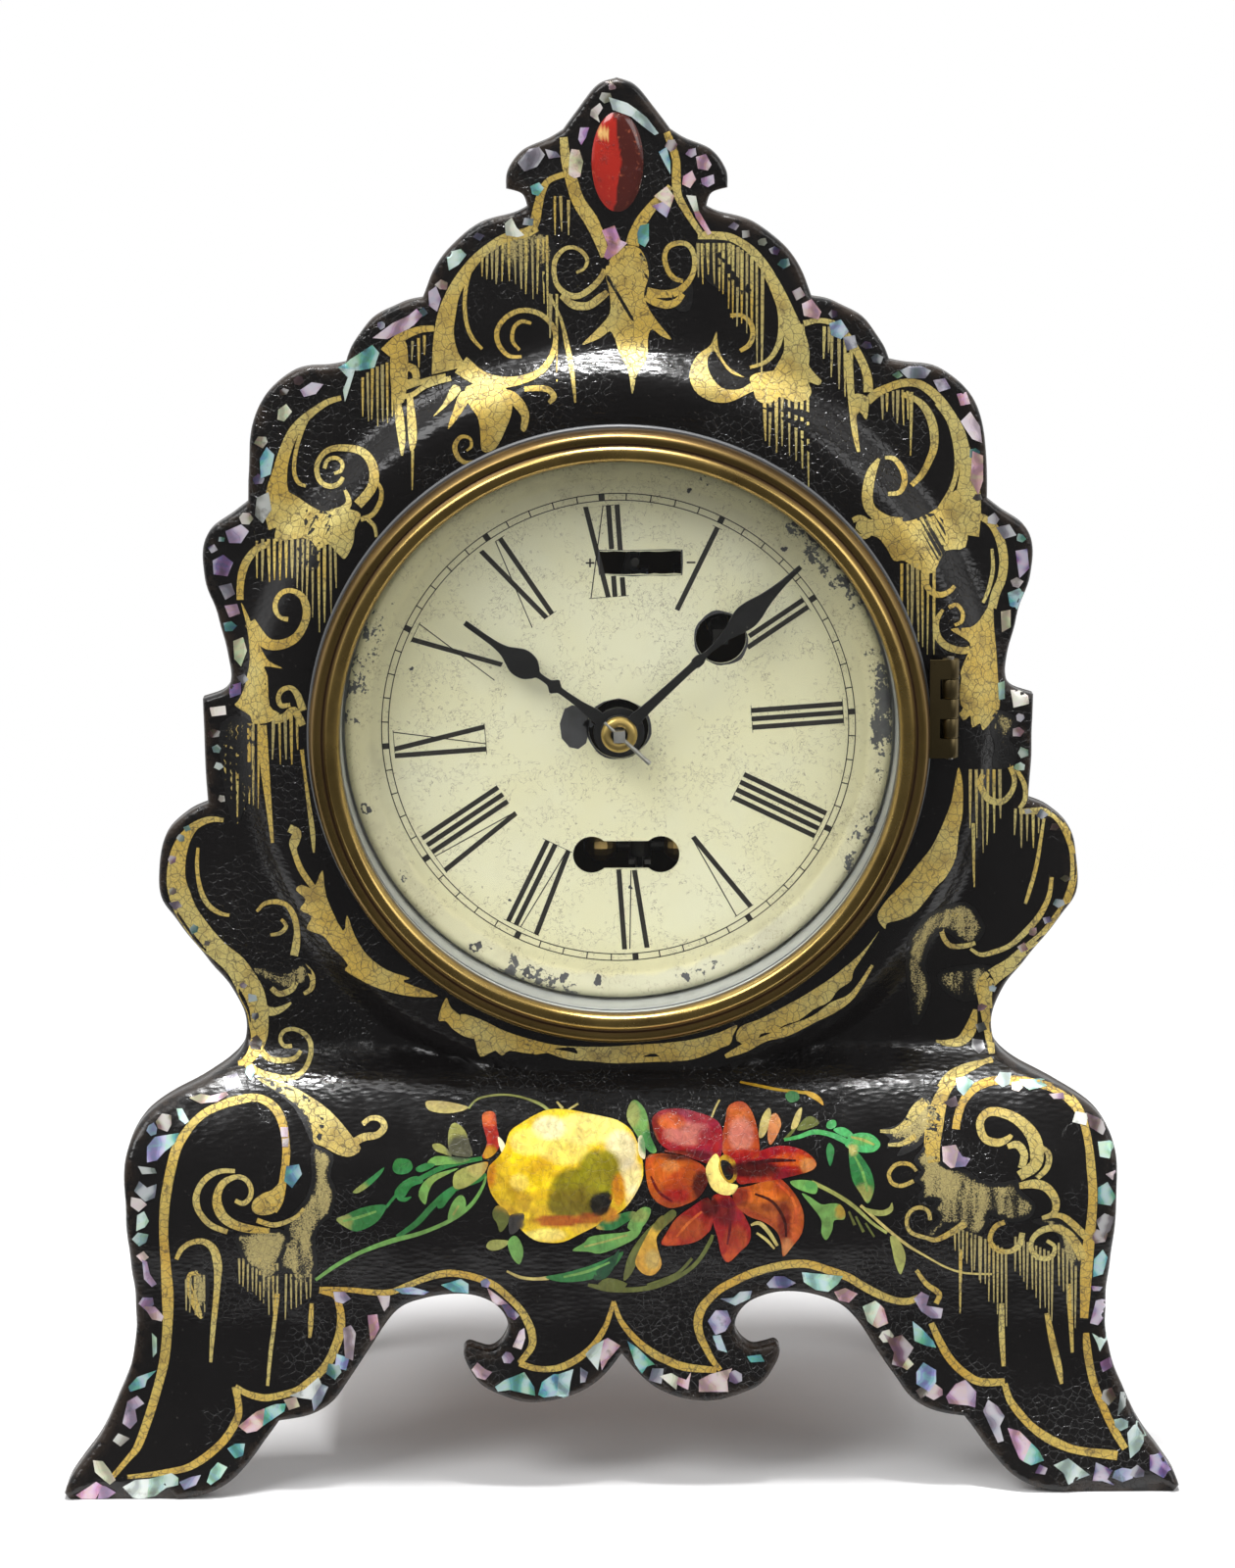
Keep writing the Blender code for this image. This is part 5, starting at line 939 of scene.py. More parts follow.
@dataclass(frozen=True)
class Lacquer:
    """Old black japan over papier mache, crazed like leather."""

    name: str = "crazed_lacquer"
    colour: Colour = (0.0065, 0.0060, 0.0062)
    worn: Colour = (0.060, 0.038, 0.024)
    roughness: float = 0.17
    grain: float = 850.0

    def make(self) -> bpy.types.Material:
        """Build the material.

        Returns:
            The material.
        """
        material, bench, shader = start_finish(self.name)
        place = bench.where()
        height = bench.use(GROUPS.grain(), {"Vector": place, "Scale": self.grain, "Wrinkle": 0.15}).outputs["Height"]
        cracks = crack_lines(bench, place, 620.0, 0.05, 0.5)
        where_crazed = patch_mask(bench, place, 26.0, 0.52, 0.12)
        lines = bench.times(cracks, where_crazed)
        rim = bench.stored("rim")
        spotted = patch_mask(bench, place, 240.0, 0.56, 0.10)
        wear = bench.times(bench.times(rim, 0.40), spotted)
        dust = patch_mask(bench, place, 1500.0, 0.335, 0.03)
        tone = bench.mix(bench.noise(38.0, 5.0), self.colour, (0.0105, 0.0098, 0.0095))
        tone = bench.mix(wear, tone, self.worn)
        tone = bench.mix(bench.times(dust, 0.22), tone, (0.17, 0.155, 0.135))
        rough = bench.plus(bench.span(bench.noise(90.0, 6.0), 0.3, 0.75, self.roughness - 0.05, self.roughness + 0.10),
                           bench.times(wear, 0.35))
        relief = bench.minus(height, bench.times(lines, 1.1))
        rear = bench.stored("rear")
        fibres = bench.noise(900.0, 8.0, bench.where((1.0, 1.0, 0.35)), 0.7)
        board = bench.mix(bench.span(fibres, 0.45, 0.75), (0.030, 0.024, 0.019), (0.085, 0.064, 0.045))
        tone = bench.mix(rear, tone, board)
        rough = bench.most(rough, bench.times(rear, 0.8))
        dress(bench, shader, Base_Color=tone, Roughness=rough, Normal=bumped(bench, relief, 0.00008),
              Specular_IOR_Level=0.42)
        return material


@dataclass(frozen=True)
class AgedBrass:
    """Brass with brown patina in its hollows and bright crests."""

    name: str
    bright: Colour = (0.56, 0.36, 0.13)
    brown: Colour = (0.100, 0.055, 0.030)
    roughness: float = 0.26
    patina: float = 0.45

    def make(self) -> bpy.types.Material:
        """Build the material.

        Returns:
            The material.
        """
        material, bench, shader = start_finish(self.name)
        place = bench.where()
        marks = bench.use(GROUPS.brushed(), {"Vector": place, "Scale": 300.0})
        stain = patch_mask(bench, place, 70.0, self.patina, 0.28)
        # Darker brown where the piece's stored value is high: in its grooves, and also on faces that are not hollows
        stored_darkening = bench.stored("turned")
        dark = bench.most(bench.times(stain, 0.55), stored_darkening)
        fine = patch_mask(bench, place, 900.0, 0.36, 0.08)
        tone = bench.mix(dark, self.bright, self.brown)
        tone = bench.mix(bench.times(fine, 0.35), tone, (0.05, 0.035, 0.022))
        rough = bench.plus(bench.span(marks.outputs["Tone"], 0.3, 0.7, self.roughness - 0.04, self.roughness + 0.10),
                           bench.times(dark, 0.16))
        dress(bench, shader, Base_Color=tone, Roughness=rough, Metallic=bench.span(dark, 0.5, 1.0, 1.0, 0.82),
              Normal=bumped(bench, marks.outputs["Height"], 0.000012))
        return material


@dataclass(frozen=True)
class DullMetal:
    """A plain metal with tarnish: zinc, steel, spring steel or iron."""

    name: str
    colour: Colour
    tarnish: Colour
    roughness: float = 0.4
    amount: float = 0.5
    metal: float = 1.0
    stretch: Colour = (1.0, 12.0, 1.0)
    shaded: Colour = (0.105, 0.108, 0.112)

    def make(self) -> bpy.types.Material:
        """Build the material.

        Returns:
            The material.
        """
        material, bench, shader = start_finish(self.name)
        place = bench.where()
        marks = bench.use(GROUPS.brushed(), {"Vector": place, "Scale": 350.0, "Stretch": self.stretch})
        stain = patch_mask(bench, place, 110.0, self.amount, 0.25)
        tone = bench.mix(bench.stored("turned"), bench.mix(stain, self.colour, self.tarnish), self.shaded)
        rough = bench.span(marks.outputs["Tone"], 0.3, 0.7, self.roughness - 0.07, self.roughness + 0.12)
        metal = bench.times(bench.span(stain, 0.0, 1.0, 1.0, 0.75), self.metal)
        dress(bench, shader, Base_Color=tone, Roughness=rough, Metallic=metal,
              Normal=bumped(bench, marks.outputs["Height"], 0.000015))
        return material


@dataclass(frozen=True)
class OldWood:
    """Stained softwood with grain along one axis."""

    name: str
    light: Colour = (0.235, 0.120, 0.055)
    dark: Colour = (0.105, 0.048, 0.022)
    along: Colour = (0.06, 1.0, 1.0)

    def make(self) -> bpy.types.Material:
        """Build the material.

        Returns:
            The material.
        """
        material, bench, shader = start_finish(self.name)
        place = bench.where(self.along)
        rings = bench.put("TexWave", {
            "Vector": place, "Scale": 38.0, "Distortion": 7.5, "Detail": 4.0, "Detail Scale": 1.3,
        }, wave_type="BANDS", bands_direction="DIAGONAL").outputs["Fac"]
        fibres = bench.noise(1100.0, 6.0, place, 0.65)
        tone = bench.mix(rings, self.dark, self.light)
        tone = bench.mix(bench.span(fibres, 0.42, 0.7, 0.0, 0.55), tone, self.dark)
        grime = patch_mask(bench, bench.where(), 32.0, 0.5, 0.3)
        tone = bench.mix(bench.times(grime, 0.45), tone, (0.045, 0.026, 0.016))
        dress(bench, shader, Base_Color=tone, Roughness=bench.span(fibres, 0.3, 0.7, 0.48, 0.68),
              Normal=bumped(bench, bench.plus(fibres, rings), 0.00006))
        return material


@dataclass(frozen=True)
class DialPaint:
    """Cream dial paint: fine crazing, a tone that darkens towards the rim, and dirt patches that gather there."""

    name: str = "cream_dial_paint"
    cream: Colour = (0.925, 0.880, 0.570)
    pale: Colour = (0.945, 0.920, 0.670)
    dirt: Colour = (0.330, 0.285, 0.170)

    def make(self) -> bpy.types.Material:
        """Build the material.

        Returns:
            The material.
        """
        material, bench, shader = start_finish(self.name)
        place = bench.where()
        rim = bench.stored("turned")
        tone = bench.mix(bench.span(bench.noise(28.0, 4.0), 0.35, 0.7), self.cream, self.pale)
        # Darker, browner cream towards the rim, evenly all round
        tone = bench.mix(bench.times(rim, 0.72), tone, (0.660, 0.595, 0.330))
        ring = bench.plus(rim, bench.span(bench.noise(210.0, 5.0), 0.3, 0.7, -0.035, 0.035))
        tone = bench.mix(bench.times(bench.span(ring, 0.70, 0.80), bench.stored("ashen")), tone, (0.490, 0.500, 0.455))
        soil = patch_mask(bench, place, 75.0, 0.46, 0.25)
        tone = bench.mix(bench.times(soil, bench.span(rim, 0.0, 1.0, 0.10, 0.55)), tone, self.dirt)
        wide = crack_lines(bench, place, 95.0, 0.016, 1.2)
        fine = crack_lines(bench, place, 290.0, 0.012, 0.8)
        some = patch_mask(bench, place, 40.0, 0.46, 0.1)
        cracks = bench.most(bench.times(wide, 0.75), bench.times(bench.times(fine, some), 0.24))
        tone = bench.mix(cracks, tone, (0.26, 0.20, 0.11))
        specks = patch_mask(bench, place, 1100.0, 0.30, 0.03)
        tone = bench.mix(bench.times(specks, 0.4), tone, (0.12, 0.10, 0.07))
        ragged = bench.plus(bench.times(bench.noise(330.0, 6.0), 0.65), bench.times(bench.noise(1500.0), 0.35))
        gone = bench.span(bench.plus(ragged, bench.times(bench.stored("chip"), 0.34)), 0.74, 0.77)
        tone = bench.mix(gone, tone, bench.mix(bench.noise(500.0), (0.045, 0.045, 0.048), (0.15, 0.15, 0.15)))
        dress(bench, shader, Base_Color=tone, Roughness=bench.span(bench.noise(120.0), 0.3, 0.7, 0.34, 0.5),
              Normal=bumped(bench, bench.minus(bench.noise(260.0, 3.0), bench.times(cracks, 0.6)), 0.00004))
        return material


@dataclass(frozen=True)
class Ink:
    """Black numeral paint, a little thin and worn."""

    name: str = "numeral_black"
    colour: Colour = (0.022, 0.019, 0.015)

    def make(self) -> bpy.types.Material:
        """Build the material.

        Returns:
            The material.
        """
        material, bench, shader = start_finish(self.name)
        thin = patch_mask(bench, bench.where(), 420.0, 0.42, 0.2)
        tone = bench.mix(bench.times(thin, 0.30), self.colour, (0.16, 0.135, 0.09))
        dress(bench, shader, Base_Color=tone, Roughness=bench.span(bench.noise(300.0), 0.3, 0.7, 0.4, 0.55),
              Normal=bumped(bench, bench.noise(900.0), 0.00001))
        return material


@dataclass(frozen=True)
class BlackedHand:
    """Blued steel hands gone black, chipped in specks."""

    name: str = "hand_black_worn"

    def make(self) -> bpy.types.Material:
        """Build the material.

        Returns:
            The material.
        """
        material, bench, shader = start_finish(self.name)
        place = bench.where()
        chips = patch_mask(bench, place, 700.0, 0.335, 0.04)
        tone = bench.mix(bench.noise(200.0), (0.010, 0.010, 0.011), (0.020, 0.019, 0.019))
        tone = bench.mix(bench.times(chips, 0.7), tone, (0.13, 0.115, 0.10))
        dress(bench, shader, Base_Color=tone, Roughness=bench.span(bench.noise(400.0), 0.3, 0.7, 0.3, 0.45),
              Metallic=0.35, Normal=bumped(bench, bench.noise(1300.0), 0.00002))
        return material


@dataclass(frozen=True)
class ClearGlass:
    """The bezel's thin old glass."""

    name: str = "bezel_clear_glass"

    def make(self) -> bpy.types.Material:
        """Build the material.

        Returns:
            The material.
        """
        material, bench, shader = start_finish(self.name)
        smear = patch_mask(bench, bench.where(), 35.0, 0.5, 0.4)
        dress(bench, shader, Base_Color=bench.mix(smear, (0.985, 0.992, 0.985), (0.965, 0.972, 0.962)), Metallic=0.0,
              Transmission_Weight=1.0, IOR=1.46, Roughness=bench.span(smear, 0.0, 1.0, 0.0, 0.025),
              Normal=bumped(bench, bench.noise(18.0, 2.0), 0.00003))
        clear = bench.put("BsdfTransparent", {"Color": (0.96, 0.97, 0.96)})
        shadow = bench.put("LightPath").outputs["Is Shadow Ray"]
        bench.show(shadow, shader.outputs["BSDF"], clear.outputs["BSDF"])
        return material


class Finishes:
    """Every finish of the clock, each built when first asked for."""

    def __init__(self) -> None:
        """Start with no materials."""
        self.made: dict[str, bpy.types.Material] = {}

    def of(self, recipe: object) -> bpy.types.Material:
        """The material of a recipe, built once.

        Args:
            recipe: What the finish is made of.

        Returns:
            The material.
        """
        if recipe.name not in self.made:
            self.made[recipe.name] = recipe.make()
        return self.made[recipe.name]


FINISHES = Finishes()
LACQUER = Lacquer()
BEZEL_BRASS = AgedBrass("bezel_brass_aged", (0.66, 0.455, 0.150), (0.060, 0.029, 0.018), 0.20, 0.56)
HINGE_BRASS = AgedBrass("hinge_brass_dull", (0.17, 0.130, 0.062), (0.055, 0.040, 0.022), 0.36, 0.55)
COLLET_BRASS = AgedBrass("collet_brass_worn", (0.66, 0.47, 0.15), (0.12, 0.07, 0.03), 0.28, 0.50)
TRAIN_BRASS = AgedBrass("movement_brass_worn", (0.54, 0.37, 0.14), (0.17, 0.10, 0.048), 0.30, 0.45)
# Near-black brass and steel: painted shade for the movement parts seen through the dial's holes
SHADE_PAINTED_BRASS = AgedBrass("movement_plate_painted_shade", (0.030, 0.021, 0.011), (0.012, 0.009, 0.007), 0.50, 0.5)
SHADE_PAINTED_STEEL = DullMetal("steel_painted_shade", (0.055, 0.053, 0.050), (0.022, 0.020, 0.018), 0.42, 0.5)
ZINC = DullMetal("zinc_drum", (0.50, 0.51, 0.50), (0.30, 0.31, 0.31), 0.48, 0.46, 0.25)
STEEL = DullMetal("grey_steel", (0.46, 0.45, 0.43), (0.16, 0.13, 0.105), 0.34, 0.46)
SPRING_STEEL = DullMetal("blued_spring_steel", (0.13, 0.15, 0.21), (0.09, 0.08, 0.075), 0.30, 0.45)
IRON = DullMetal("iron_screw_rusty", (0.20, 0.185, 0.17), (0.10, 0.052, 0.030), 0.52, 0.52)
BARE_TIN = DullMetal("dial_bare_tin", (0.085, 0.085, 0.090), (0.050, 0.048, 0.046), 0.55, 0.5, 0.4)
UPRIGHT_WOOD = OldWood("case_wood_upright", along=(1.0, 1.0, 0.06))
CROSS_WOOD = OldWood("case_wood_cross")
DIAL_PAINT = DialPaint()
INK = Ink()
HAND_BLACK = BlackedHand()
GLASS = ClearGlass()

# Half of the front's outline from the top down: each run is smooth and ends in a corner
FRONT_RUNS = (
    ((0.0, 0.2913), (0.0034, 0.2901), (0.0066, 0.2868), (0.0109, 0.2808)),
    ((0.0109, 0.2808), (0.0137, 0.2792), (0.0191, 0.2768), (0.0222, 0.2727), (0.0226, 0.2690)),
    ((0.0226, 0.2690), (0.0194, 0.2679), (0.0184, 0.2654)),
    ((0.0184, 0.2654), (0.0211, 0.2641), (0.0279, 0.2620), (0.0341, 0.2574), (0.0378, 0.2520), (0.0398, 0.2469)),
    ((0.0398, 0.2469), (0.0443, 0.2458), (0.0502, 0.2426), (0.0539, 0.2379), (0.0557, 0.2339)),
    ((0.0557, 0.2339), (0.0594, 0.2333), (0.0660, 0.2322), (0.0715, 0.2280), (0.0746, 0.2221),
     (0.0758, 0.2150), (0.0760, 0.2052)),
    ((0.0760, 0.2052), (0.0791, 0.2029), (0.0837, 0.1997), (0.0855, 0.1952), (0.0852, 0.1893),
     (0.0829, 0.1820), (0.0808, 0.1738), (0.0801, 0.1690), (0.0816, 0.1661), (0.0860, 0.1643)),
    ((0.0860, 0.1643), (0.0860, 0.1565), (0.0857, 0.1490), (0.0854, 0.1424)),
    ((0.0854, 0.1424), (0.0895, 0.1405), (0.0940, 0.1360), (0.0958, 0.1290), (0.0955, 0.1225),
     (0.0926, 0.1176), (0.0888, 0.1127), (0.0850, 0.1080), (0.0811, 0.1030), (0.0788, 0.0985),
     (0.0782, 0.0942), (0.0789, 0.0906), (0.0812, 0.0884), (0.0862, 0.0858), (0.0908, 0.0838),
     (0.0953, 0.0816), (0.0986, 0.0792), (0.1009, 0.0760), (0.1022, 0.0722), (0.1027, 0.0680),
     (0.1026, 0.0610), (0.1022, 0.0540), (0.1015, 0.0465), (0.1010, 0.0395), (0.1013, 0.0325),
     (0.1026, 0.0262), (0.1052, 0.0195), (0.1087, 0.0126), (0.1121, 0.0080), (0.1148, 0.0042),
     (0.1160, 0.0012)),
    ((0.1160, 0.0012), (0.1148, 0.0)),
    ((0.1148, 0.0), (0.0925, 0.0)),
    ((0.0925, 0.0), (0.0862, 0.0010), (0.0808, 0.0038), (0.0762, 0.0088), (0.0714, 0.0152)),
    ((0.0714, 0.0152), (0.0662, 0.0159), (0.0624, 0.0175), (0.0592, 0.0200), (0.0562, 0.0242),
     (0.0523, 0.0302), (0.0488, 0.0353), (0.0455, 0.0386), (0.0412, 0.0405), (0.0366, 0.0414),
     (0.0315, 0.0412), (0.0270, 0.0396), (0.0245, 0.0368), (0.0238, 0.0338), (0.0249, 0.0312),
     (0.0272, 0.0296), (0.0298, 0.0300), (0.0320, 0.0304), (0.0330, 0.0288), (0.0320, 0.0256),
     (0.0290, 0.0219), (0.0244, 0.0196), (0.0189, 0.0185), (0.0132, 0.0189), (0.0077, 0.0210),
     (0.0034, 0.0242), (0.0, 0.0282)),
)

# Half widths of the hands from the tip in, as distance from the centre and half width
HOUR_HAND_RUN = (
    (0.0391, 0.0003), (0.0387, 0.00055), (0.0340, 0.0006), (0.0312, 0.00075), (0.0290, 0.0012), (0.0272, 0.0021),
    (0.0258, 0.00275), (0.0243, 0.0029), (0.0226, 0.0025), (0.0212, 0.0014), (0.0204, 0.00065), (0.0182, 0.0006),
    (0.0174, 0.0009), (0.0164, 0.00165), (0.0154, 0.00095), (0.0146, 0.00065), (0.0100, 0.0008), (0.0065, 0.0013),
)
MINUTE_HAND_RUN = (
    (0.0508, 0.0003), (0.0504, 0.0005), (0.0460, 0.0007), (0.0412, 0.0014), (0.0378, 0.0023), (0.0354, 0.00255),
    (0.0330, 0.0020), (0.0297, 0.0010), (0.0260, 0.00055), (0.0240, 0.0006), (0.0228, 0.0011), (0.0214, 0.0011),
    (0.0200, 0.0008), (0.0090, 0.0010), (0.0050, 0.0013),
)

# Brushed gold lines on the front, each as pixel X, pixel Y and width from point to point
GOLD_LINES = (
    (575, 140, 8, 577, 160, 10, 582, 180, 12, 590, 205, 13, 603, 225, 14, 612, 245, 12, 617, 262, 8),
    (575, 178, 6, 560, 184, 6, 553, 195, 8, 549, 210, 9, 546, 225, 10, 542, 235, 8),
    (680, 135, 7, 686, 150, 8, 690, 165, 8, 690, 185, 9, 692, 200, 8, 700, 215, 7, 708, 228, 6, 715, 238, 6),
    (684, 190, 6, 676, 200, 8, 666, 210, 10, 655, 225, 12, 648, 238, 12, 645, 250, 14),
    (617, 275, 5, 612, 285, 6, 602, 295, 6, 590, 302, 6, 578, 300, 6, 568, 290, 5, 565, 275, 5, 568, 262, 5, 578,
     253, 4, 590, 254, 4, 599, 264, 4, 596, 274, 3, 588, 278, 3),
    (572, 302, 4, 585, 311, 8, 600, 312, 8, 612, 304, 8, 620, 298, 6),
    (697, 287, 4, 688, 284, 5, 681, 275, 5, 678, 262, 5, 682, 252, 5, 692, 248, 5, 702, 250, 5, 708, 260, 5, 708,
     275, 5, 702, 288, 6, 690, 298, 8, 675, 300, 8, 660, 298, 10),
    (658, 303, 6, 668, 308, 8, 680, 311, 8, 690, 308, 7, 697, 300, 5),
    (548, 232, 8, 535, 238, 10, 515, 243, 9, 500, 252, 9, 485, 265, 10, 472, 282, 12, 462, 300, 14, 456, 320, 18,
     453, 340, 20, 454, 360, 26, 458, 378, 36),
    (482, 270, 3, 476, 290, 4, 474, 310, 4, 476, 330, 4, 482, 345, 4, 492, 356, 3),
    (470, 372, 20, 490, 386, 16, 510, 390, 12, 530, 388, 9, 550, 380, 7, 562, 365, 6, 567, 345, 5, 562, 330, 5, 548,
     319, 5, 530, 317, 5, 515, 325, 5, 507, 338, 5, 509, 352, 5, 519, 363, 4, 532, 364, 3),
    (530, 357, 3, 523, 348, 4, 524, 335, 4, 532, 328, 4, 542, 330, 3),
    (535, 397, 5, 550, 396, 6, 560, 398, 6, 565, 405, 6, 560, 411, 4),
    (455, 385, 8, 437, 388, 6, 420, 393, 5, 405, 400, 4),
    (488, 470, 3, 475, 472, 4, 467, 466, 5, 464, 455, 5, 470, 446, 4, 479, 447, 3, 481, 455, 3, 476, 460, 2),
    (560, 300, 3, 572, 325, 3, 578, 350, 5, 583, 375, 5, 586, 400, 3, 587, 411, 2),
    (712, 240, 8, 740, 241, 8, 755, 247, 8, 768, 257, 9, 780, 272, 10, 790, 290, 12, 797, 305, 14, 803, 320, 16, 808,
     335, 20, 812, 350, 24, 812, 365, 28, 805, 385, 34),
    (765, 375, 3, 780, 370, 4, 790, 360, 5, 796, 345, 6, 797, 325, 6, 794, 305, 6),
    (745, 322, 4, 757, 322, 4, 766, 330, 5, 768, 342, 5, 764, 352, 5, 755, 358, 4),
    (820, 330, 6, 835, 327, 5, 850, 330, 6, 862, 340, 7, 872, 355, 8, 880, 370, 8, 885, 385, 9, 886, 400, 10),
    (866, 360, 8, 868, 400, 7, 872, 440, 6, 876, 461, 3),
    (885, 410, 8, 893, 402, 9, 905, 396, 8, 920, 391, 8, 935, 391, 8, 948, 398, 9, 960, 410, 10, 970, 425, 11, 978,
     440, 12, 983, 460, 14, 988, 480, 18, 988, 500, 24, 986, 520, 30, 982, 545, 34),
    (920, 402, 5, 935, 408, 6, 945, 418, 8, 952, 435, 9, 953, 455, 8, 948, 470, 7, 940, 485, 6, 930, 495, 5),
    (955, 412, 3, 968, 430, 4, 975, 455, 5, 976, 480, 5, 970, 500, 5, 958, 520, 5),
    (903, 467, 3, 912, 468, 5, 920, 478, 6, 923, 490, 6, 918, 502, 5, 906, 504, 4),
    (897, 468, 3, 890, 480, 9, 886, 495, 11, 885, 510, 11, 890, 522, 11, 905, 532, 12, 920, 535, 14),
    (870, 531, 5, 878, 529, 7, 887, 537, 8, 885, 546, 6, 876, 547, 5, 870, 541, 5),
    (948, 578, 5, 944, 590, 6, 948, 602, 6, 958, 607, 6, 968, 604, 5, 974, 598, 4),
    (968, 620, 4, 976, 617, 4, 982, 625, 4, 981, 634, 4, 974, 638, 3),
    (962, 622, 3, 955, 635, 6, 957, 650, 7, 967, 660, 7, 982, 664, 7, 990, 662, 6),
    (985, 525, 8, 1000, 527, 7, 1012, 535, 8, 1020, 550, 9, 1024, 570, 9, 1022, 590, 9, 1016, 605, 9, 1012, 620, 9),
    (1012, 560, 3, 1013, 580, 4, 1009, 600, 4, 1003, 615, 3),
    (1003, 790, 5, 1000, 800, 6, 1008, 815, 7, 1022, 818, 6, 1032, 808, 5, 1035, 795, 5, 1030, 780, 6),
    (1037, 785, 4, 1045, 800, 5, 1046, 815, 5, 1040, 825, 4), (1065, 835, 3, 1058, 880, 4, 1050, 910, 4, 1046, 922, 3),
    (1040, 828, 5, 1068, 828, 8, 1080, 835, 8, 1090, 850, 10, 1097, 868, 12, 1099, 890, 14, 1097, 905, 15, 1090, 925,
     16, 1080, 940, 16, 1068, 955, 16, 1055, 965, 14, 1042, 975, 14, 1030, 985, 14, 1015, 995, 16, 1005, 1005, 18,
     1005, 1020, 14, 1008, 1040, 12, 1010, 1060, 9, 1012, 1075, 6),
    (1013, 1082, 4, 995, 1085, 5, 980, 1090, 6, 968, 1098, 8, 960, 1110, 9),
    (1073, 895, 4, 1070, 915, 5, 1060, 935, 6, 1045, 952, 6, 1030, 965, 5, 1012, 972, 5, 1000, 974, 4, 990, 968, 3),
    (995, 962, 4, 985, 965, 5, 970, 965, 5, 962, 955, 5, 961, 942, 5, 968, 933, 5, 980, 935, 4),
    (995, 1030, 4, 990, 1050, 12, 980, 1062, 10, 965, 1064, 6, 955, 1062, 2),
    (740, 1078, 4, 760, 1069, 9, 780, 1060, 6, 803, 1052, 10, 830, 1040, 7, 850, 1028, 11, 870, 1015, 6, 890, 985, 3),
    (560, 1072, 5, 580, 1077, 8, 600, 1080, 5, 630, 1081, 8, 665, 1081, 5, 700, 1078, 8, 722, 1073, 5, 740, 1065, 3),
    (443, 335, 6, 430, 336, 7, 418, 340, 8, 408, 345, 10, 400, 352, 10, 393, 360, 12),
    (405, 405, 6, 408, 430, 9, 410, 450, 7, 410, 465, 2), (418, 405, 6, 420, 430, 9, 421, 450, 8, 420, 460, 3),
    (405, 385, 6, 415, 375, 8, 423, 378, 8, 424, 388, 7, 415, 390, 5),
    (405, 405, 5, 420, 403, 5, 432, 395, 5, 445, 390, 5, 460, 386, 5),
    (348, 406, 5, 335, 410, 6, 322, 418, 7, 310, 428, 9, 300, 440, 11, 293, 455, 12, 288, 470, 13, 285, 485, 16, 283,
     500, 22, 285, 520, 30, 290, 535, 34),
    (315, 425, 3, 308, 440, 4, 302, 460, 4, 300, 480, 4, 304, 492, 4, 312, 496, 3),
    (365, 515, 10, 378, 500, 10, 382, 485, 10, 378, 470, 9, 368, 460, 8, 352, 457, 7, 338, 458, 6, 328, 465, 5, 323,
     477, 5, 326, 490, 5, 335, 496, 5, 345, 494, 5, 350, 487, 4),
    (331, 478, 4, 334, 470, 4, 342, 467, 4, 349, 472, 4, 348, 480, 4, 341, 483, 3),
    (385, 492, 3, 389, 500, 4, 388, 512, 5, 380, 525, 5, 368, 530, 5), (375, 530, 4, 382, 537, 4, 384, 548, 3),
    (352, 500, 3, 356, 512, 6, 350, 520, 8, 338, 524, 8),
    (275, 555, 6, 262, 560, 7, 252, 572, 8, 247, 585, 8, 245, 600, 7, 245, 612, 7),
    (255, 635, 12, 270, 655, 12, 285, 658, 10, 300, 652, 9, 309, 640, 8, 313, 625, 8, 309, 610, 7, 299, 603, 5, 289,
     604, 5, 282, 612, 5, 281, 622, 5, 286, 630, 4, 294, 632, 5), (278, 735, 8, 290, 732, 8, 300, 725, 8, 309, 740, 7),
    (309, 725, 8, 304, 710, 7, 297, 702, 5, 288, 704, 5, 284, 712, 5, 287, 720, 5, 296, 719, 4),
    (268, 740, 8, 270, 780, 9, 274, 820, 6, 278, 860, 3),
    (308, 765, 4, 311, 790, 3, 315, 820, 4, 319, 850, 5, 320, 870, 2),
    (228, 837, 4, 215, 836, 6, 200, 842, 8, 190, 853, 12, 183, 868, 16, 180, 885, 18, 180, 900, 20, 184, 915, 22,
     190, 930, 22, 200, 945, 22, 212, 960, 22, 225, 972, 20, 240, 985, 22, 250, 1000, 24, 257, 1015, 26, 262, 1030,
     22, 264, 1045, 20, 264, 1060, 16, 258, 1075, 12, 250, 1083, 8, 243, 1085, 5),
    (202, 865, 3, 201, 880, 4, 202, 895, 4, 206, 912, 5, 214, 925, 5, 225, 932, 4, 234, 934, 3),
    (262, 930, 3, 270, 922, 4, 282, 920, 5, 293, 924, 5, 300, 935, 6, 303, 950, 6, 302, 965, 8, 300, 975, 8),
    (287, 938, 3, 292, 945, 4, 286, 952, 4, 276, 954, 3), (310, 985, 5, 318, 995, 6, 318, 1008, 5, 310, 1014, 4),
    (277, 1008, 5, 285, 1014, 6, 297, 1010, 6, 302, 1002, 5),
    (262, 1020, 10, 270, 1030, 10, 280, 1032, 8, 290, 1028, 5, 297, 1023, 2),
    (252, 1085, 8, 262, 1093, 7, 278, 1098, 6, 295, 1100, 6, 308, 1094, 5, 316, 1080, 5, 317, 1065, 5, 311, 1055, 5,
     300, 1050, 4, 290, 1052, 4, 286, 1060, 4, 290, 1067, 4, 298, 1067, 4),
    (262, 1065, 6, 272, 1078, 6, 285, 1082, 6, 300, 1080, 5, 307, 1072, 4),
    (295, 845, 8, 303, 850, 9, 300, 860, 10, 300, 868, 6, 306, 885, 6, 314, 898, 6, 322, 908, 5),
    (362, 1165, 8, 372, 1160, 8, 385, 1158, 7, 392, 1150, 7, 388, 1142, 6, 378, 1141, 5, 370, 1147, 5),
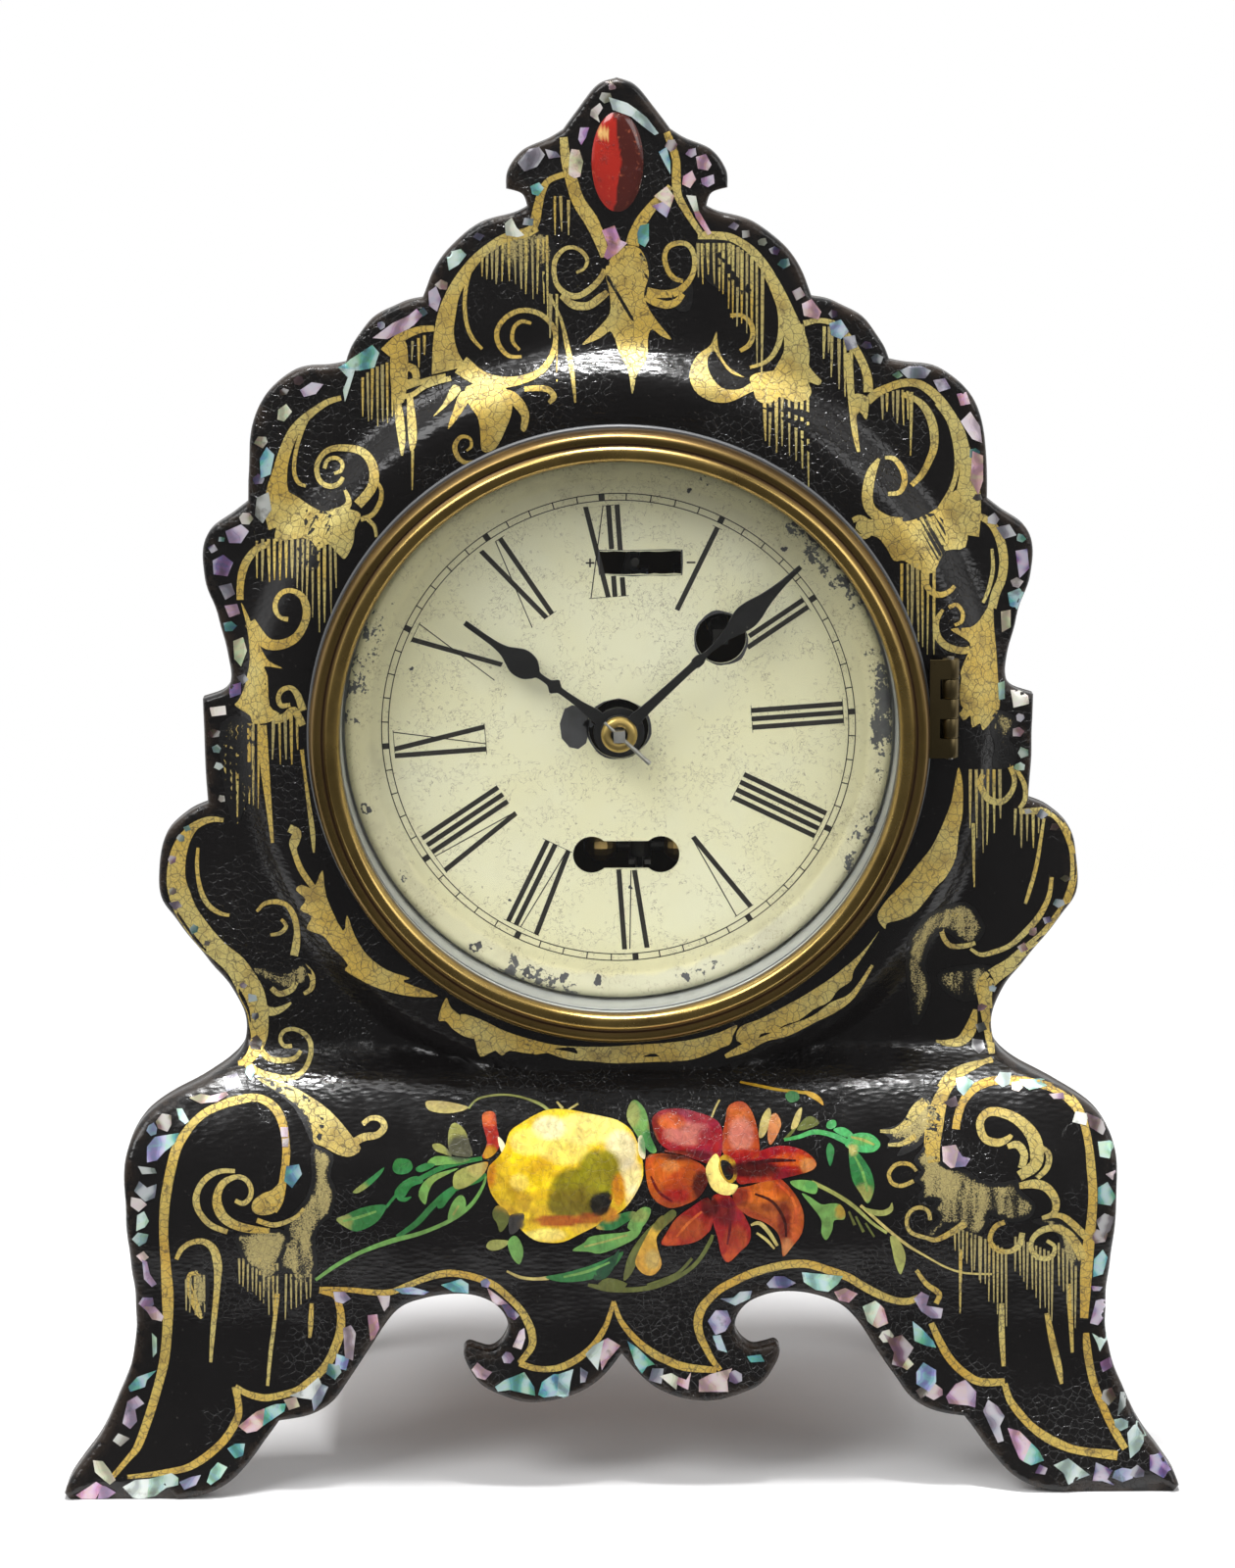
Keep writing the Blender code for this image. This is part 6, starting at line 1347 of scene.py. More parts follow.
    (240, 1195, 4, 225, 1195, 5, 212, 1201, 6, 203, 1212, 6, 200, 1225, 7, 204, 1238, 6, 215, 1250, 6, 232, 1257, 5),
    (275, 1256, 5, 255, 1254, 8, 240, 1250, 9, 228, 1242, 10, 222, 1230, 10, 222, 1218, 8, 228, 1207, 7, 240, 1201,
     5, 250, 1203, 5, 256, 1212, 5, 255, 1222, 5, 248, 1228, 5, 240, 1225, 4),
    (262, 1245, 5, 280, 1250, 5, 300, 1243, 4, 310, 1233, 3),
    (180, 1285, 4, 185, 1275, 5, 195, 1268, 5, 208, 1267, 6, 218, 1275, 8, 222, 1290, 9, 222, 1305, 7, 220, 1330, 6,
     217, 1360, 5, 215, 1390, 3), (205, 1300, 4, 194, 1300, 4, 193, 1312, 6, 197, 1325, 8, 203, 1340, 6, 206, 1345, 3),
    (283, 1320, 5, 280, 1350, 4, 276, 1380, 4, 273, 1414, 3), (318, 1330, 4, 317, 1350, 5, 316, 1365, 3),
    (1012, 1080, 4, 998, 1086, 6, 982, 1094, 8, 970, 1104, 11, 962, 1116, 13, 957, 1130, 16, 953, 1150, 18, 951,
     1170, 16, 953, 1186, 12), (898, 1154, 3, 912, 1154, 5, 925, 1146, 8, 935, 1132, 11, 944, 1124, 10),
    (906, 1168, 3, 920, 1167, 5, 934, 1159, 6),
    (935, 1195, 3, 928, 1188, 4, 915, 1188, 4, 907, 1197, 4, 910, 1207, 4, 920, 1210, 4, 932, 1205, 4),
    (949, 1245, 4, 947, 1236, 4, 938, 1232, 4, 928, 1237, 4, 925, 1248, 4, 930, 1258, 4, 945, 1263, 4, 955, 1265, 5,
     970, 1258, 6, 985, 1248, 8),
    (1032, 1158, 4, 1028, 1162, 6, 1018, 1166, 8, 1005, 1162, 8, 1000, 1150, 8, 1002, 1140, 8, 1012, 1134, 9, 1030,
     1138, 10, 1045, 1148, 12, 1055, 1162, 14, 1058, 1178, 14, 1055, 1190, 12, 1040, 1200, 10),
    (1028, 1170, 5, 1038, 1168, 8, 1045, 1178, 8, 1042, 1192, 7),
    (1062, 1170, 4, 1070, 1178, 6, 1068, 1192, 6, 1058, 1202, 5),
    (1040, 1210, 6, 1055, 1208, 9, 1068, 1212, 9, 1077, 1225, 8, 1075, 1238, 6, 1063, 1243, 4),
    (1063, 1243, 4, 1078, 1240, 5, 1090, 1245, 7, 1108, 1262, 8),
    (1105, 1285, 10, 1098, 1270, 10, 1088, 1258, 9, 1075, 1253, 7, 1062, 1256, 6, 1053, 1265, 5, 1053, 1277, 5, 1062,
     1284, 5, 1073, 1282, 5, 1076, 1272, 4, 1068, 1266, 4),
    (1025, 1247, 5, 1015, 1252, 5, 1010, 1265, 5, 1017, 1275, 5, 1030, 1277, 5, 1040, 1270, 6, 1043, 1258, 6),
    (1022, 1330, 5, 1022, 1360, 6, 1024, 1394, 4), (1068, 1340, 5, 1074, 1370, 7, 1080, 1395, 7, 1083, 1412, 3),
    (1090, 1310, 5, 1092, 1340, 5, 1094, 1380, 3),
)

# The gold line that runs round the base, inside its pearl border
BORDER_LINES = (
    (278, 1235, 10, 284, 1225, 10, 288, 1210, 8, 292, 1180, 8, 291, 1160, 8, 287, 1142, 9, 278, 1128, 9, 262, 1120,
     8, 240, 1123, 9, 225, 1128, 8, 210, 1135, 8, 198, 1145, 8, 188, 1158, 9, 180, 1172, 10, 175, 1190, 10, 171,
     1210, 10, 168, 1230, 10, 167, 1260, 9, 169, 1290, 10, 171, 1320, 12, 171, 1350, 10, 168, 1385, 10, 161, 1415, 9,
     152, 1445, 9, 141, 1475, 8, 132, 1487, 6, 114, 1508, 5),
    (130, 1507, 4, 150, 1505, 5, 170, 1502, 6, 190, 1498, 7, 205, 1490, 8, 218, 1480, 8, 230, 1468, 8, 240, 1452, 8,
     244, 1438, 7, 240, 1415, 7),
    (240, 1415, 6, 250, 1421, 6, 262, 1425, 7, 275, 1426, 7, 300, 1420, 7, 312, 1413, 8, 325, 1402, 8, 335, 1390, 9,
     342, 1375, 9, 347, 1360, 9, 348, 1345, 8, 346, 1332, 7, 341, 1322, 5, 326, 1317, 5),
    (326, 1315, 4, 355, 1316, 5, 385, 1319, 6, 400, 1318, 6, 415, 1312, 6, 430, 1306, 6, 445, 1301, 7, 460, 1299, 7,
     475, 1301, 7, 490, 1305, 7, 505, 1312, 7, 518, 1323, 7, 530, 1335, 7, 538, 1348, 8, 543, 1362, 8, 542, 1375, 7,
     530, 1391, 6),
    (530, 1391, 6, 545, 1396, 6, 560, 1397, 6, 575, 1394, 7, 590, 1386, 7, 603, 1375, 6, 613, 1362, 6, 620, 1348, 5,
     626, 1328, 4),
    (626, 1328, 4, 632, 1345, 5, 640, 1357, 6, 652, 1370, 7, 665, 1380, 8, 680, 1388, 8, 700, 1395, 8, 731, 1398, 6),
    (735, 1398, 5, 727, 1388, 6, 720, 1375, 7, 714, 1362, 8, 712, 1348, 9, 716, 1335, 9, 724, 1325, 8, 735, 1315, 8,
     750, 1307, 8, 765, 1300, 8, 785, 1294, 8, 805, 1290, 8, 825, 1290, 8, 845, 1296, 8, 865, 1303, 8, 880, 1312, 8,
     895, 1320, 8, 910, 1326, 7, 925, 1328, 7, 937, 1324, 6), (935, 1296, 4, 945, 1310, 5, 958, 1320, 6, 955, 1330, 5),
    (950, 1350, 6, 962, 1375, 8, 972, 1390, 8, 985, 1402, 8, 1000, 1410, 8, 1025, 1410, 7),
    (1025, 1412, 6, 1030, 1428, 7, 1040, 1442, 8, 1052, 1455, 8, 1065, 1465, 9, 1080, 1473, 9, 1100, 1480, 8, 1140,
     1485, 10),
    (1148, 1478, 7, 1140, 1465, 8, 1132, 1450, 8, 1124, 1432, 8, 1117, 1415, 8, 1112, 1395, 8, 1109, 1375, 8, 1108,
     1360, 6),
    (1106, 1345, 8, 1107, 1325, 10, 1108, 1300, 12, 1110, 1275, 12, 1113, 1250, 10, 1115, 1220, 9, 1113, 1190, 9,
     1111, 1170, 8, 1107, 1150, 8, 1102, 1135, 9, 1092, 1122, 10, 1078, 1112, 8, 1060, 1106, 8, 1040, 1103, 10, 1020,
     1102, 9, 1005, 1105, 9, 992, 1112, 9, 982, 1125, 8, 977, 1140, 8, 975, 1152, 8),
)

# Filled gold leaves, as pixel X and pixel Y from corner to corner
GOLD_LEAVES = (
    (620, 268, 618, 280, 622, 300, 622, 320, 610, 335, 600, 345, 594, 352, 612, 345, 622, 338, 627, 345, 632, 360,
     641, 378, 645, 402, 650, 382, 660, 365, 661, 345, 665, 336, 675, 343, 685, 346, 672, 330, 662, 315, 657, 300,
     662, 280, 658, 262, 650, 252, 635, 252), (442, 425, 452, 412, 462, 393, 470, 398, 458, 412),
    (457, 438, 462, 420, 470, 400, 480, 404, 470, 422),
    (475, 395, 500, 390, 520, 400, 522, 420, 515, 440, 505, 458, 492, 460, 490, 440, 487, 425, 478, 412),
    (512, 398, 525, 400, 536, 412, 540, 425, 536, 440, 531, 437, 532, 425, 522, 412),
    (818, 330, 822, 350, 824, 370, 832, 382, 838, 388, 835, 393, 825, 390, 828, 400, 822, 408, 810, 410, 795, 405,
     785, 412, 772, 408, 768, 395, 765, 385, 775, 380, 790, 378, 800, 372),
    (731, 338, 725, 352, 712, 362, 705, 375, 704, 388, 712, 402, 728, 410, 745, 410, 762, 402, 775, 395, 768, 390,
     755, 397, 740, 397, 730, 390, 723, 378, 722, 366, 728, 358, 734, 366, 745, 380, 760, 385, 745, 376, 735, 362,
     732, 350), (870, 405, 878, 402, 886, 408, 884, 428, 877, 420, 871, 428),
    (905, 530, 925, 532, 945, 525, 960, 515, 975, 500, 985, 505, 987, 530, 985, 558, 965, 562, 955, 580, 948, 585,
     935, 580, 922, 572, 912, 572, 905, 560, 895, 548, 880, 545, 873, 538, 878, 528, 888, 530),
    (1012, 615, 1014, 640, 1016, 660, 1018, 690, 1020, 720, 1012, 735, 1003, 745, 1000, 738, 992, 742, 990, 730, 983,
     735, 977, 722, 977, 700, 982, 680, 990, 660, 985, 652, 970, 642, 990, 640, 1000, 632),
    (978, 783, 982, 800, 982, 830, 978, 850, 975, 875, 965, 895, 955, 905, 935, 930, 920, 938, 905, 942, 903, 948,
     895, 935, 905, 918, 922, 900, 938, 880, 950, 865, 960, 845, 970, 820, 974, 800),
    (400, 350, 408, 346, 415, 352, 416, 380, 412, 410, 402, 408, 398, 380),
    (283, 500, 300, 505, 315, 515, 330, 522, 345, 518, 358, 520, 368, 525, 362, 540, 360, 555, 352, 570, 345, 565,
     335, 555, 325, 560, 315, 550, 300, 550, 285, 552, 280, 550, 283, 530),
    (246, 615, 252, 640, 255, 670, 252, 690, 248, 705, 243, 715, 240, 720, 255, 730, 258, 738, 270, 738, 278, 735,
     285, 728, 275, 720, 273, 690, 270, 680, 288, 682, 275, 675, 268, 665, 262, 650, 254, 630),
    (302, 908, 308, 903, 320, 906, 329, 888, 333, 915, 350, 950, 354, 934, 362, 955, 375, 975, 395, 990, 418, 998,
     412, 1002, 447, 1016, 425, 1017, 405, 1014, 385, 1008, 368, 1000, 352, 990, 355, 985, 348, 975, 340, 968, 330,
     955, 313, 948, 318, 935, 306, 928, 312, 918),
    (455, 1018, 460, 1028, 475, 1040, 495, 1052, 515, 1058, 535, 1065, 560, 1068, 560, 1074, 540, 1075, 520, 1072,
     512, 1077, 503, 1070, 497, 1075, 490, 1062, 475, 1058, 462, 1050, 455, 1042, 447, 1040),
    (262, 1100, 290, 1105, 310, 1115, 330, 1128, 345, 1142, 358, 1158, 368, 1172, 358, 1180, 345, 1178, 330, 1170,
     320, 1165, 318, 1150, 305, 1130, 285, 1115),
    (470, 1035, 490, 1040, 515, 1052, 540, 1060, 565, 1066, 590, 1068, 620, 1068, 650, 1066, 680, 1064, 710, 1060,
     735, 1053, 752, 1046, 748, 1056, 744, 1066, 730, 1070, 712, 1076, 692, 1077, 684, 1084, 668, 1075, 656, 1078,
     643, 1085, 636, 1080, 612, 1078, 592, 1081, 586, 1069, 560, 1071, 547, 1076, 530, 1070, 505, 1072, 490, 1078,
     484, 1060, 476, 1050),
    (752, 1062, 770, 1067, 776, 1055, 790, 1053, 800, 1046, 815, 1041, 830, 1030, 846, 1022, 855, 1010, 868, 1001,
     871, 990, 881, 975, 897, 950, 888, 962, 875, 976, 858, 990, 845, 1000, 820, 1016, 800, 1027, 775, 1040, 755,
     1048), (258, 1236, 258, 1226, 268, 1218, 278, 1214, 287, 1206, 289, 1222, 282, 1236, 268, 1240),
)

# Faded gold: a share of gold, then pixel X and pixel Y from corner to corner
DUSTY_LEAVES = (
    (0.62, 490, 248, 560, 236, 566, 300, 540, 290, 505, 268), (0.55, 712, 243, 760, 250, 776, 292, 745, 300, 716, 280),
    (0.58, 622, 262, 660, 258, 662, 310, 640, 330, 620, 300), (0.45, 685, 288, 706, 288, 704, 316, 688, 314),
    (0.50, 936, 528, 962, 530, 962, 575, 940, 578), (0.42, 312, 520, 335, 518, 338, 545, 314, 546),
    (0.42, 305, 552, 326, 553, 324, 580, 306, 578), (0.46, 225, 738, 258, 738, 256, 800, 240, 842, 228, 800),
    (0.55, 250, 985, 270, 985, 285, 990, 300, 985, 310, 980, 316, 985, 318, 1000, 306, 1008, 290, 1012, 275, 1005,
     262, 998),
    (0.56, 1015, 725, 1030, 728, 1040, 735, 1035, 745, 1030, 755, 1038, 765, 1035, 780, 1020, 785, 1012, 780, 1015,
     760, 1010, 745),
    (0.55, 948, 932, 985, 920, 1005, 945, 996, 962, 985, 965, 962, 950, 950, 965, 944, 985, 950, 1005, 945, 1030,
     932, 1045, 924, 990, 928, 955), (0.50, 960, 990, 1010, 985, 1012, 1010, 985, 1022, 962, 1010),
    (0.60, 318, 1170, 340, 1178, 337, 1200, 343, 1215, 338, 1240, 330, 1247, 322, 1262, 324, 1290, 321, 1302, 310,
     1312, 300, 1320, 296, 1300, 284, 1297, 280, 1290, 285, 1270, 292, 1262, 290, 1252, 297, 1240, 312, 1222, 318,
     1200),
    (0.60, 248, 1256, 285, 1254, 296, 1262, 290, 1280, 284, 1300, 270, 1330, 262, 1300, 250, 1290, 243, 1275, 240,
     1262), (0.60, 193, 1297, 200, 1292, 210, 1298, 214, 1318, 208, 1345, 202, 1338, 194, 1315),
    (0.60, 957, 1150, 958, 1180, 968, 1190, 985, 1193, 1000, 1203, 1020, 1207, 1036, 1204, 1042, 1215, 1056, 1228,
     1053, 1240, 1043, 1246, 1028, 1247, 1010, 1240, 1008, 1252, 994, 1264, 984, 1258, 968, 1252, 955, 1263, 942,
     1268, 946, 1254, 958, 1242, 948, 1234, 956, 1226, 936, 1223, 941, 1212, 932, 1204, 940, 1194, 932, 1184, 942,
     1170, 945, 1152),
    (0.60, 952, 1122, 940, 1117, 930, 1133, 915, 1148, 898, 1153, 908, 1162, 905, 1172, 922, 1166, 915, 1180, 935,
     1172, 948, 1158, 962, 1140),
    (0.62, 1052, 1246, 1072, 1242, 1090, 1250, 1104, 1268, 1100, 1296, 1085, 1290, 1080, 1262, 1066, 1252),
    (0.50, 262, 1100, 300, 1112, 330, 1135, 322, 1172, 300, 1130),
)

# Gold drips, as pixel X, top and bottom
GOLD_DRIPS = (
    (492, 260, 282), (497, 255, 285), (502, 252, 285), (507, 250, 290), (513, 248, 287), (519, 246, 287),
    (525, 244, 290), (531, 243, 295), (537, 243, 300), (543, 243, 305), (549, 243, 300), (554, 243, 310),
    (558, 240, 330), (562, 300, 345), (568, 300, 390), (566, 200, 240), (572, 200, 236), (580, 204, 240),
    (712, 248, 283), (716, 248, 290), (722, 248, 280), (728, 248, 290), (734, 248, 297), (738, 248, 300),
    (744, 248, 315), (748, 250, 325), (753, 252, 333), (757, 255, 330), (762, 258, 340), (767, 262, 345),
    (772, 268, 375), (778, 275, 390), (780, 405, 450), (786, 405, 455), (792, 405, 462), (798, 405, 455),
    (805, 405, 465), (812, 405, 470), (818, 405, 478), (824, 405, 500), (841, 333, 366), (846, 333, 360),
    (849, 335, 385), (856, 337, 397), (862, 342, 405), (868, 350, 420), (900, 403, 428), (905, 401, 420),
    (911, 399, 425), (916, 398, 432), (921, 398, 434), (926, 399, 428), (930, 400, 465), (920, 575, 640),
    (926, 575, 645), (931, 575, 650), (936, 575, 655), (941, 575, 660), (947, 580, 668), (953, 580, 668),
    (990, 785, 845), (996, 785, 855), (1002, 785, 870), (1008, 785, 862), (1014, 785, 850), (1020, 785, 835),
    (993, 840, 905), (1036, 825, 852), (1042, 825, 865), (1048, 826, 858), (1054, 827, 865), (1060, 828, 850),
    (370, 385, 425), (375, 380, 430), (380, 376, 428), (385, 374, 435), (390, 372, 430), (395, 370, 432),
    (401, 368, 425), (421, 348, 368), (427, 345, 375), (433, 342, 362), (421, 460, 500), (262, 552, 590),
    (268, 550, 593), (274, 550, 594), (280, 550, 592), (286, 550, 592), (292, 550, 590), (298, 550, 590),
    (304, 550, 600), (309, 550, 605), (314, 550, 615), (319, 555, 630), (325, 555, 645), (331, 555, 635),
    (337, 556, 628), (342, 560, 600), (254, 738, 820), (258, 738, 822), (264, 738, 825), (279, 735, 775),
    (285, 733, 780), (291, 732, 775), (297, 730, 780), (303, 735, 765), (230, 745, 800), (236, 742, 815),
    (242, 740, 840), (248, 740, 826), (980, 1275, 1340),
)

# Fans of fine drips: left and right X, tops and bottoms at left and right, pixels between them
GOLD_FANS = (
    (244, 264, 1284, 1284, 1312, 1322, 4.5), (265, 287, 1284, 1290, 1332, 1345, 4.5),
    (292, 322, 1300, 1300, 1342, 1322, 5.0), (190, 212, 1305, 1300, 1335, 1345, 4.5),
    (974, 1001, 1252, 1262, 1276, 1306, 4.2), (1001, 1028, 1262, 1276, 1308, 1352, 4.2),
    (1036, 1078, 1262, 1280, 1296, 1350, 4.2), (1080, 1098, 1268, 1292, 1310, 1352, 4.4),
)


class Pearl(Enum):
    """Tints of the mother of pearl chips."""

    WHITE = (0.74, 0.72, 0.69)
    PINK = (0.60, 0.34, 0.42)
    LILAC = (0.40, 0.30, 0.48)
    VIOLET = (0.20, 0.12, 0.30)
    TEAL = (0.14, 0.46, 0.44)
    MINT = (0.44, 0.70, 0.58)
    BLUE = (0.28, 0.40, 0.56)
    GREY = (0.23, 0.24, 0.26)
    CREAM = (0.70, 0.63, 0.44)
    BROWN = (0.20, 0.14, 0.12)


# Mother of pearl chips: tint, then pixel X and pixel Y from corner to corner
PEARL_CHIPS = (
    (Pearl.BROWN, 617, 84, 627, 81, 632, 80, 628, 91, 622, 92),
    (Pearl.WHITE, 621, 99, 640, 105, 650, 112, 644, 119, 625, 112),
    (Pearl.MINT, 650, 112, 660, 120, 672, 136, 668, 138, 655, 128, 644, 119),
    (Pearl.CREAM, 612, 105, 615, 110, 610, 118, 612, 125, 602, 118, 603, 112),
    (Pearl.LILAC, 592, 130, 601, 130, 598, 140, 593, 148, 590, 142),
    (Pearl.CREAM, 583, 152, 591, 153, 595, 165, 592, 180, 586, 182, 580, 178, 581, 160),
    (Pearl.GREY, 528, 166, 540, 152, 550, 150, 556, 158, 548, 170, 535, 175),
    (Pearl.GREY, 556, 152, 568, 155, 572, 160, 560, 162),
    (Pearl.TEAL, 541, 190, 550, 186, 555, 192, 549, 200, 543, 198),
    (Pearl.PINK, 710, 160, 720, 157, 726, 168, 722, 174, 712, 172),
    (Pearl.PINK, 697, 180, 706, 174, 710, 183, 704, 192, 696, 188),
    (Pearl.LILAC, 715, 182, 728, 178, 729, 187, 722, 191, 716, 188),
    (Pearl.TEAL, 672, 155, 680, 150, 684, 165, 684, 178, 677, 165),
    (Pearl.CREAM, 667, 200, 680, 190, 688, 200, 684, 212, 676, 206),
    (Pearl.LILAC, 676, 206, 684, 212, 680, 222, 672, 216, 665, 210),
    (Pearl.TEAL, 653, 230, 662, 228, 662, 245, 658, 252, 651, 248, 650, 238),
    (Pearl.PINK, 614, 235, 627, 230, 633, 245, 640, 248, 630, 258, 620, 265, 616, 262, 620, 250),
    (Pearl.WHITE, 700, 199, 710, 200, 713, 215, 708, 216),
    (Pearl.PINK, 708, 216, 713, 215, 726, 238, 722, 240, 710, 222),
    (Pearl.WHITE, 515, 228, 522, 222, 527, 232, 535, 240, 528, 242, 516, 240),
    (Pearl.MINT, 455, 258, 470, 254, 476, 260, 468, 270, 458, 276),
    (Pearl.VIOLET, 437, 298, 445, 292, 450, 305, 446, 318, 438, 312),
    (Pearl.PINK, 402, 335, 412, 326, 425, 315, 431, 322, 422, 332, 408, 340),
    (Pearl.LILAC, 306, 398, 318, 390, 330, 392, 322, 402, 310, 405),
    (Pearl.TEAL, 345, 375, 352, 370, 380, 352, 387, 360, 382, 375, 368, 378),
    (Pearl.MINT, 345, 375, 368, 378, 362, 378, 357, 395, 352, 410, 350, 398, 355, 385),
    (Pearl.PINK, 380, 345, 400, 330, 425, 318, 430, 322, 418, 335, 395, 346),
    (Pearl.CREAM, 284, 418, 292, 412, 298, 420, 290, 430, 283, 428),
    (Pearl.TEAL, 265, 468, 272, 456, 280, 464, 276, 484, 266, 488),
    (Pearl.GREY, 262, 508, 274, 502, 277, 520, 268, 534, 260, 526),
    (Pearl.LILAC, 230, 542, 246, 535, 254, 542, 246, 554, 234, 554),
    (Pearl.VIOLET, 217, 572, 228, 566, 238, 574, 232, 588, 218, 586),
    (Pearl.GREY, 223, 598, 236, 595, 240, 606, 230, 612), (Pearl.LILAC, 229, 618, 242, 616, 245, 626, 234, 630),
    (Pearl.CREAM, 238, 654, 248, 650, 252, 664, 246, 680, 239, 672),
    (Pearl.VIOLET, 233, 700, 246, 696, 246, 708, 235, 712), (Pearl.WHITE, 214, 722, 230, 720, 231, 729, 216, 731),
    (Pearl.PINK, 818, 310, 828, 305, 838, 318, 835, 326, 820, 322),
    (Pearl.BLUE, 846, 330, 858, 326, 866, 338, 858, 346, 848, 342),
    (Pearl.GREY, 860, 344, 872, 342, 875, 354, 864, 358),
    (Pearl.GREY, 918, 378, 934, 371, 950, 378, 944, 386, 926, 386),
    (Pearl.LILAC, 952, 388, 964, 386, 970, 396, 958, 400), (Pearl.PINK, 976, 402, 986, 400, 990, 412, 980, 414),
    (Pearl.WHITE, 980, 430, 990, 420, 1000, 435, 1002, 452, 992, 448, 985, 438),
    (Pearl.PINK, 992, 460, 1003, 465, 1003, 490, 998, 505, 990, 490),
    (Pearl.GREY, 1016, 538, 1030, 535, 1037, 546, 1024, 550),
    (Pearl.VIOLET, 1036, 562, 1048, 560, 1050, 580, 1040, 590),
    (Pearl.TEAL, 1028, 605, 1040, 600, 1045, 605, 1038, 622, 1030, 618),
    (Pearl.CREAM, 1021, 624, 1031, 622, 1031, 640, 1022, 645),
    (Pearl.MINT, 1018, 697, 1025, 695, 1025, 713, 1019, 714),
    (Pearl.WHITE, 1031, 704, 1048, 702, 1050, 718, 1034, 722),
    (Pearl.CREAM, 193, 1120, 205, 1116, 214, 1118, 211, 1125, 205, 1126),
    (Pearl.PINK, 214, 1118, 231, 1114, 233, 1117, 222, 1124, 211, 1125),
    (Pearl.MINT, 180, 1131, 186, 1131, 193, 1144, 189, 1147, 183, 1142),
    (Pearl.BLUE, 150, 1170, 158, 1160, 170, 1158, 168, 1175, 160, 1184, 150, 1186),
    (Pearl.TEAL, 170, 1158, 183, 1156, 178, 1167, 168, 1175), (Pearl.GREY, 141, 1190, 158, 1192, 160, 1197, 145, 1198),
    (Pearl.GREY, 142, 1205, 150, 1212, 160, 1208, 158, 1222, 148, 1226, 137, 1215),
    (Pearl.MINT, 140, 1240, 147, 1236, 152, 1246, 148, 1252, 139, 1256),
    (Pearl.LILAC, 145, 1285, 150, 1287, 153, 1300, 160, 1310, 155, 1313, 147, 1305),
    (Pearl.PINK, 147, 1333, 158, 1333, 167, 1343, 165, 1348, 155, 1346),
    (Pearl.MINT, 155, 1360, 160, 1365, 160, 1380, 156, 1385),
    (Pearl.TEAL, 160, 1398, 150, 1408, 148, 1415, 133, 1420, 131, 1415, 140, 1405),
    (Pearl.LILAC, 130, 1430, 140, 1424, 147, 1432, 138, 1438, 140, 1450, 133, 1458, 125, 1452),
    (Pearl.CREAM, 95, 1490, 105, 1491, 112, 1500, 118, 1510, 112, 1515, 97, 1502),
    (Pearl.PINK, 77, 1527, 90, 1518, 98, 1512, 104, 1516, 98, 1532, 95, 1533, 80, 1533),
    (Pearl.LILAC, 104, 1516, 108, 1517, 118, 1524, 110, 1530, 98, 1532),
    (Pearl.WHITE, 125, 1518, 138, 1510, 152, 1509, 150, 1530, 148, 1532, 135, 1530),
    (Pearl.MINT, 152, 1509, 175, 1503, 182, 1508, 182, 1515, 170, 1518, 158, 1528, 150, 1530),
    (Pearl.LILAC, 183, 1512, 195, 1507, 205, 1505, 200, 1515, 188, 1520),
    (Pearl.MINT, 211, 1512, 215, 1500, 222, 1492, 232, 1497, 225, 1508, 215, 1515),
    (Pearl.TEAL, 232, 1478, 240, 1473, 250, 1473, 248, 1485, 240, 1488),
    (Pearl.PINK, 243, 1455, 262, 1440, 270, 1437, 268, 1455, 262, 1460, 252, 1462),
    (Pearl.TEAL, 270, 1437, 280, 1433, 292, 1432, 290, 1440, 268, 1455),
    (Pearl.WHITE, 295, 1424, 310, 1418, 325, 1405, 328, 1412, 318, 1428, 305, 1426),
    (Pearl.BLUE, 328, 1412, 335, 1415, 328, 1430, 320, 1440, 318, 1428),
    (Pearl.WHITE, 286, 1150, 294, 1150, 294, 1160, 287, 1160),
    (Pearl.WHITE, 288, 1162, 295, 1161, 294, 1170, 288, 1170),
    (Pearl.TEAL, 292, 1190, 305, 1188, 308, 1198, 298, 1212, 290, 1205),
    (Pearl.LILAC, 350, 1355, 358, 1352, 363, 1360, 360, 1388, 352, 1385),
    (Pearl.PINK, 375, 1342, 385, 1341, 387, 1355, 382, 1366, 378, 1368),
    (Pearl.LILAC, 340, 1318, 352, 1318, 358, 1325, 350, 1330, 342, 1328),
    (Pearl.PINK, 385, 1322, 398, 1322, 397, 1332, 392, 1338),
    (Pearl.BLUE, 402, 1315, 420, 1313, 438, 1318, 432, 1321, 410, 1320),
    (Pearl.TEAL, 450, 1311, 470, 1305, 478, 1310, 478, 1320, 462, 1318),
    (Pearl.PINK, 497, 1314, 508, 1322, 518, 1330, 508, 1335, 502, 1328),
    (Pearl.VIOLET, 512, 1332, 518, 1330, 530, 1342, 525, 1347, 518, 1343),
    (Pearl.WHITE, 530, 1358, 535, 1355, 536, 1365, 532, 1377, 523, 1374),
    (Pearl.PINK, 481, 1398, 487, 1390, 495, 1397, 502, 1400, 495, 1408, 487, 1406),
    (Pearl.TEAL, 505, 1415, 515, 1408, 535, 1400, 545, 1415, 546, 1424, 520, 1418, 508, 1420),
    (Pearl.TEAL, 549, 1423, 553, 1410, 565, 1402, 570, 1402, 568, 1424, 555, 1426),
    (Pearl.MINT, 570, 1402, 585, 1397, 582, 1410, 580, 1425, 575, 1430, 568, 1424),
    (Pearl.GREY, 592, 1395, 600, 1400, 597, 1410, 592, 1411),
    (Pearl.WHITE, 597, 1382, 605, 1373, 616, 1367, 612, 1386, 610, 1398),
    (Pearl.PINK, 616, 1367, 620, 1365, 633, 1373, 620, 1388, 614, 1398, 612, 1386),
    (Pearl.TEAL, 640, 1368, 650, 1375, 668, 1392, 660, 1394, 655, 1402, 648, 1392),
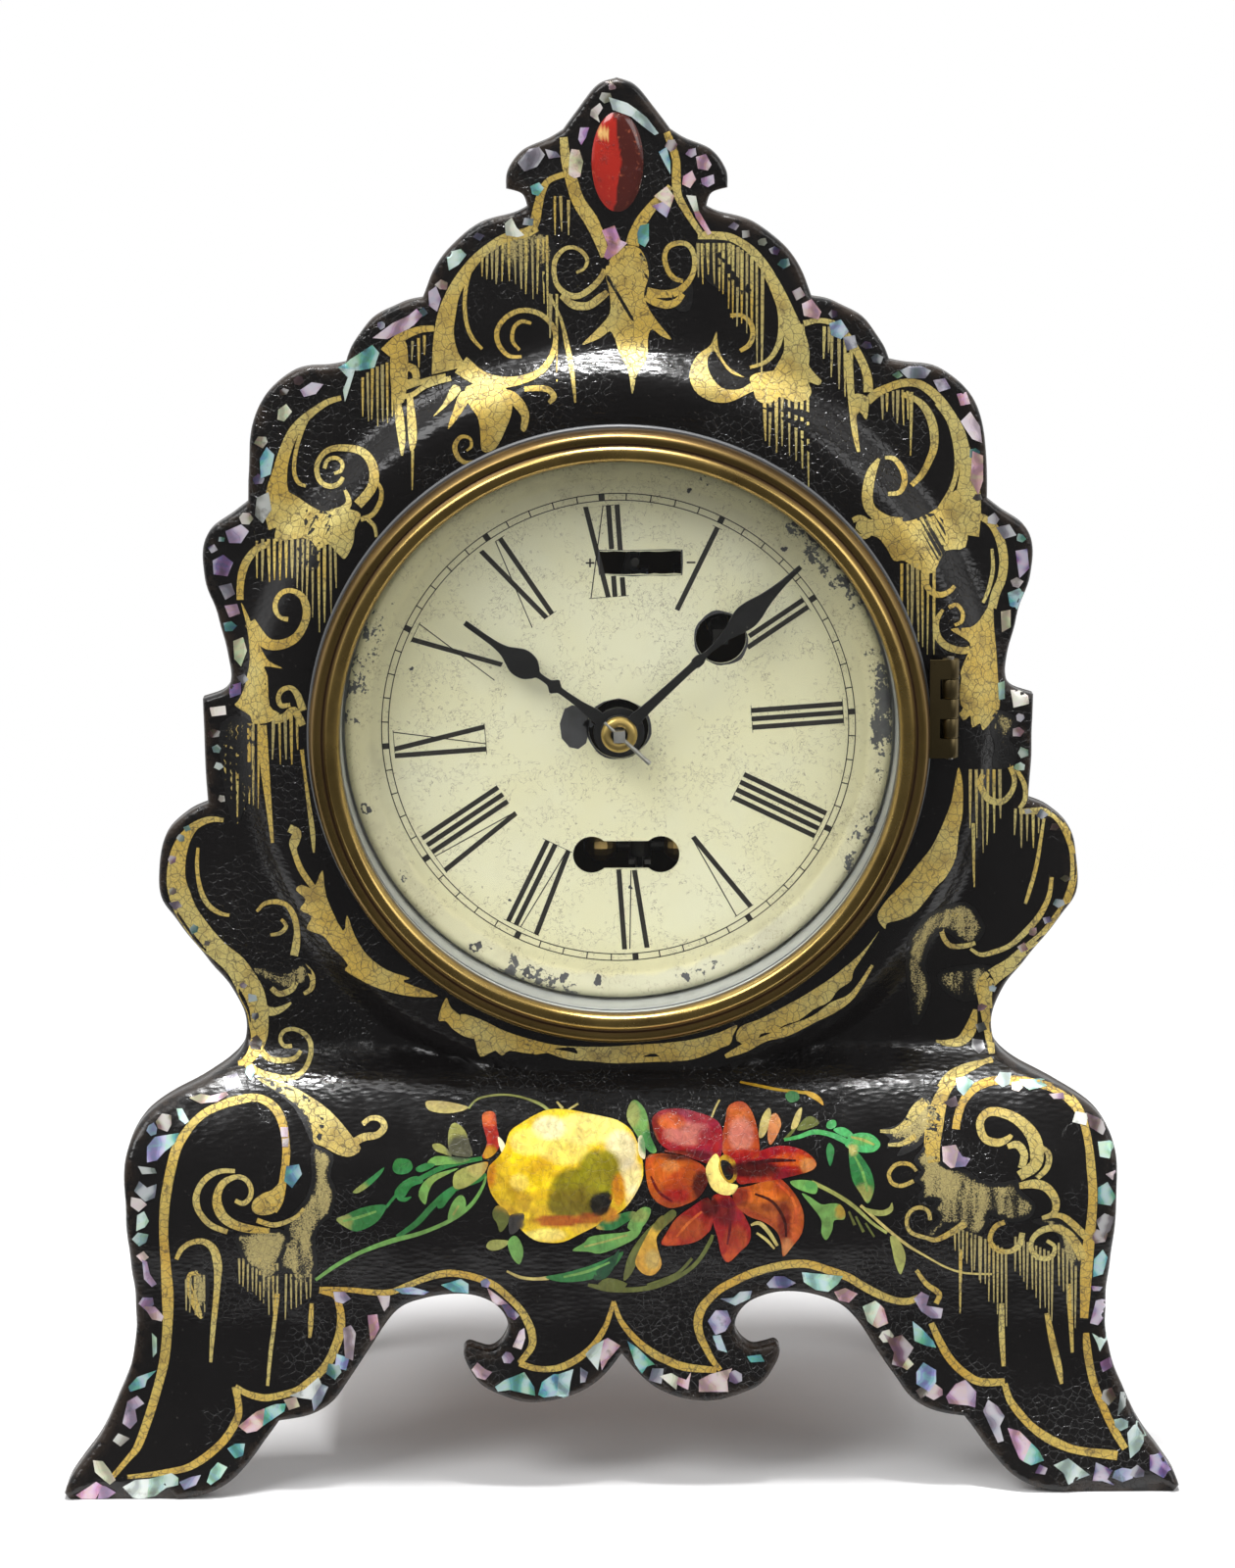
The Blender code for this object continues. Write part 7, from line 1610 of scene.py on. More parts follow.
    (Pearl.WHITE, 673, 1404, 685, 1401, 692, 1405, 690, 1418),
    (Pearl.PINK, 692, 1405, 700, 1408, 705, 1400, 702, 1418, 690, 1412),
    (Pearl.PINK, 713, 1408, 725, 1402, 747, 1396, 742, 1408, 743, 1420, 713, 1420),
    (Pearl.VIOLET, 744, 1400, 750, 1398, 757, 1402, 757, 1409, 750, 1412, 744, 1409),
    (Pearl.TEAL, 762, 1384, 776, 1382, 780, 1389, 766, 1390),
    (Pearl.LILAC, 722, 1348, 730, 1337, 742, 1337, 746, 1348, 740, 1358, 730, 1362),
    (Pearl.BLUE, 727, 1363, 735, 1362, 742, 1380, 732, 1377),
    (Pearl.BLUE, 735, 1325, 748, 1324, 755, 1318, 767, 1317, 765, 1325, 750, 1332),
    (Pearl.VIOLET, 782, 1310, 790, 1302, 800, 1302, 812, 1309, 802, 1314, 785, 1314),
    (Pearl.MINT, 818, 1298, 840, 1300, 860, 1302, 855, 1310, 845, 1318, 832, 1316, 820, 1308),
    (Pearl.PINK, 851, 1318, 862, 1314, 875, 1320, 866, 1329, 856, 1327),
    (Pearl.WHITE, 880, 1333, 893, 1327, 898, 1331, 890, 1352, 885, 1348),
    (Pearl.PINK, 898, 1331, 902, 1335, 906, 1350, 895, 1355, 890, 1352),
    (Pearl.BROWN, 901, 1360, 910, 1365, 920, 1362, 932, 1375, 920, 1395, 910, 1392, 912, 1380),
    (Pearl.TEAL, 931, 1348, 940, 1355, 952, 1368, 955, 1375, 945, 1373, 933, 1368),
    (Pearl.BLUE, 935, 1400, 942, 1390, 955, 1398, 955, 1410, 948, 1420, 935, 1412),
    (Pearl.PINK, 965, 1425, 975, 1412, 985, 1408, 988, 1434, 968, 1432),
    (Pearl.LILAC, 985, 1408, 996, 1420, 995, 1436, 988, 1434),
    (Pearl.LILAC, 932, 1325, 940, 1318, 948, 1322, 945, 1332, 962, 1335, 960, 1345, 950, 1345, 940, 1338),
    (Pearl.TEAL, 975, 1100, 985, 1098, 994, 1104, 983, 1118, 977, 1112),
    (Pearl.BROWN, 962, 1125, 975, 1118, 978, 1128, 970, 1130),
    (Pearl.WHITE, 961, 1170, 975, 1168, 978, 1174, 974, 1191, 970, 1192, 962, 1185),
    (Pearl.LILAC, 978, 1174, 982, 1180, 990, 1182, 985, 1190, 974, 1191),
    (Pearl.MINT, 1040, 1101, 1069, 1101, 1068, 1108, 1050, 1112, 1042, 1106),
    (Pearl.PINK, 1070, 1116, 1085, 1115, 1086, 1121, 1075, 1121),
    (Pearl.BROWN, 1108, 1135, 1130, 1145, 1135, 1155, 1125, 1158, 1112, 1150),
    (Pearl.MINT, 1120, 1165, 1138, 1163, 1139, 1173, 1132, 1182, 1122, 1180),
    (Pearl.PINK, 1128, 1198, 1138, 1194, 1141, 1202, 1135, 1204),
    (Pearl.TEAL, 1120, 1212, 1130, 1206, 1139, 1222, 1133, 1230, 1120, 1228),
    (Pearl.GREY, 1118, 1245, 1127, 1238, 1137, 1242, 1133, 1255, 1125, 1263),
    (Pearl.TEAL, 1116, 1285, 1125, 1275, 1130, 1283, 1125, 1300, 1115, 1303),
    (Pearl.VIOLET, 1113, 1312, 1125, 1313, 1122, 1317, 1115, 1317),
    (Pearl.LILAC, 1118, 1327, 1130, 1324, 1128, 1342, 1120, 1352, 1112, 1350),
    (Pearl.MINT, 1114, 1360, 1122, 1365, 1130, 1358, 1134, 1370, 1127, 1370, 1122, 1379, 1119, 1370),
    (Pearl.VIOLET, 1122, 1390, 1132, 1385, 1138, 1382, 1135, 1395, 1125, 1400),
    (Pearl.GREY, 1143, 1420, 1152, 1417, 1157, 1425, 1148, 1435, 1140, 1445),
    (Pearl.MINT, 1150, 1462, 1160, 1450, 1167, 1448, 1170, 1465, 1162, 1480, 1153, 1488),
    (Pearl.VIOLET, 1173, 1485, 1183, 1480, 1192, 1490, 1195, 1500, 1187, 1508, 1173, 1500),
    (Pearl.LILAC, 1003, 1440, 1008, 1428, 1018, 1435, 1025, 1445, 1020, 1455, 1024, 1470, 1018, 1472, 1010, 1455),
    (Pearl.PINK, 1028, 1457, 1040, 1460, 1052, 1472, 1044, 1491, 1040, 1488, 1033, 1472),
    (Pearl.TEAL, 1052, 1472, 1060, 1480, 1065, 1490, 1052, 1495, 1044, 1491),
    (Pearl.MINT, 1075, 1495, 1090, 1488, 1112, 1505, 1100, 1510, 1090, 1515, 1085, 1503),
    (Pearl.VIOLET, 1118, 1492, 1135, 1500, 1130, 1510, 1138, 1517, 1125, 1512, 1115, 1512),
)


class Paint(Enum):
    """Colours of the painted spray."""

    YELLOW = (0.86, 0.60, 0.085)
    PALE_YELLOW = (0.96, 0.80, 0.28)
    GOLDEN = (0.70, 0.44, 0.05)
    CREAM = (0.84, 0.76, 0.50)
    OCHRE = (0.48, 0.30, 0.06)
    ORANGE = (0.58, 0.22, 0.04)
    OLIVE = (0.26, 0.22, 0.020)
    DARK_OLIVE = (0.19, 0.145, 0.015)
    BLACK = (0.012, 0.011, 0.010)
    SLATE = (0.045, 0.042, 0.040)
    RED = (0.34, 0.028, 0.020)
    CRIMSON = (0.27, 0.020, 0.034)
    DEEP_RED = (0.15, 0.013, 0.012)
    MAROON = (0.055, 0.007, 0.006)
    RUST = (0.40, 0.090, 0.038)
    CORAL = (0.60, 0.15, 0.07)
    BLUSH = (0.70, 0.32, 0.25)
    PEACH = (0.60, 0.27, 0.12)
    SAND = (0.52, 0.43, 0.17)
    SAGE = (0.33, 0.34, 0.11)
    AMBER = (0.62, 0.36, 0.09)
    GREEN = (0.045, 0.19, 0.060)
    DARK_GREEN = (0.016, 0.070, 0.030)
    PALE_GREEN = (0.17, 0.34, 0.10)
    BRIGHT_GREEN = (0.10, 0.38, 0.13)
    OLIVE_GREEN = (0.12, 0.135, 0.035)


# The painted spray, back to front: colour, then pixel X and pixel Y from corner to corner
PAINTED_SHAPES = (
    (Paint.GREEN, 343, 1245, 352, 1240, 365, 1234, 380, 1230, 394, 1230, 390, 1240, 383, 1248, 372, 1254, 360, 1256),
    (Paint.GREEN, 401, 1188, 404, 1183, 410, 1182, 418, 1184, 421, 1191, 416, 1197, 406, 1198, 401, 1194),
    (Paint.GREEN, 360, 1216, 372, 1206, 380, 1200, 392, 1191, 388, 1199, 378, 1209, 366, 1217),
    (Paint.GREEN, 403, 1215, 412, 1205, 425, 1200, 432, 1206, 420, 1211, 412, 1222, 404, 1222),
    (Paint.GREEN, 404, 1220, 412, 1222, 420, 1221, 414, 1226, 407, 1225),
    (Paint.PALE_GREEN, 434, 1229, 427, 1220, 431, 1208, 442, 1199, 458, 1194, 468, 1192, 455, 1199, 443, 1206, 437,
     1217), (Paint.GREEN, 446, 1232, 450, 1222, 460, 1215, 466, 1214, 458, 1224, 452, 1232),
    (Paint.PALE_GREEN, 457, 1245, 460, 1230, 468, 1220, 474, 1222, 475, 1232, 468, 1240),
    (Paint.SAGE, 462, 1208, 464, 1197, 475, 1191, 488, 1187, 498, 1186, 494, 1197, 484, 1206, 474, 1212, 465, 1213),
    (Paint.PALE_GREEN, 436, 1186, 444, 1180, 456, 1180, 468, 1181, 480, 1183, 470, 1187, 456, 1188, 444, 1189),
    (Paint.GREEN, 424, 1192, 434, 1187, 444, 1188, 438, 1193, 428, 1196),
    (Paint.SAGE, 441, 1168, 449, 1167, 458, 1174, 461, 1180, 452, 1177, 444, 1174),
    (Paint.SAGE, 459, 1176, 457, 1160, 460, 1148, 466, 1146, 474, 1153, 479, 1166, 482, 1179, 470, 1180),
    (Paint.SAND, 434, 1125, 440, 1123, 455, 1124, 470, 1127, 478, 1130, 470, 1134, 455, 1136, 438, 1133),
    (Paint.RED, 492, 1138, 497, 1134, 505, 1136, 507, 1150, 510, 1166, 506, 1176, 498, 1182, 492, 1180, 497, 1166,
     493, 1150), (Paint.CREAM, 508, 1160, 513, 1164, 516, 1172, 512, 1176, 509, 1168),
    (Paint.YELLOW, 497, 1200, 499, 1190, 508, 1181, 515, 1170, 520, 1155, 530, 1147, 545, 1138, 560, 1132, 580, 1132,
     600, 1136, 615, 1139, 630, 1143, 643, 1152, 650, 1165, 655, 1180, 656, 1200, 650, 1215, 640, 1230, 628, 1240,
     610, 1250, 590, 1260, 575, 1267, 560, 1268, 545, 1265, 532, 1255, 520, 1240, 508, 1228, 500, 1215),
    (Paint.BLACK, 601, 1217, 615, 1215, 625, 1218, 622, 1230, 612, 1241, 602, 1238),
    (Paint.OLIVE_GREEN, 503, 1235, 508, 1230, 516, 1234, 520, 1242, 516, 1252, 510, 1257, 507, 1248, 503, 1242),
    (Paint.SLATE, 519, 1245, 522, 1239, 534, 1238, 534, 1246, 528, 1256, 520, 1259),
    (Paint.SAGE, 496, 1272, 500, 1266, 510, 1265, 520, 1267, 512, 1274, 502, 1276),
    (Paint.PALE_GREEN, 518, 1268, 524, 1261, 530, 1265, 534, 1277, 530, 1290, 522, 1282),
    (Paint.GREEN, 556, 1303, 575, 1299, 600, 1292, 620, 1284, 636, 1277, 628, 1291, 612, 1302, 595, 1307, 572, 1308),
    (Paint.DARK_GREEN, 605, 1305, 612, 1292, 625, 1282, 632, 1275, 628, 1290, 618, 1304),
    (Paint.OLIVE_GREEN, 610, 1312, 620, 1304, 640, 1310, 626, 1318),
    (Paint.GREEN, 608, 1253, 618, 1243, 634, 1238, 646, 1236, 650, 1240, 638, 1248, 624, 1255),
    (Paint.PALE_GREEN, 584, 1276, 596, 1268, 602, 1262, 620, 1259, 640, 1257, 655, 1250, 650, 1262, 632, 1272, 612,
     1279, 600, 1277), (Paint.PALE_GREEN, 640, 1252, 648, 1238, 656, 1232, 664, 1234, 660, 1246, 650, 1256),
    (Paint.OLIVE_GREEN, 636, 1306, 640, 1285, 648, 1270, 660, 1255, 675, 1242, 686, 1234, 690, 1240, 678, 1252, 666,
     1264, 654, 1280, 644, 1300),
    (Paint.AMBER, 648, 1288, 652, 1276, 658, 1264, 666, 1250, 676, 1240, 678, 1250, 670, 1262, 671, 1274, 675, 1290,
     668, 1300, 660, 1301, 653, 1297),
    (Paint.RED, 675, 1270, 680, 1258, 690, 1243, 705, 1232, 722, 1222, 728, 1236, 726, 1252, 722, 1258, 712, 1266,
     696, 1270),
    (Paint.RED, 726, 1222, 740, 1218, 752, 1228, 762, 1245, 766, 1256, 764, 1268, 755, 1277, 743, 1288, 736, 1280,
     732, 1262, 727, 1245),
    (Paint.RUST, 748, 1214, 765, 1210, 785, 1203, 795, 1202, 806, 1212, 815, 1225, 820, 1240, 818, 1258, 808, 1272,
     799, 1282, 797, 1268, 792, 1256, 780, 1247, 762, 1240, 750, 1228),
    (Paint.RED, 748, 1180, 765, 1178, 785, 1171, 800, 1169, 815, 1172, 826, 1178, 833, 1187, 828, 1194, 812, 1199,
     790, 1204, 765, 1207, 752, 1206),
    (Paint.RUST, 659, 1182, 670, 1177, 690, 1178, 704, 1182, 718, 1190, 723, 1203, 716, 1218, 706, 1226, 690, 1232,
     678, 1231, 666, 1222, 660, 1206),
    (Paint.RUST, 737, 1175, 737, 1158, 740, 1143, 742, 1131, 748, 1125, 758, 1124, 766, 1132, 771, 1145, 774, 1160,
     774, 1180, 760, 1182, 745, 1181),
    (Paint.CRIMSON, 665, 1145, 668, 1137, 678, 1132, 695, 1131, 712, 1135, 728, 1141, 736, 1150, 737, 1166, 735,
     1180, 728, 1186, 712, 1184, 695, 1178, 680, 1172, 670, 1162),
    (Paint.OCHRE, 733, 1183, 740, 1178, 748, 1182, 752, 1192, 751, 1203, 745, 1207, 738, 1202, 733, 1194),
    (Paint.BLACK, 735, 1185, 741, 1184, 747, 1190, 748, 1200, 743, 1204, 738, 1198),
    (Paint.PALE_YELLOW, 730, 1177, 724, 1183, 720, 1193, 722, 1204, 728, 1214, 738, 1219, 748, 1218, 753, 1210, 748,
     1208, 742, 1206, 736, 1199, 733, 1190, 734, 1182),
    (Paint.PALE_GREEN, 640, 1133, 644, 1124, 650, 1123, 658, 1132, 662, 1146, 664, 1160, 670, 1174, 664, 1176, 655,
     1166, 646, 1152, 640, 1142), (Paint.CREAM, 651, 1162, 655, 1158, 658, 1168, 658, 1182, 652, 1178),
    (Paint.SAND, 774, 1158, 776, 1143, 782, 1132, 786, 1132, 786, 1145, 780, 1158, 776, 1161),
    (Paint.PEACH, 786, 1140, 792, 1136, 797, 1146, 793, 1158, 786, 1168, 783, 1158),
    (Paint.SAND, 807, 1152, 809, 1143, 813, 1134, 818, 1130, 817, 1140, 813, 1150),
    (Paint.OLIVE_GREEN, 813, 1153, 820, 1142, 828, 1139, 836, 1146, 824, 1152),
    (Paint.GREEN, 801, 1118, 806, 1113, 814, 1115, 815, 1122, 806, 1125),
    (Paint.AMBER, 820, 1113, 830, 1115, 838, 1121, 840, 1128, 833, 1123, 824, 1118),
    (Paint.BRIGHT_GREEN, 843, 1150, 845, 1144, 852, 1143, 853, 1149, 848, 1152),
    (Paint.BRIGHT_GREEN, 850, 1153, 858, 1150, 866, 1153, 872, 1160, 862, 1160),
    (Paint.BRIGHT_GREEN, 862, 1168, 866, 1160, 876, 1156, 888, 1157, 896, 1163, 898, 1169, 892, 1175, 880, 1176, 868,
     1173),
    (Paint.GREEN, 867, 1190, 866, 1172, 869, 1167, 874, 1174, 882, 1184, 889, 1196, 892, 1210, 890, 1220, 885, 1228,
     878, 1218, 870, 1205), (Paint.GREEN, 843, 1173, 846, 1166, 851, 1172, 850, 1182, 847, 1190, 844, 1182),
    (Paint.PALE_GREEN, 806, 1206, 815, 1204, 828, 1205, 834, 1210, 832, 1218, 822, 1216, 812, 1212),
    (Paint.PALE_GREEN, 818, 1218, 826, 1221, 838, 1229, 848, 1228, 857, 1229, 862, 1236, 861, 1244, 851, 1245, 849,
     1255, 843, 1265, 838, 1258, 838, 1245, 830, 1233),
    (Paint.SAGE, 880, 1232, 890, 1234, 900, 1235, 907, 1232, 910, 1227, 911, 1235, 904, 1240, 892, 1240),
    (Paint.SAGE, 908, 1262, 914, 1262, 921, 1272, 924, 1284, 921, 1296, 918, 1300, 913, 1288, 910, 1274),
)

# Brushed lines of the painted spray: colour, then pixel X, pixel Y and width
PAINTED_LINES = (
    (Paint.GREEN, 394, 1232, 3, 402, 1222, 3, 415, 1210, 5, 430, 1202, 5, 450, 1192, 5, 470, 1186, 5, 492, 1182, 4),
    (Paint.GREEN, 405, 1262, 4, 425, 1248, 6, 440, 1232, 6, 455, 1218, 6, 470, 1210, 6, 488, 1204, 5, 496, 1198, 3),
    (Paint.PALE_GREEN, 322, 1306, 3, 345, 1290, 4, 370, 1277, 4, 400, 1266, 5, 430, 1258, 4, 460, 1245, 4, 480, 1230,
     4, 492, 1212, 3, 496, 1200, 2),
    (Paint.SAGE, 478, 1131, 2, 488, 1121, 2, 510, 1117, 2, 530, 1119, 2, 550, 1126, 3, 560, 1133, 3),
    (Paint.SAND, 517, 1297, 2, 530, 1303, 3, 545, 1305, 3, 560, 1304, 4),
    (Paint.OLIVE_GREEN, 600, 1311, 3, 620, 1315, 6, 645, 1316, 5, 670, 1312, 5, 695, 1301, 4, 712, 1287, 4, 724,
     1268, 4, 727, 1260, 3), (Paint.OLIVE_GREEN, 660, 1311, 2, 690, 1300, 3, 706, 1284, 3),
    (Paint.OLIVE_GREEN, 800, 1163, 3, 808, 1155, 3, 814, 1146, 3),
    (Paint.BRIGHT_GREEN, 800, 1163, 3, 815, 1160, 4, 830, 1155, 5, 845, 1157, 5, 858, 1162, 6, 868, 1168, 5),
    (Paint.OCHRE, 755, 1104, 2, 775, 1108, 3, 795, 1112, 3, 822, 1115, 3),
    (Paint.SAGE, 828, 1206, 4, 850, 1217, 4, 870, 1230, 4, 890, 1248, 3, 905, 1258, 3),
    (Paint.SAND, 878, 1230, 3, 905, 1254, 3, 925, 1270, 3, 945, 1282, 2, 965, 1293, 2, 985, 1299, 2, 1012, 1300, 2),
    (Paint.OLIVE_GREEN, 866, 1236, 2, 872, 1250, 3), (Paint.OLIVE_GREEN, 873, 1241, 2, 881, 1257, 3),
    (Paint.OLIVE_GREEN, 883, 1248, 2, 892, 1262, 2),
    (Paint.SAND, 766, 1250, 2, 775, 1248, 4, 785, 1258, 4, 793, 1271, 3),
    (Paint.SAND, 772, 1258, 2, 782, 1265, 3, 790, 1274, 2), (Paint.SAND, 726, 1140, 2, 729, 1132, 2, 734, 1122, 2),
    (Paint.SAND, 568, 1124, 2, 574, 1131, 3), (Paint.SAND, 590, 1126, 2, 580, 1132, 2),
    (Paint.DEEP_RED, 678, 1174, 2, 698, 1177, 3, 722, 1186, 3),
    (Paint.DEEP_RED, 742, 1228, 2, 745, 1248, 3, 742, 1270, 2),
    (Paint.CORAL, 690, 1262, 2, 702, 1248, 3, 716, 1236, 2), (Paint.MAROON, 762, 1188, 3, 786, 1184, 4, 812, 1184, 2),
    (Paint.MAROON, 770, 1218, 2, 788, 1226, 3, 800, 1244, 3, 802, 1262, 2),
    (Paint.CORAL, 792, 1206, 2, 808, 1222, 3, 814, 1244, 2),
    (Paint.PALE_GREEN, 350, 1246, 2, 366, 1242, 3, 384, 1236, 2),
    (Paint.SAGE, 868, 1160, 2, 880, 1163, 3, 892, 1168, 2),
    (Paint.PALE_GREEN, 872, 1180, 2, 880, 1196, 3, 885, 1216, 2), (Paint.SAGE, 462, 1240, 2, 468, 1230, 2),
    (Paint.SAGE, 596, 1272, 2, 616, 1267, 2, 640, 1260, 2),
    (Paint.PALE_GREEN, 575, 1303, 2, 600, 1297, 3, 622, 1288, 2),
    (Paint.DEEP_RED, 664, 1200, 2, 672, 1216, 3, 686, 1226, 2),
)

# Soft dabs over the shapes: colour, pixel X, pixel Y, half width, half height and how strong
PAINT_DABS = (
    (Paint.PALE_YELLOW, 600, 1152, 38, 17, 0.90), (Paint.CREAM, 560, 1151, 17, 13, 0.80),
    (Paint.PALE_YELLOW, 575, 1175, 28, 14, 0.55), (Paint.CREAM, 633, 1174, 17, 21, 0.80),
    (Paint.CREAM, 644, 1200, 11, 19, 0.60), (Paint.PALE_YELLOW, 538, 1165, 18, 14, 0.55),
    (Paint.OCHRE, 509, 1208, 13, 26, 0.60), (Paint.OCHRE, 526, 1226, 17, 14, 0.65),
    (Paint.GOLDEN, 546, 1196, 24, 16, 0.65), (Paint.OCHRE, 552, 1228, 18, 13, 0.45),
    (Paint.PALE_YELLOW, 530, 1206, 10, 9, 0.45), (Paint.ORANGE, 499, 1196, 7, 17, 0.80),
    (Paint.OLIVE, 612, 1190, 21, 19, 1.0), (Paint.OLIVE, 590, 1208, 27, 17, 1.0),
    (Paint.DARK_OLIVE, 577, 1228, 19, 15, 1.0), (Paint.DARK_OLIVE, 600, 1226, 17, 17, 1.0),
    (Paint.OLIVE, 622, 1205, 11, 16, 1.0), (Paint.DARK_OLIVE, 572, 1216, 14, 10, 0.6),
    (Paint.ORANGE, 631, 1214, 7, 17, 0.85), (Paint.ORANGE, 620, 1239, 12, 8, 0.85),
    (Paint.RUST, 568, 1246, 27, 6.5, 0.95), (Paint.RUST, 600, 1244, 15, 6, 0.85),
    (Paint.PALE_YELLOW, 556, 1260, 22, 7, 0.75), (Paint.AMBER, 598, 1254, 17, 6, 0.70),
    (Paint.CREAM, 646, 1222, 8, 13, 0.45), (Paint.GOLDEN, 540, 1250, 12, 7, 0.6),
    (Paint.GOLDEN, 610, 1170, 12, 6, 0.35), (Paint.BLUSH, 702, 1156, 25, 13, 0.45),
    (Paint.CORAL, 685, 1144, 15, 8, 0.80), (Paint.CRIMSON, 724, 1163, 13, 14, 0.75),
    (Paint.MAROON, 703, 1179, 24, 6, 0.75), (Paint.DEEP_RED, 667, 1151, 6, 15, 0.70),
    (Paint.RED, 716, 1140, 14, 6, 0.60), (Paint.BLUSH, 756, 1158, 13, 19, 0.50), (Paint.CORAL, 751, 1132, 10, 9, 0.60),
    (Paint.RED, 757, 1178, 16, 6, 0.80), (Paint.MAROON, 769, 1193, 27, 9, 0.95), (Paint.CORAL, 805, 1183, 18, 7, 0.75),
    (Paint.RED, 790, 1174, 22, 4, 0.70), (Paint.PEACH, 825, 1189, 9, 8, 0.75),
    (Paint.DEEP_RED, 800, 1199, 22, 4, 0.70), (Paint.CORAL, 776, 1221, 19, 8, 0.75),
    (Paint.DEEP_RED, 800, 1246, 7, 23, 0.80), (Paint.DEEP_RED, 789, 1231, 14, 6, 0.60),
    (Paint.CORAL, 813, 1250, 6, 23, 0.75), (Paint.PEACH, 803, 1273, 6, 10, 0.80),
    (Paint.DEEP_RED, 756, 1221, 9, 10, 0.65), (Paint.DEEP_RED, 740, 1236, 11, 15, 0.85),
    (Paint.RUST, 751, 1263, 12, 14, 0.70), (Paint.CORAL, 746, 1281, 8, 7, 0.50), (Paint.RUST, 700, 1252, 18, 12, 0.60),
    (Paint.MAROON, 724, 1231, 9, 11, 0.80), (Paint.CORAL, 684, 1266, 9, 6, 0.65),
    (Paint.CORAL, 681, 1196, 18, 12, 0.70), (Paint.PEACH, 684, 1190, 10, 6, 0.45), (Paint.RED, 690, 1220, 15, 7, 0.60),
    (Paint.MAROON, 715, 1210, 9, 16, 0.90), (Paint.CORAL, 663, 1196, 4, 16, 0.55),
    (Paint.MAROON, 690, 1179, 18, 4, 0.75), (Paint.SAGE, 349, 1246, 11, 9, 0.80), (Paint.SAGE, 366, 1212, 9, 7, 0.80),
    (Paint.SLATE, 470, 1172, 15, 14, 0.85), (Paint.CORAL, 500, 1141, 10, 9, 0.90),
    (Paint.OCHRE, 500, 1177, 8, 8, 0.80), (Paint.SAGE, 448, 1205, 14, 10, 0.40), (Paint.SAND, 488, 1192, 11, 8, 0.70),
    (Paint.SAGE, 645, 1137, 8, 14, 0.85), (Paint.GREEN, 661, 1166, 9, 13, 0.85), (Paint.SAGE, 652, 1240, 10, 7, 0.60),
    (Paint.SAND, 666, 1285, 8, 10, 0.60), (Paint.OLIVE_GREEN, 672, 1247, 9, 10, 0.90),
    (Paint.SAND, 870, 1173, 5, 6, 0.80), (Paint.SAGE, 881, 1218, 10, 10, 0.90), (Paint.GREEN, 828, 1209, 8, 5, 0.50),
    (Paint.OCHRE, 858, 1236, 6, 8, 0.80), (Paint.PALE_GREEN, 880, 1164, 10, 5, 0.60),
    (Paint.SAND, 782, 1138, 4, 6, 0.50), (Paint.GREEN, 612, 1272, 20, 5, 0.40), (Paint.BLACK, 612, 1229, 11, 12, 0.97),
    (Paint.BLACK, 618, 1221, 6, 6, 0.90), (Paint.SLATE, 527, 1248, 8, 9, 0.90),
)


def circle(radius: float, steps: int, x: float = 0.0, z: float = 0.0) -> np.ndarray:
    """Corners of a circle, clockwise from the top."""
    turn = np.linspace(0.0, math.tau, steps, endpoint=False)
    return np.column_stack([x + radius * np.sin(turn), z + radius * np.cos(turn)])


def dial_circle(radius: float, steps: int) -> np.ndarray:
    """Corners of a circle about the dial's centre."""
    return circle(radius, steps, 0.0, SIZES.dial_z)


def skin(name: str, loop: np.ndarray, extra: np.ndarray, holes: Sequence[np.ndarray],
         front: Surface, back: Surface,
         material: bpy.types.Material, sharp: float = 40.0) -> tuple[bpy.types.Object, np.ndarray, np.ndarray]:
    """A closed sheet between two surfaces that face the front.

    Args:
        name: Name of the piece.
        loop: Its outline as world X and Z.
        extra: Points to use inside the outline.
        holes: Openings through it.
        front: World Y of its front surface.
        back: World Y of its back surface.
        material: Its finish.
        sharp: Angle above which an edge stays sharp.

    Returns:
        The object, the X and Z of its corners, and which of them are at the back.
    """
    spots, faces = filled(loop, extra, holes)
    used = sorted({i for f in faces for i in f})
    fresh = {old: new for new, old in enumerate(used)}
    spots = spots[used]
    faces = [tuple(fresh[i] for i in f) for f in faces]
    count = len(spots)
    walls = [(b, a, a + count, b + count) for a, b in border(faces)]
    x, z = spots[:, 0], spots[:, 1]
    points = np.concatenate([np.column_stack([x, front(x, z), z]), np.column_stack([x, back(x, z), z])])
    rear = [tuple(i + count for i in reversed(f)) for f in faces]
    item = make_piece(name, points, faces + rear + walls, material, sharp)
    settle(item, sharp)
    return item, np.concatenate([spots, spots]), np.repeat([0.0, 1.0], count)


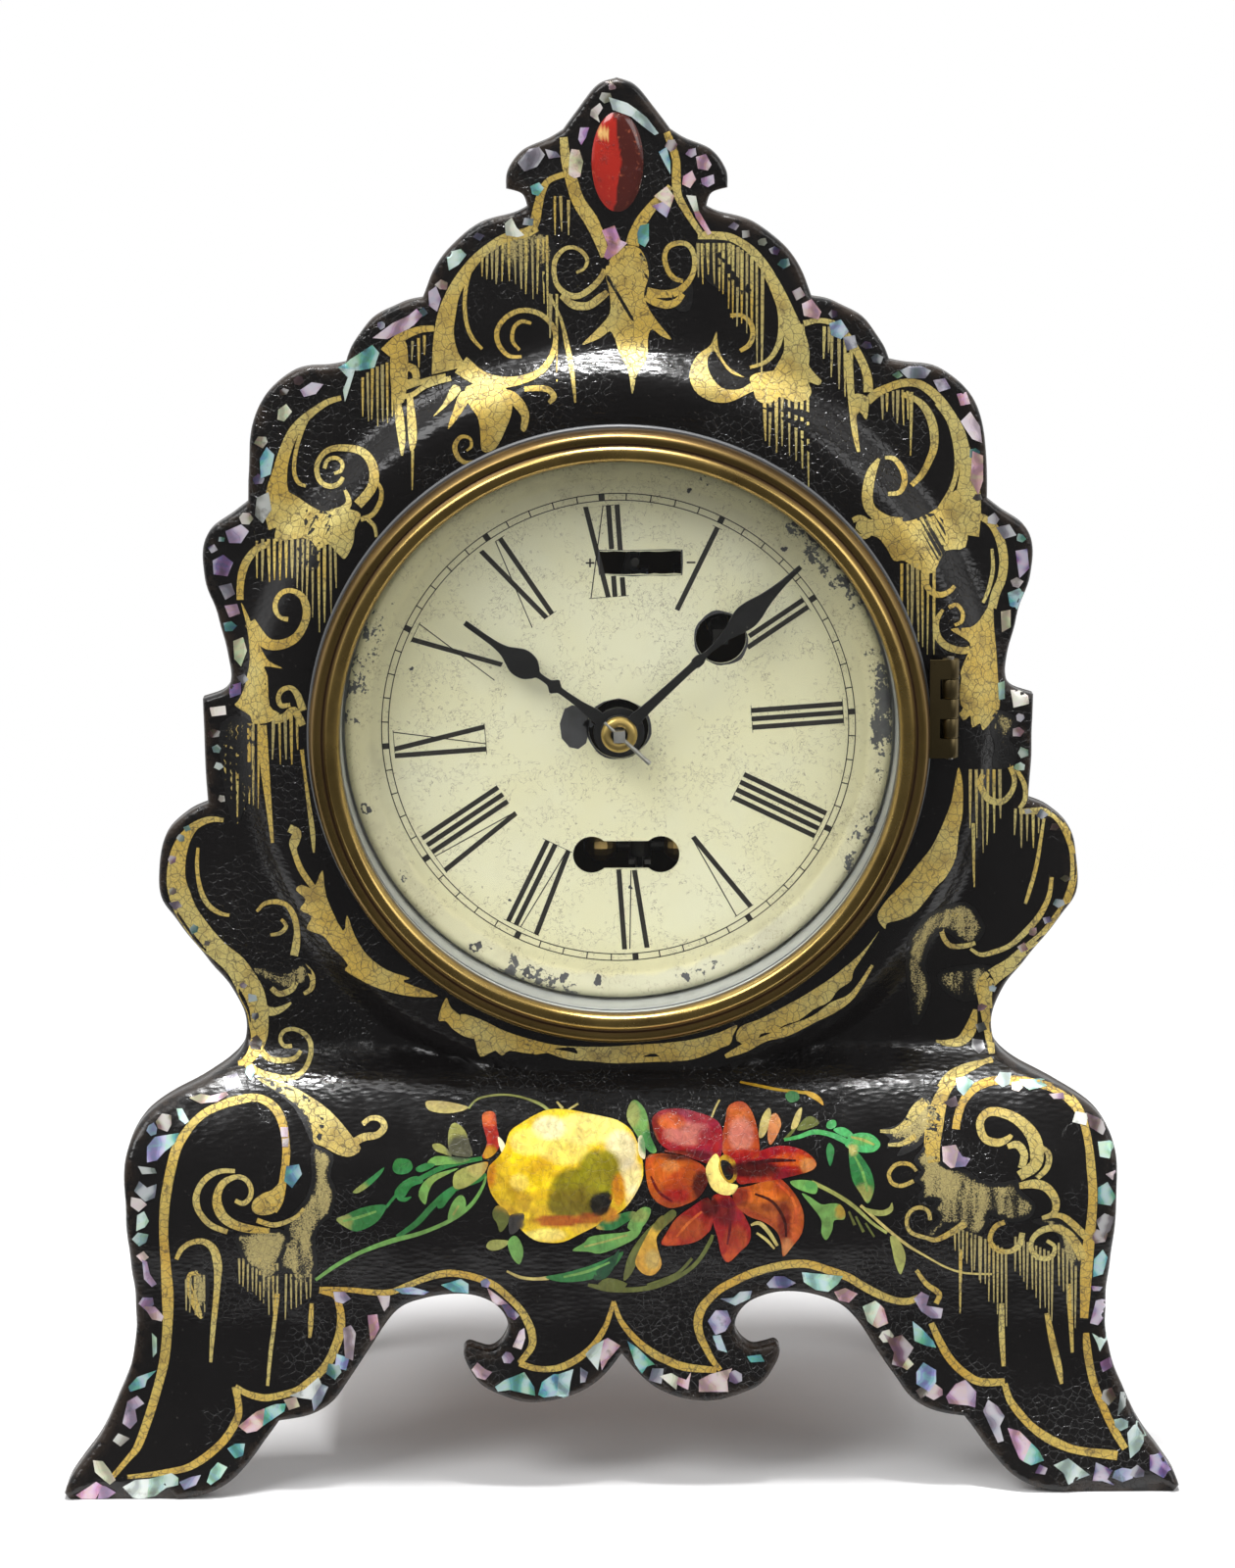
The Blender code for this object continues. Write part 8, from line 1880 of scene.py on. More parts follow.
@dataclass(frozen=True)
class MouldedFront:
    """The pressed front with its boss, base, feet and scrolled apron."""

    steps: int = 6
    round_over: float = 0.0013
    spacing: float = 0.0016
    round_margin: float = 0.0026
    field_margin: float = 0.0028
    hole_margin: float = 0.0005
    field_start: float = 0.0850
    slope_step: float = 0.0004
    thickest: float = 0.008
    rim_width: float = 0.0026
    rings: tuple[float, ...] = (0.00015, 0.0004, 0.0008, 0.0013, 0.0020)
    leaf_slot: tuple[float, float, float, float] = (0.06855, 0.15685, 0.06995, 0.16975)

    def outline(self) -> np.ndarray:
        """The whole outline, worn slightly inward along its edge.

        Returns:
            World X and Z of its corners.
        """
        half: list[tuple[float, ...]] = []
        for run in FRONT_RUNS:
            half += (smooth_run(run, self.steps) if len(run) > 2 else list(run))[:-1]
        half.append(FRONT_RUNS[-1][-1])
        loop = np.array(half + [(-x, z) for x, z in half[1:-1]][::-1])
        reach = np.cumsum(np.linalg.norm(loop - np.roll(loop, 1, axis=0), axis=1))
        nick = 0.00007 * (1 + np.sin(reach / 0.0019 + 3 * np.sin(reach / 0.0133)))
        nick += 0.00012 * np.clip(np.sin(reach / 0.0071 + 2.2 * np.sin(reach / 0.031)) - 0.72, 0, 1) / 0.28
        return loop + inward_of(loop) * (nick * np.clip((loop[:, 1] - 0.003) / 0.006, 0, 1))[:, None]

    def inner_points(self, loop: np.ndarray, holes: Sequence[np.ndarray]) -> np.ndarray:
        """Points within the outline: rings along the edge and round the boss, and a field between.

        Args:
            loop: The outline.
            holes: Its openings.

        Returns:
            Rows of X and Z.
        """
        inward = inward_of(loop)
        parts = []
        for depth in self.rings:
            ring = loop + inward * depth
            good = inside(ring, loop) & (edge_distance(ring, loop) > 0.93 * depth)
            parts.append(ring[good])
        centre = np.array([0.0, SIZES.dial_z])
        rounds = [dial_circle(r, 300) for r in np.arange(0.0594, 0.0842, 0.0010)]
        columns = np.arange(-0.117, 0.1171, self.spacing)
        rows = np.arange(0.0012, 0.292, self.spacing * 0.866)
        offset = self.spacing / 2
        field_points = np.array([(c + (offset if i % 2 else 0.0), r) for i, r in enumerate(rows) for c in columns])
        away = np.linalg.norm(field_points - centre, axis=1)
        parts.append(self.within(np.concatenate(rounds), loop, holes, self.round_margin))
        parts.append(self.within(field_points[away > self.field_start], loop, holes, self.field_margin))
        return np.concatenate(parts)

    def within(self, spots: np.ndarray, loop: np.ndarray, holes: Sequence[np.ndarray], margin: float) -> np.ndarray:
        """The spots that lie well inside the outline and off its openings.

        Args:
            spots: Rows of X and Z.
            loop: The outline.
            holes: Its openings.
            margin: Least distance from the outline.

        Returns:
            The spots that stay.
        """
        good = inside(spots, loop)
        good &= edge_distance(spots, loop) > margin
        for hole in holes:
            good &= ~inside(spots, hole) & (edge_distance(spots, hole) > self.hole_margin)
        return spots[good]

    def back(self, x: np.ndarray, z: np.ndarray) -> np.ndarray:
        """World Y of the inner face, which follows the base but not the boss.

        Args:
            x: Places across.
            z: Heights above the floor.

        Returns:
            World Y values.
        """
        step = self.slope_step
        slope = (RELIEF.base(z + step) - RELIEF.base(z - step)) / (2 * step)
        wall = np.minimum(SIZES.front_wall * np.sqrt(1 + slope * slope), self.thickest)
        return SIZES.front_y - RELIEF.base(z) + np.where(RELIEF.base(z) > 0, wall, SIZES.front_wall)

    def make(self) -> bpy.types.Object:
        """Build the front.

        Returns:
            The front.
        """
        loop = self.outline()
        left, low, right, high = self.leaf_slot
        slot = np.array([(left, low), (left, high), (right, high), (right, low)])
        holes = [dial_circle(SIZES.hole_radius, 240), slot]

        def front(x: np.ndarray, z: np.ndarray) -> np.ndarray:
            """World Y of the outer face, rounded over along the edge."""
            depth = np.clip(self.round_over - edge_distance(np.column_stack([x, z]), loop), 0.0, self.round_over)
            drop = self.round_over - np.sqrt(self.round_over ** 2 - depth ** 2)
            return np.maximum(RELIEF.y(x, z) + drop, CAD_BOX[0][1] + 0.00002)

        item, spots, rear = skin("moulded_front", loop, self.inner_points(loop, holes), holes, front, self.back,
                                 FINISHES.of(LACQUER), 50.0)
        give_values(item, "rim", np.clip(1 - edge_distance(spots, loop) / self.rim_width, 0, 1) * (1 - rear))
        give_values(item, "rear", rear)
        return seat(item, Body.CASE, Coat.LACQUER, "front_shell")


# Worn stretches of the dial's rim: degrees clockwise from twelve, spread in degrees and strength
RIM_WEAR = (
    (50, 16, 0.7), (86, 12, 0.9), (118, 8, 0.7), (285, 16, 0.75), (197, 14, 0.7), (160, 12, 0.5), (240, 12, 0.45),
    (20, 12, 0.4),
)

# Places where the dial's paint has gone: pixel and radius in metres
PAINT_CHIPS = (
    ((373, 825), 0.0011), ((485, 966), 0.0011), ((538, 993), 0.0010), ((575, 997), 0.0012), ((610, 1000), 0.0009),
    ((700, 996), 0.0008), ((895, 832), 0.0016), ((888, 846), 0.0010), ((600, 738), 0.0009), ((420, 682), 0.0004),
    ((643, 905), 0.0004), ((760, 640), 0.0006), ((520, 918), 0.0003), ((845, 545), 0.0011), ((868, 590), 0.0009),
    ((880, 612), 0.0007), ((800, 560), 0.0006), ((703, 500), 0.0005),
)

# Outline of the large bare patch near the centre, as pixels
BARE_PATCH = (
    (576, 723), (584, 719), (593, 722), (600, 731), (601, 745), (598, 758), (590, 764), (581, 762), (573, 753),
    (571, 738),
)

# Corners of the worn border round the regulator's slot, as shares of its half width and half height
SLOT_BORDER = (
    (-1, -1), (-0.6, -1), (-0.2, -1), (0.2, -1), (0.6, -1), (1, -1), (1, 0), (1, 1), (0.6, 1), (0.2, 1), (-0.2, 1),
    (-0.6, 1), (-1, 1), (-1, 0),
)


@dataclass(frozen=True)
class Dial:
    """The drum and the painted dial with its openings."""

    slot: tuple[float, float, float, float] = (0.0046, 0.1923, 0.0168, 0.0048)
    window_x: float = 0.0015
    window_z: float = 0.1310
    window_spread: float = 0.0072
    window_radius: float = 0.0039
    window_waist: float = 0.0058
    winding: Point = (0.021167, 0.176459)
    winding_radius: float = 0.0052
    centre_radius: float = 0.0062
    thickness: float = 0.0008

    def face(self, x: np.ndarray, z: np.ndarray) -> np.ndarray:
        """World Y of the painted face.

        Args:
            x: Places across.
            z: Heights above the floor.

        Returns:
            World Y values.
        """
        radius = np.hypot(x, z - SIZES.dial_z)
        ahead = np.interp(radius, (0.0515, 0.0520, 0.0527, 0.0536, 0.0544, 0.0552, 0.0558, 0.0563, 0.0567),
                          (0.0, 0.00012, 0.00062, 0.00144, 0.00206, 0.0024, 0.0023, 0.0019, 0.0012))
        return SIZES.front_y - SIZES.dial_ahead - ahead

    def window(self) -> np.ndarray:
        """Outline of the two-lobed window.

        Returns:
            World X and Z of its corners.
        """
        meet = math.asin(self.window_waist / 2 / self.window_radius)
        loop = []
        for side, x in ((1, self.window_x + self.window_spread), (-1, self.window_x - self.window_spread)):
            start = math.pi / 2 * (3 if side == 1 else 1) + meet
            for i in range(25):
                turn = start + (math.tau - 2 * meet) * i / 24
                loop.append((x + self.window_radius * math.sin(turn),
                             self.window_z + self.window_radius * math.cos(turn)))
        return np.array(loop)

    def openings(self) -> list[np.ndarray]:
        """The holes through the dial.

        Returns:
            One loop of world X and Z for each hole.
        """
        x, z, width, height = self.slot
        ragged = random.Random(7)
        slot = []
        for (x0, z0), (x1, z1) in (((-1, -1), (-1, 1)), ((-1, 1), (1, 1)), ((1, 1), (1, -1)), ((1, -1), (-1, -1))):
            steps = 4 if x0 == x1 else 12
            slot += [(x + width / 2 * (x0 + (x1 - x0) * i / steps), z + height / 2 * (z0 + (z1 - z0) * i / steps)
                      + (ragged.uniform(-0.00012, 0.00012) if i else 0.0)) for i in range(steps)]
        return [dial_circle(self.centre_radius, 64), circle(self.winding_radius, 56, *self.winding),
                np.array(slot), self.window()]

    def make_drum(self) -> bpy.types.Object:
        """Build the grey metal wall with its flange and lip.

        Returns:
            The drum.
        """
        profile = [(r / 1000, h / 1000, dull) for r, h, dull in (
            (57.3, 8.6, 0.3), (57.5, 8.8, 1.0), (63.9, 8.8, 1.0), (64.2, 8.5, 1.0), (64.2, 7.3, 1.0),
            (58.2, 7.3, 1.0), (58.2, -3.0, 1.0), (52.5, -3.0, 1.0), (52.5, -2.1, 0.0), (57.3, -2.1, 0.0),
            (57.3, 1.0, 0.0), (57.3, 5.0, 0.0),
        )]
        return seat(turned("drum_wall", profile, 192, FINISHES.of(ZINC)), Body.CASE, Coat.ZINC, "dial_drum")

    def make_plate(self) -> bpy.types.Object:
        """Build the dial with its raised rim.

        Returns:
            The dial.
        """
        holes = self.openings()
        rings = [dial_circle(r / 1000, 220)
                 for r in (56.5, 56.2, 55.8, 55.4, 55.0, 54.5, 54.0, 53.5, 53.0, 52.6, 52.2, 51.9, 51.6, 51.2, 50.0)]
        columns = np.arange(-0.050, 0.0501, 0.0025)
        field_points = np.array([(c, SIZES.dial_z + r) for c in columns for r in columns if math.hypot(c, r) < 0.0485])
        extra = np.concatenate([*rings, field_points])
        for hole in holes:
            extra = extra[~inside(extra, hole)]
            extra = extra[edge_distance(extra, hole) > 0.0006]

        def back(x: np.ndarray, z: np.ndarray) -> np.ndarray:
            """World Y of the flat back."""
            return np.full(len(x), SIZES.front_y - SIZES.dial_ahead + self.thickness)

        item, spots, rear = skin("painted_dial", dial_circle(SIZES.dial_radius, 220), extra, holes,
                                 self.face, back, FINISHES.of(DIAL_PAINT))
        radius = np.hypot(spots[:, 0], spots[:, 1] - SIZES.dial_z)
        give_values(item, "turned", np.clip((radius - 0.044) / 0.011, 0, 1))
        turn = np.degrees(np.arctan2(spots[:, 0], spots[:, 1] - SIZES.dial_z)) % 360
        worn = np.zeros(len(turn))
        for middle, spread, amount in RIM_WEAR:
            worn = np.maximum(worn, amount * np.exp(-0.5 * ((turn - middle) / spread) ** 2))
        give_values(item, "chip", worn * np.clip((radius - 0.0505) / 0.0028, 0, 1) * (1 - rear))
        give_values(item, "ashen", 0.04 + 0.42 * np.clip(1.1 - np.abs(turn - 165) / 85, 0.0, 1.0))
        give_values(item, "rear", rear)
        return seat(item, Body.CASE, Coat.DIAL, "dial_plate")

    def make(self) -> None:
        """Build every piece of the dial."""
        self.make_drum()
        self.make_plate()


@dataclass(frozen=True)
class DialMarks:
    """Roman numerals, the minute track, the regulator's signs and the chips in the paint."""

    inner: float = 0.0276
    outer: float = 0.0467
    thick: float = 0.00104
    thin: float = 0.00022
    hair: float = 0.00013
    hair_left: float = 0.62
    pitch: float = 0.00178
    letter: float = 0.0043
    track: tuple[float, float] = (0.0477, 0.0491)
    dial: Dial = field(default_factory=Dial)
    tilt: float = math.radians(-4.0)
    rim_start: float = 0.0514
    rim_top: float = 0.0545
    rim_chip: float = 0.0009
    clear: float = 0.0001
    long_tick: float = 0.00062
    short_tick: float = 0.00012
    line: float = 0.00020
    sign_reach: float = 0.0104
    sign_half: float = 0.0009
    sign_thick: float = 0.00018

    def stroke(self, a: Point, b: Point, width: float) -> list[Point]:
        """Corners of a straight stroke whose ends are level."""
        half = width / 2
        return [(a[0] - half, a[1]), (a[0] + half, a[1]), (b[0] + half, b[1]), (b[0] - half, b[1])]

    def numeral(self, text: str, draw: random.Random) -> list[list[Point]]:
        """Strokes of a numeral that stands upright at twelve.

        Args:
            text: The numeral's letters.
            draw: The seeded source of chance, for worn hairlines.

        Returns:
            Loops of X across and distance from the dial's centre.
        """
        widths = [self.pitch if letter == "I" else self.letter for letter in text]
        left = -sum(widths) / 2
        loops = []
        low, high = self.inner, self.outer
        for letter, width in zip(text, widths):
            right, middle = left + width, left + width / 2
            if letter == "I":
                loops.append(self.stroke((middle, low), (middle, high), self.thick))
            elif letter == "V":
                loops.append(self.stroke((middle, low), (left + 0.0005, high), self.thick))
                loops.append(self.stroke((middle + 0.0003, low), (right - 0.0002, high), self.thin))
            else:
                loops.append(self.stroke((right - 0.0005, low), (left + 0.0005, high), self.thick))
                loops.append(self.stroke((left + 0.0002, low), (right - 0.0002, high), self.thin))
            for level in (low + self.hair / 2, high - self.hair / 2):
                if draw.random() < self.hair_left:
                    loops.append([(left - 0.0002, level - self.hair / 2), (left - 0.0002, level + self.hair / 2),
                                  (right + 0.0002, level + self.hair / 2), (right + 0.0002, level - self.hair / 2)])
            left = right
        return loops

    def turn(self, loop: Sequence[Point], angle: float) -> np.ndarray:
        """A loop turned clockwise about the dial's centre and set on it."""
        cos, sin = math.cos(angle + self.tilt), math.sin(angle + self.tilt)
        return np.array([(u * cos + v * sin, SIZES.dial_z + v * cos - u * sin) for u, v in loop])

    def ragged(self, x: float, z: float, size: float, draw: random.Random, count: int = 22,
               lobes: float = 1.0) -> np.ndarray:
        """An irregular patch round a place.

        Args:
            x: Its middle across.
            z: Its middle's height.
            size: Its mean radius.
            draw: The seeded source of chance.
            count: How many corners it has.
            lobes: How uneven it is, from 0 to 1.

        Returns:
            World X and Z of its corners.
        """
        phases = [draw.uniform(0, math.tau) for _ in range(3)]
        rows = []
        for i in range(count):
            a = math.tau * i / count
            swell = (0.22 * math.sin(2 * a + phases[0]) + 0.16 * math.sin(3 * a + phases[1])
                     + 0.12 * math.sin(7 * a + phases[2]))
            r = size * (1 + lobes * (swell + draw.uniform(-0.07, 0.07)))
            rows.append((x + r * math.sin(a), z + r * math.cos(a)))
        return np.array(rows)

    def lay(self, name: str, shapes: Sequence[tuple[np.ndarray, Sequence[np.ndarray]]], lift: float,
            material: bpy.types.Material, coat: Coat) -> bpy.types.Object:
        """Lay flat shapes on the dial as one piece.

        Args:
            name: Name of the piece.
            shapes: Loops of world X and Z, each with its holes.
            lift: How far they stand ahead.
            material: Their finish.
            coat: The slot of their finish.

        Returns:
            The object.
        """
        points: list[Place] = []
        faces: list[tuple[int, ...]] = []
        for loop, holes in shapes:
            spots, triangles = filled(loop, np.zeros((0, 2)), holes)
            start = len(points)
            y = self.dial.face(spots[:, 0], spots[:, 1]) - lift
            points += list(zip(spots[:, 0], y, spots[:, 1]))
            for a, b, c in triangles:
                (ax, az), (bx, bz), (cx, cz) = spots[a], spots[b], spots[c]
                facing = (bx - ax) * (cz - az) - (bz - az) * (cx - ax) > 0
                faces.append((start + a, start + b, start + c) if facing else (start + a, start + c, start + b))
        return seat(make_piece(name, points, faces, material), Body.CASE, coat)

    def band(self, radius: float, width: float) -> tuple[np.ndarray, list[np.ndarray]]:
        """A thin circle about the dial's centre."""
        return dial_circle(radius + width / 2, 180), [dial_circle(radius - width / 2, 180)]

    def make_chips(self, draw: random.Random) -> None:
        """Lay the places where the paint has gone.

        Args:
            draw: The seeded source of chance.
        """
        shapes = []
        for pixel, size in PAINT_CHIPS:
            x, _, z = SIGHT.cast([pixel], self.dial.face)[0]
            radius = math.hypot(x, z - SIZES.dial_z)
            if radius + size * 1.4 > self.rim_start and radius < self.rim_top:
                size = min(size, self.rim_chip)
            shapes.append((self.ragged(x, z, size, draw), []))
        shapes.append((SIGHT.cast(BARE_PATCH, self.dial.face)[:, (0, 2)], []))
        x, z = self.dial.winding
        shapes.append((self.ragged(x, z, self.dial.winding_radius + 0.00045, draw, 40, 0.16),
                       [circle(self.dial.winding_radius + 0.00002, 48, x, z)]))
        shapes.append((self.ragged(0.0, SIZES.dial_z, self.dial.centre_radius + 0.00034, draw, 40, 0.13),
                       [dial_circle(self.dial.centre_radius + 0.00002, 56)]))
        x, z, width, height = self.dial.slot
        rows = []
        for u, v in SLOT_BORDER:
            grow = draw.uniform(0.00015, 0.00045)
            rows.append((x + u * (width / 2 + grow), z + v * (height / 2 + grow)))
        half, tall = width / 2, height / 2 + 0.00015
        hole = np.array([(x - half, z - tall), (x + half, z - tall), (x + half, z + tall), (x - half, z + tall)])
        shapes.append((np.array(rows), [hole]))
        self.lay("dial_paint_chips", shapes, 0.00006, FINISHES.of(BARE_TIN), Coat.DIAL)

    def make(self) -> None:
        """Build everything that is painted on the dial or gone from it."""
        draw = random.Random(21)
        shapes: list[tuple[np.ndarray, list[np.ndarray]]] = []
        for hour, text in enumerate(("XII", "I", "II", "III", "IIII", "V", "VI", "VII", "VIII", "IX", "X", "XI")):
            shapes += [(self.turn(loop, hour * math.tau / 12), []) for loop in self.numeral(text, draw)]
        low, high = self.track
        shapes += [self.band(low, self.line), self.band(high, self.line)]
        for minute in range(60):
            half = self.long_tick if minute % 5 == 0 else self.short_tick
            tick = [(-half, low), (half, low), (half, high), (-half, high)]
            shapes.append((self.turn(tick, minute * math.tau / 60), []))
        keep = []
        openings = [self.dial.openings()[i] for i in (1, 2, 3)]
        for loop, holes in shapes:
            covered = any((edge_distance(loop, hole) < self.clear).any() or inside(loop, hole).any()
                          or inside(np.linspace(loop[0], loop[2], 9), hole).any() for hole in openings)
            if covered:
                keep += [(part, []) for part in self.around(loop, openings)]
            else:
                keep.append((loop, holes))
        middle, z = self.dial.slot[:2]
        half, thick = self.sign_half, self.sign_thick
        for x in (middle - self.sign_reach, middle + self.sign_reach):
            bars = [(half, -thick, thick)]
            if x < middle:
                bars += [(thick, thick, half), (thick, -half, -thick)]
            for wide, below, above in bars:
                loop = [(x - wide, z + below), (x - wide, z + above), (x + wide, z + above), (x + wide, z + below)]
                keep.append((np.array(loop), []))
        self.lay("dial_numerals", keep, 0.00004, FINISHES.of(INK), Coat.DIAL)
        self.make_chips(draw)

    def around(self, loop: np.ndarray, openings: Sequence[np.ndarray]) -> list[np.ndarray]:
        """The parts of a long four-sided stroke that lie off the openings.

        Args:
            loop: Four corners, the long way from the first two to the last two.
            openings: The dial's holes.

        Returns:
            The strips that stay.
        """
        if len(loop) != 4:
            return [loop]
        steps = 48
        left = np.linspace(loop[0], loop[3], steps + 1)
        right = np.linspace(loop[1], loop[2], steps + 1)
        if np.linalg.norm(loop[1] - loop[0]) > np.linalg.norm(loop[3] - loop[0]):
            left, right = np.linspace(loop[0], loop[1], steps + 1), np.linspace(loop[3], loop[2], steps + 1)
        parts = []
        for i in range(steps):
            quad = np.array([left[i], right[i], right[i + 1], left[i + 1]])
            if not any(inside(quad, hole).any() or (edge_distance(quad, hole) < self.clear).any() for hole in openings):
                parts.append(quad)
        return parts


@dataclass(frozen=True)
class Bezel:
    """The hinged brass ring with its glass, retainer, leaves and knuckles."""

    inner: float = 0.0572
    width: float = 0.0064
    seat_ahead: float = 0.0126
    crest_ahead: float = 0.0158
    back_ahead: float = 0.0091
    barrel: float = 0.00175
    leaf: float = 0.0008
    gap: float = 0.00012
    leaf_end: float = -0.0215
    notch: float = 0.0022
    chamfer: float = 0.00012
    chamfer_rise: float = 0.0002

    def ring_profile(self) -> list[Place]:
        """Section of the ring; the stored value darkens the brass: high at its inner edge, in its groove, down its
        outer slope and on its back and seat.

        Returns:
            Radius, distance ahead and stored value, from point to point.
        """
        w, i, crest = self.width, self.inner, self.crest_ahead
        nodes = [(0.0, self.seat_ahead + 0.0013, 0.9), (0.03, 0.01472, 0.5), (0.08, 0.01532, 0.15),
                 (0.15, 0.01568, 0.0), (0.23, crest, 0.0), (0.33, crest, 0.0), (0.41, crest - 0.00012, 0.05),
                 (0.46, crest - 0.00042, 0.4),
                 (0.51, crest - 0.00078, 0.8), (0.56, crest - 0.00098, 1.0), (0.61, crest - 0.00096, 0.9),
                 (0.60, crest - 0.00074, 0.8), (0.71, crest - 0.00055, 0.45), (0.77, crest - 0.00050, 0.50),
                 (0.84, crest - 0.00066, 0.62), (0.90, crest - 0.00112, 0.75), (0.95, crest - 0.00185, 0.85),
                 (0.985, crest - 0.00255, 0.9), (1.0, self.seat_ahead - 0.0004, 0.8)]
        profile = [(i + w * share, ahead, value) for share, ahead, value in nodes]
        profile += [(i + w, self.back_ahead + 0.0002, 0.9), (i + w - 0.0002, self.back_ahead, 0.9),
                    (0.0600, self.back_ahead, 0.9), (0.0600, self.seat_ahead, 0.9), (i, self.seat_ahead, 0.9)]
        return profile

    def knuckle(self, index: int) -> float:
        """Height at which a knuckle starts."""
        return SIZES.hinge_z - SIZES.hinge_height / 2 + SIZES.hinge_height * index / 5

    def leaf_mesh(self, name: str, knuckles: Sequence[int], corners: Sequence[Point], low: int, high: int,
                  notches: Sequence[int], behind: bool = False) -> bpy.types.Object:
        """A hinge leaf: rolled knuckles and a flat tail, cut back where the other leaf turns.

        Args:
            name: Name of the piece.
            knuckles: Which knuckles belong to it.
            corners: Section of its tail as world X and Y.
            low: Knuckle where the tail starts.
            high: Knuckle where it ends.
            notches: Knuckles at which the tail is cut back.
            behind: Whether it is cut back behind the barrel and not beside it.

        Returns:
            The object.
        """
        points: list[Place] = []
        faces: list[tuple[int, ...]] = []
        sides = 28
        for index in knuckles:
            z0, z1 = self.knuckle(index) + self.gap / 2, self.knuckle(index + 1) - self.gap / 2
            start = len(points)
            low_rim, high_rim = z0 + self.chamfer_rise, z1 - self.chamfer_rise
            for z, swell in ((z0, -self.chamfer), (low_rim, 0.0), (high_rim, 0.0), (z1, -self.chamfer)):
                for i in range(sides):
                    turn = math.tau * i / sides
                    points.append((SIZES.hinge_x + (self.barrel + swell) * math.cos(turn),
                                   SIZES.hinge_y + (self.barrel + swell) * math.sin(turn), z))
            for row in range(3):
                for i in range(sides):
                    j = (i + 1) % sides
                    a = start + row * sides
                    faces.append((a + i, a + j, a + sides + j, a + sides + i))
            faces.append(tuple(start + i for i in reversed(range(sides))))
            faces.append(tuple(start + 3 * sides + i for i in range(sides)))
        cuts = sorted({self.knuckle(low), self.knuckle(high), *(self.knuckle(n) for n in notches),
                       *(self.knuckle(n + 1) for n in notches)})
        for z0, z1 in zip(cuts, cuts[1:]):
            middle = (z0 + z1) / 2
            notched = any(self.knuckle(n) < middle < self.knuckle(n + 1) for n in notches)
            section = list(corners)
            if notched and behind:
                section = [(x, max(y, SIZES.hinge_y + self.barrel + 2 * self.gap)) for x, y in corners]
            elif notched:
                section = [(min(x, SIZES.hinge_x - self.notch), y) for x, y in corners]
            start = len(points)
            grow = self.gap / 2 if notched else -self.gap / 2
            points += [(x, y, z) for z in (z0 - grow, z1 + grow) for x, y in section]
            n = len(section)
            faces += [(start + i, start + (i + 1) % n, start + n + (i + 1) % n, start + n + i) for i in range(n)]
            faces += [tuple(start + i for i in reversed(range(n))), tuple(start + n + i for i in range(n))]
        return make_piece(name, points, faces, FINISHES.of(HINGE_BRASS), 35.0)

    def make(self) -> None:
        """Build the bezel and its hinge."""
        ring = turned("brass_bezel", self.ring_profile(), 256, FINISHES.of(BEZEL_BRASS), sharp=55.0)
        seat(ring, Body.BEZEL, Coat.BEZEL, "bezel_ring")
        glass_profile = [(0.0, 0.0123, 0.0), (0.0594, 0.0123, 0.0), (0.0597, 0.0120, 0.0), (0.0597, 0.0112, 0.0),
                         (0.0594, 0.0109, 0.0), (0.0, 0.0109, 0.0)]
        glass = turned("front_glass", glass_profile, 160, FINISHES.of(GLASS), closed=False)
        seat(glass, Body.BEZEL, Coat.GLASS, "bezel_glass")
        hold = [(0.0575, 0.0104, 0.0), (0.0577, 0.0106, 0.0), (0.0597, 0.0106, 0.0), (0.0597, 0.0094, 0.0),
                (0.0575, 0.0094, 0.0)]
        seat(turned("glass_ring", hold, 192, FINISHES.of(ZINC)), Body.BEZEL, Coat.ZINC, "glass_retainer")
        y = SIZES.hinge_y - self.barrel
        reach = math.sqrt(0.0639 ** 2 - 0.006 ** 2)
        tail = [(reach, y), (SIZES.hinge_x, y), (SIZES.hinge_x, y + self.leaf), (reach, y + self.leaf)]
        moving = self.leaf_mesh("hinge_leaf_bezel", (0, 2, 4), tail, 0, 5, (1, 3))
        seat(moving, Body.BEZEL, Coat.BEZEL, "hinge_bezel_leaf")
        x = SIZES.hinge_x + self.barrel
        tail = [(x - self.leaf, SIZES.hinge_y), (x, SIZES.hinge_y), (x, self.leaf_end), (x - self.leaf, self.leaf_end)]
        fixed = self.leaf_mesh("hinge_leaf_case", (1, 3), tail, 1, 4, (2,), True)
        seat(fixed, Body.CASE, Coat.BEZEL, "hinge_case_leaf")


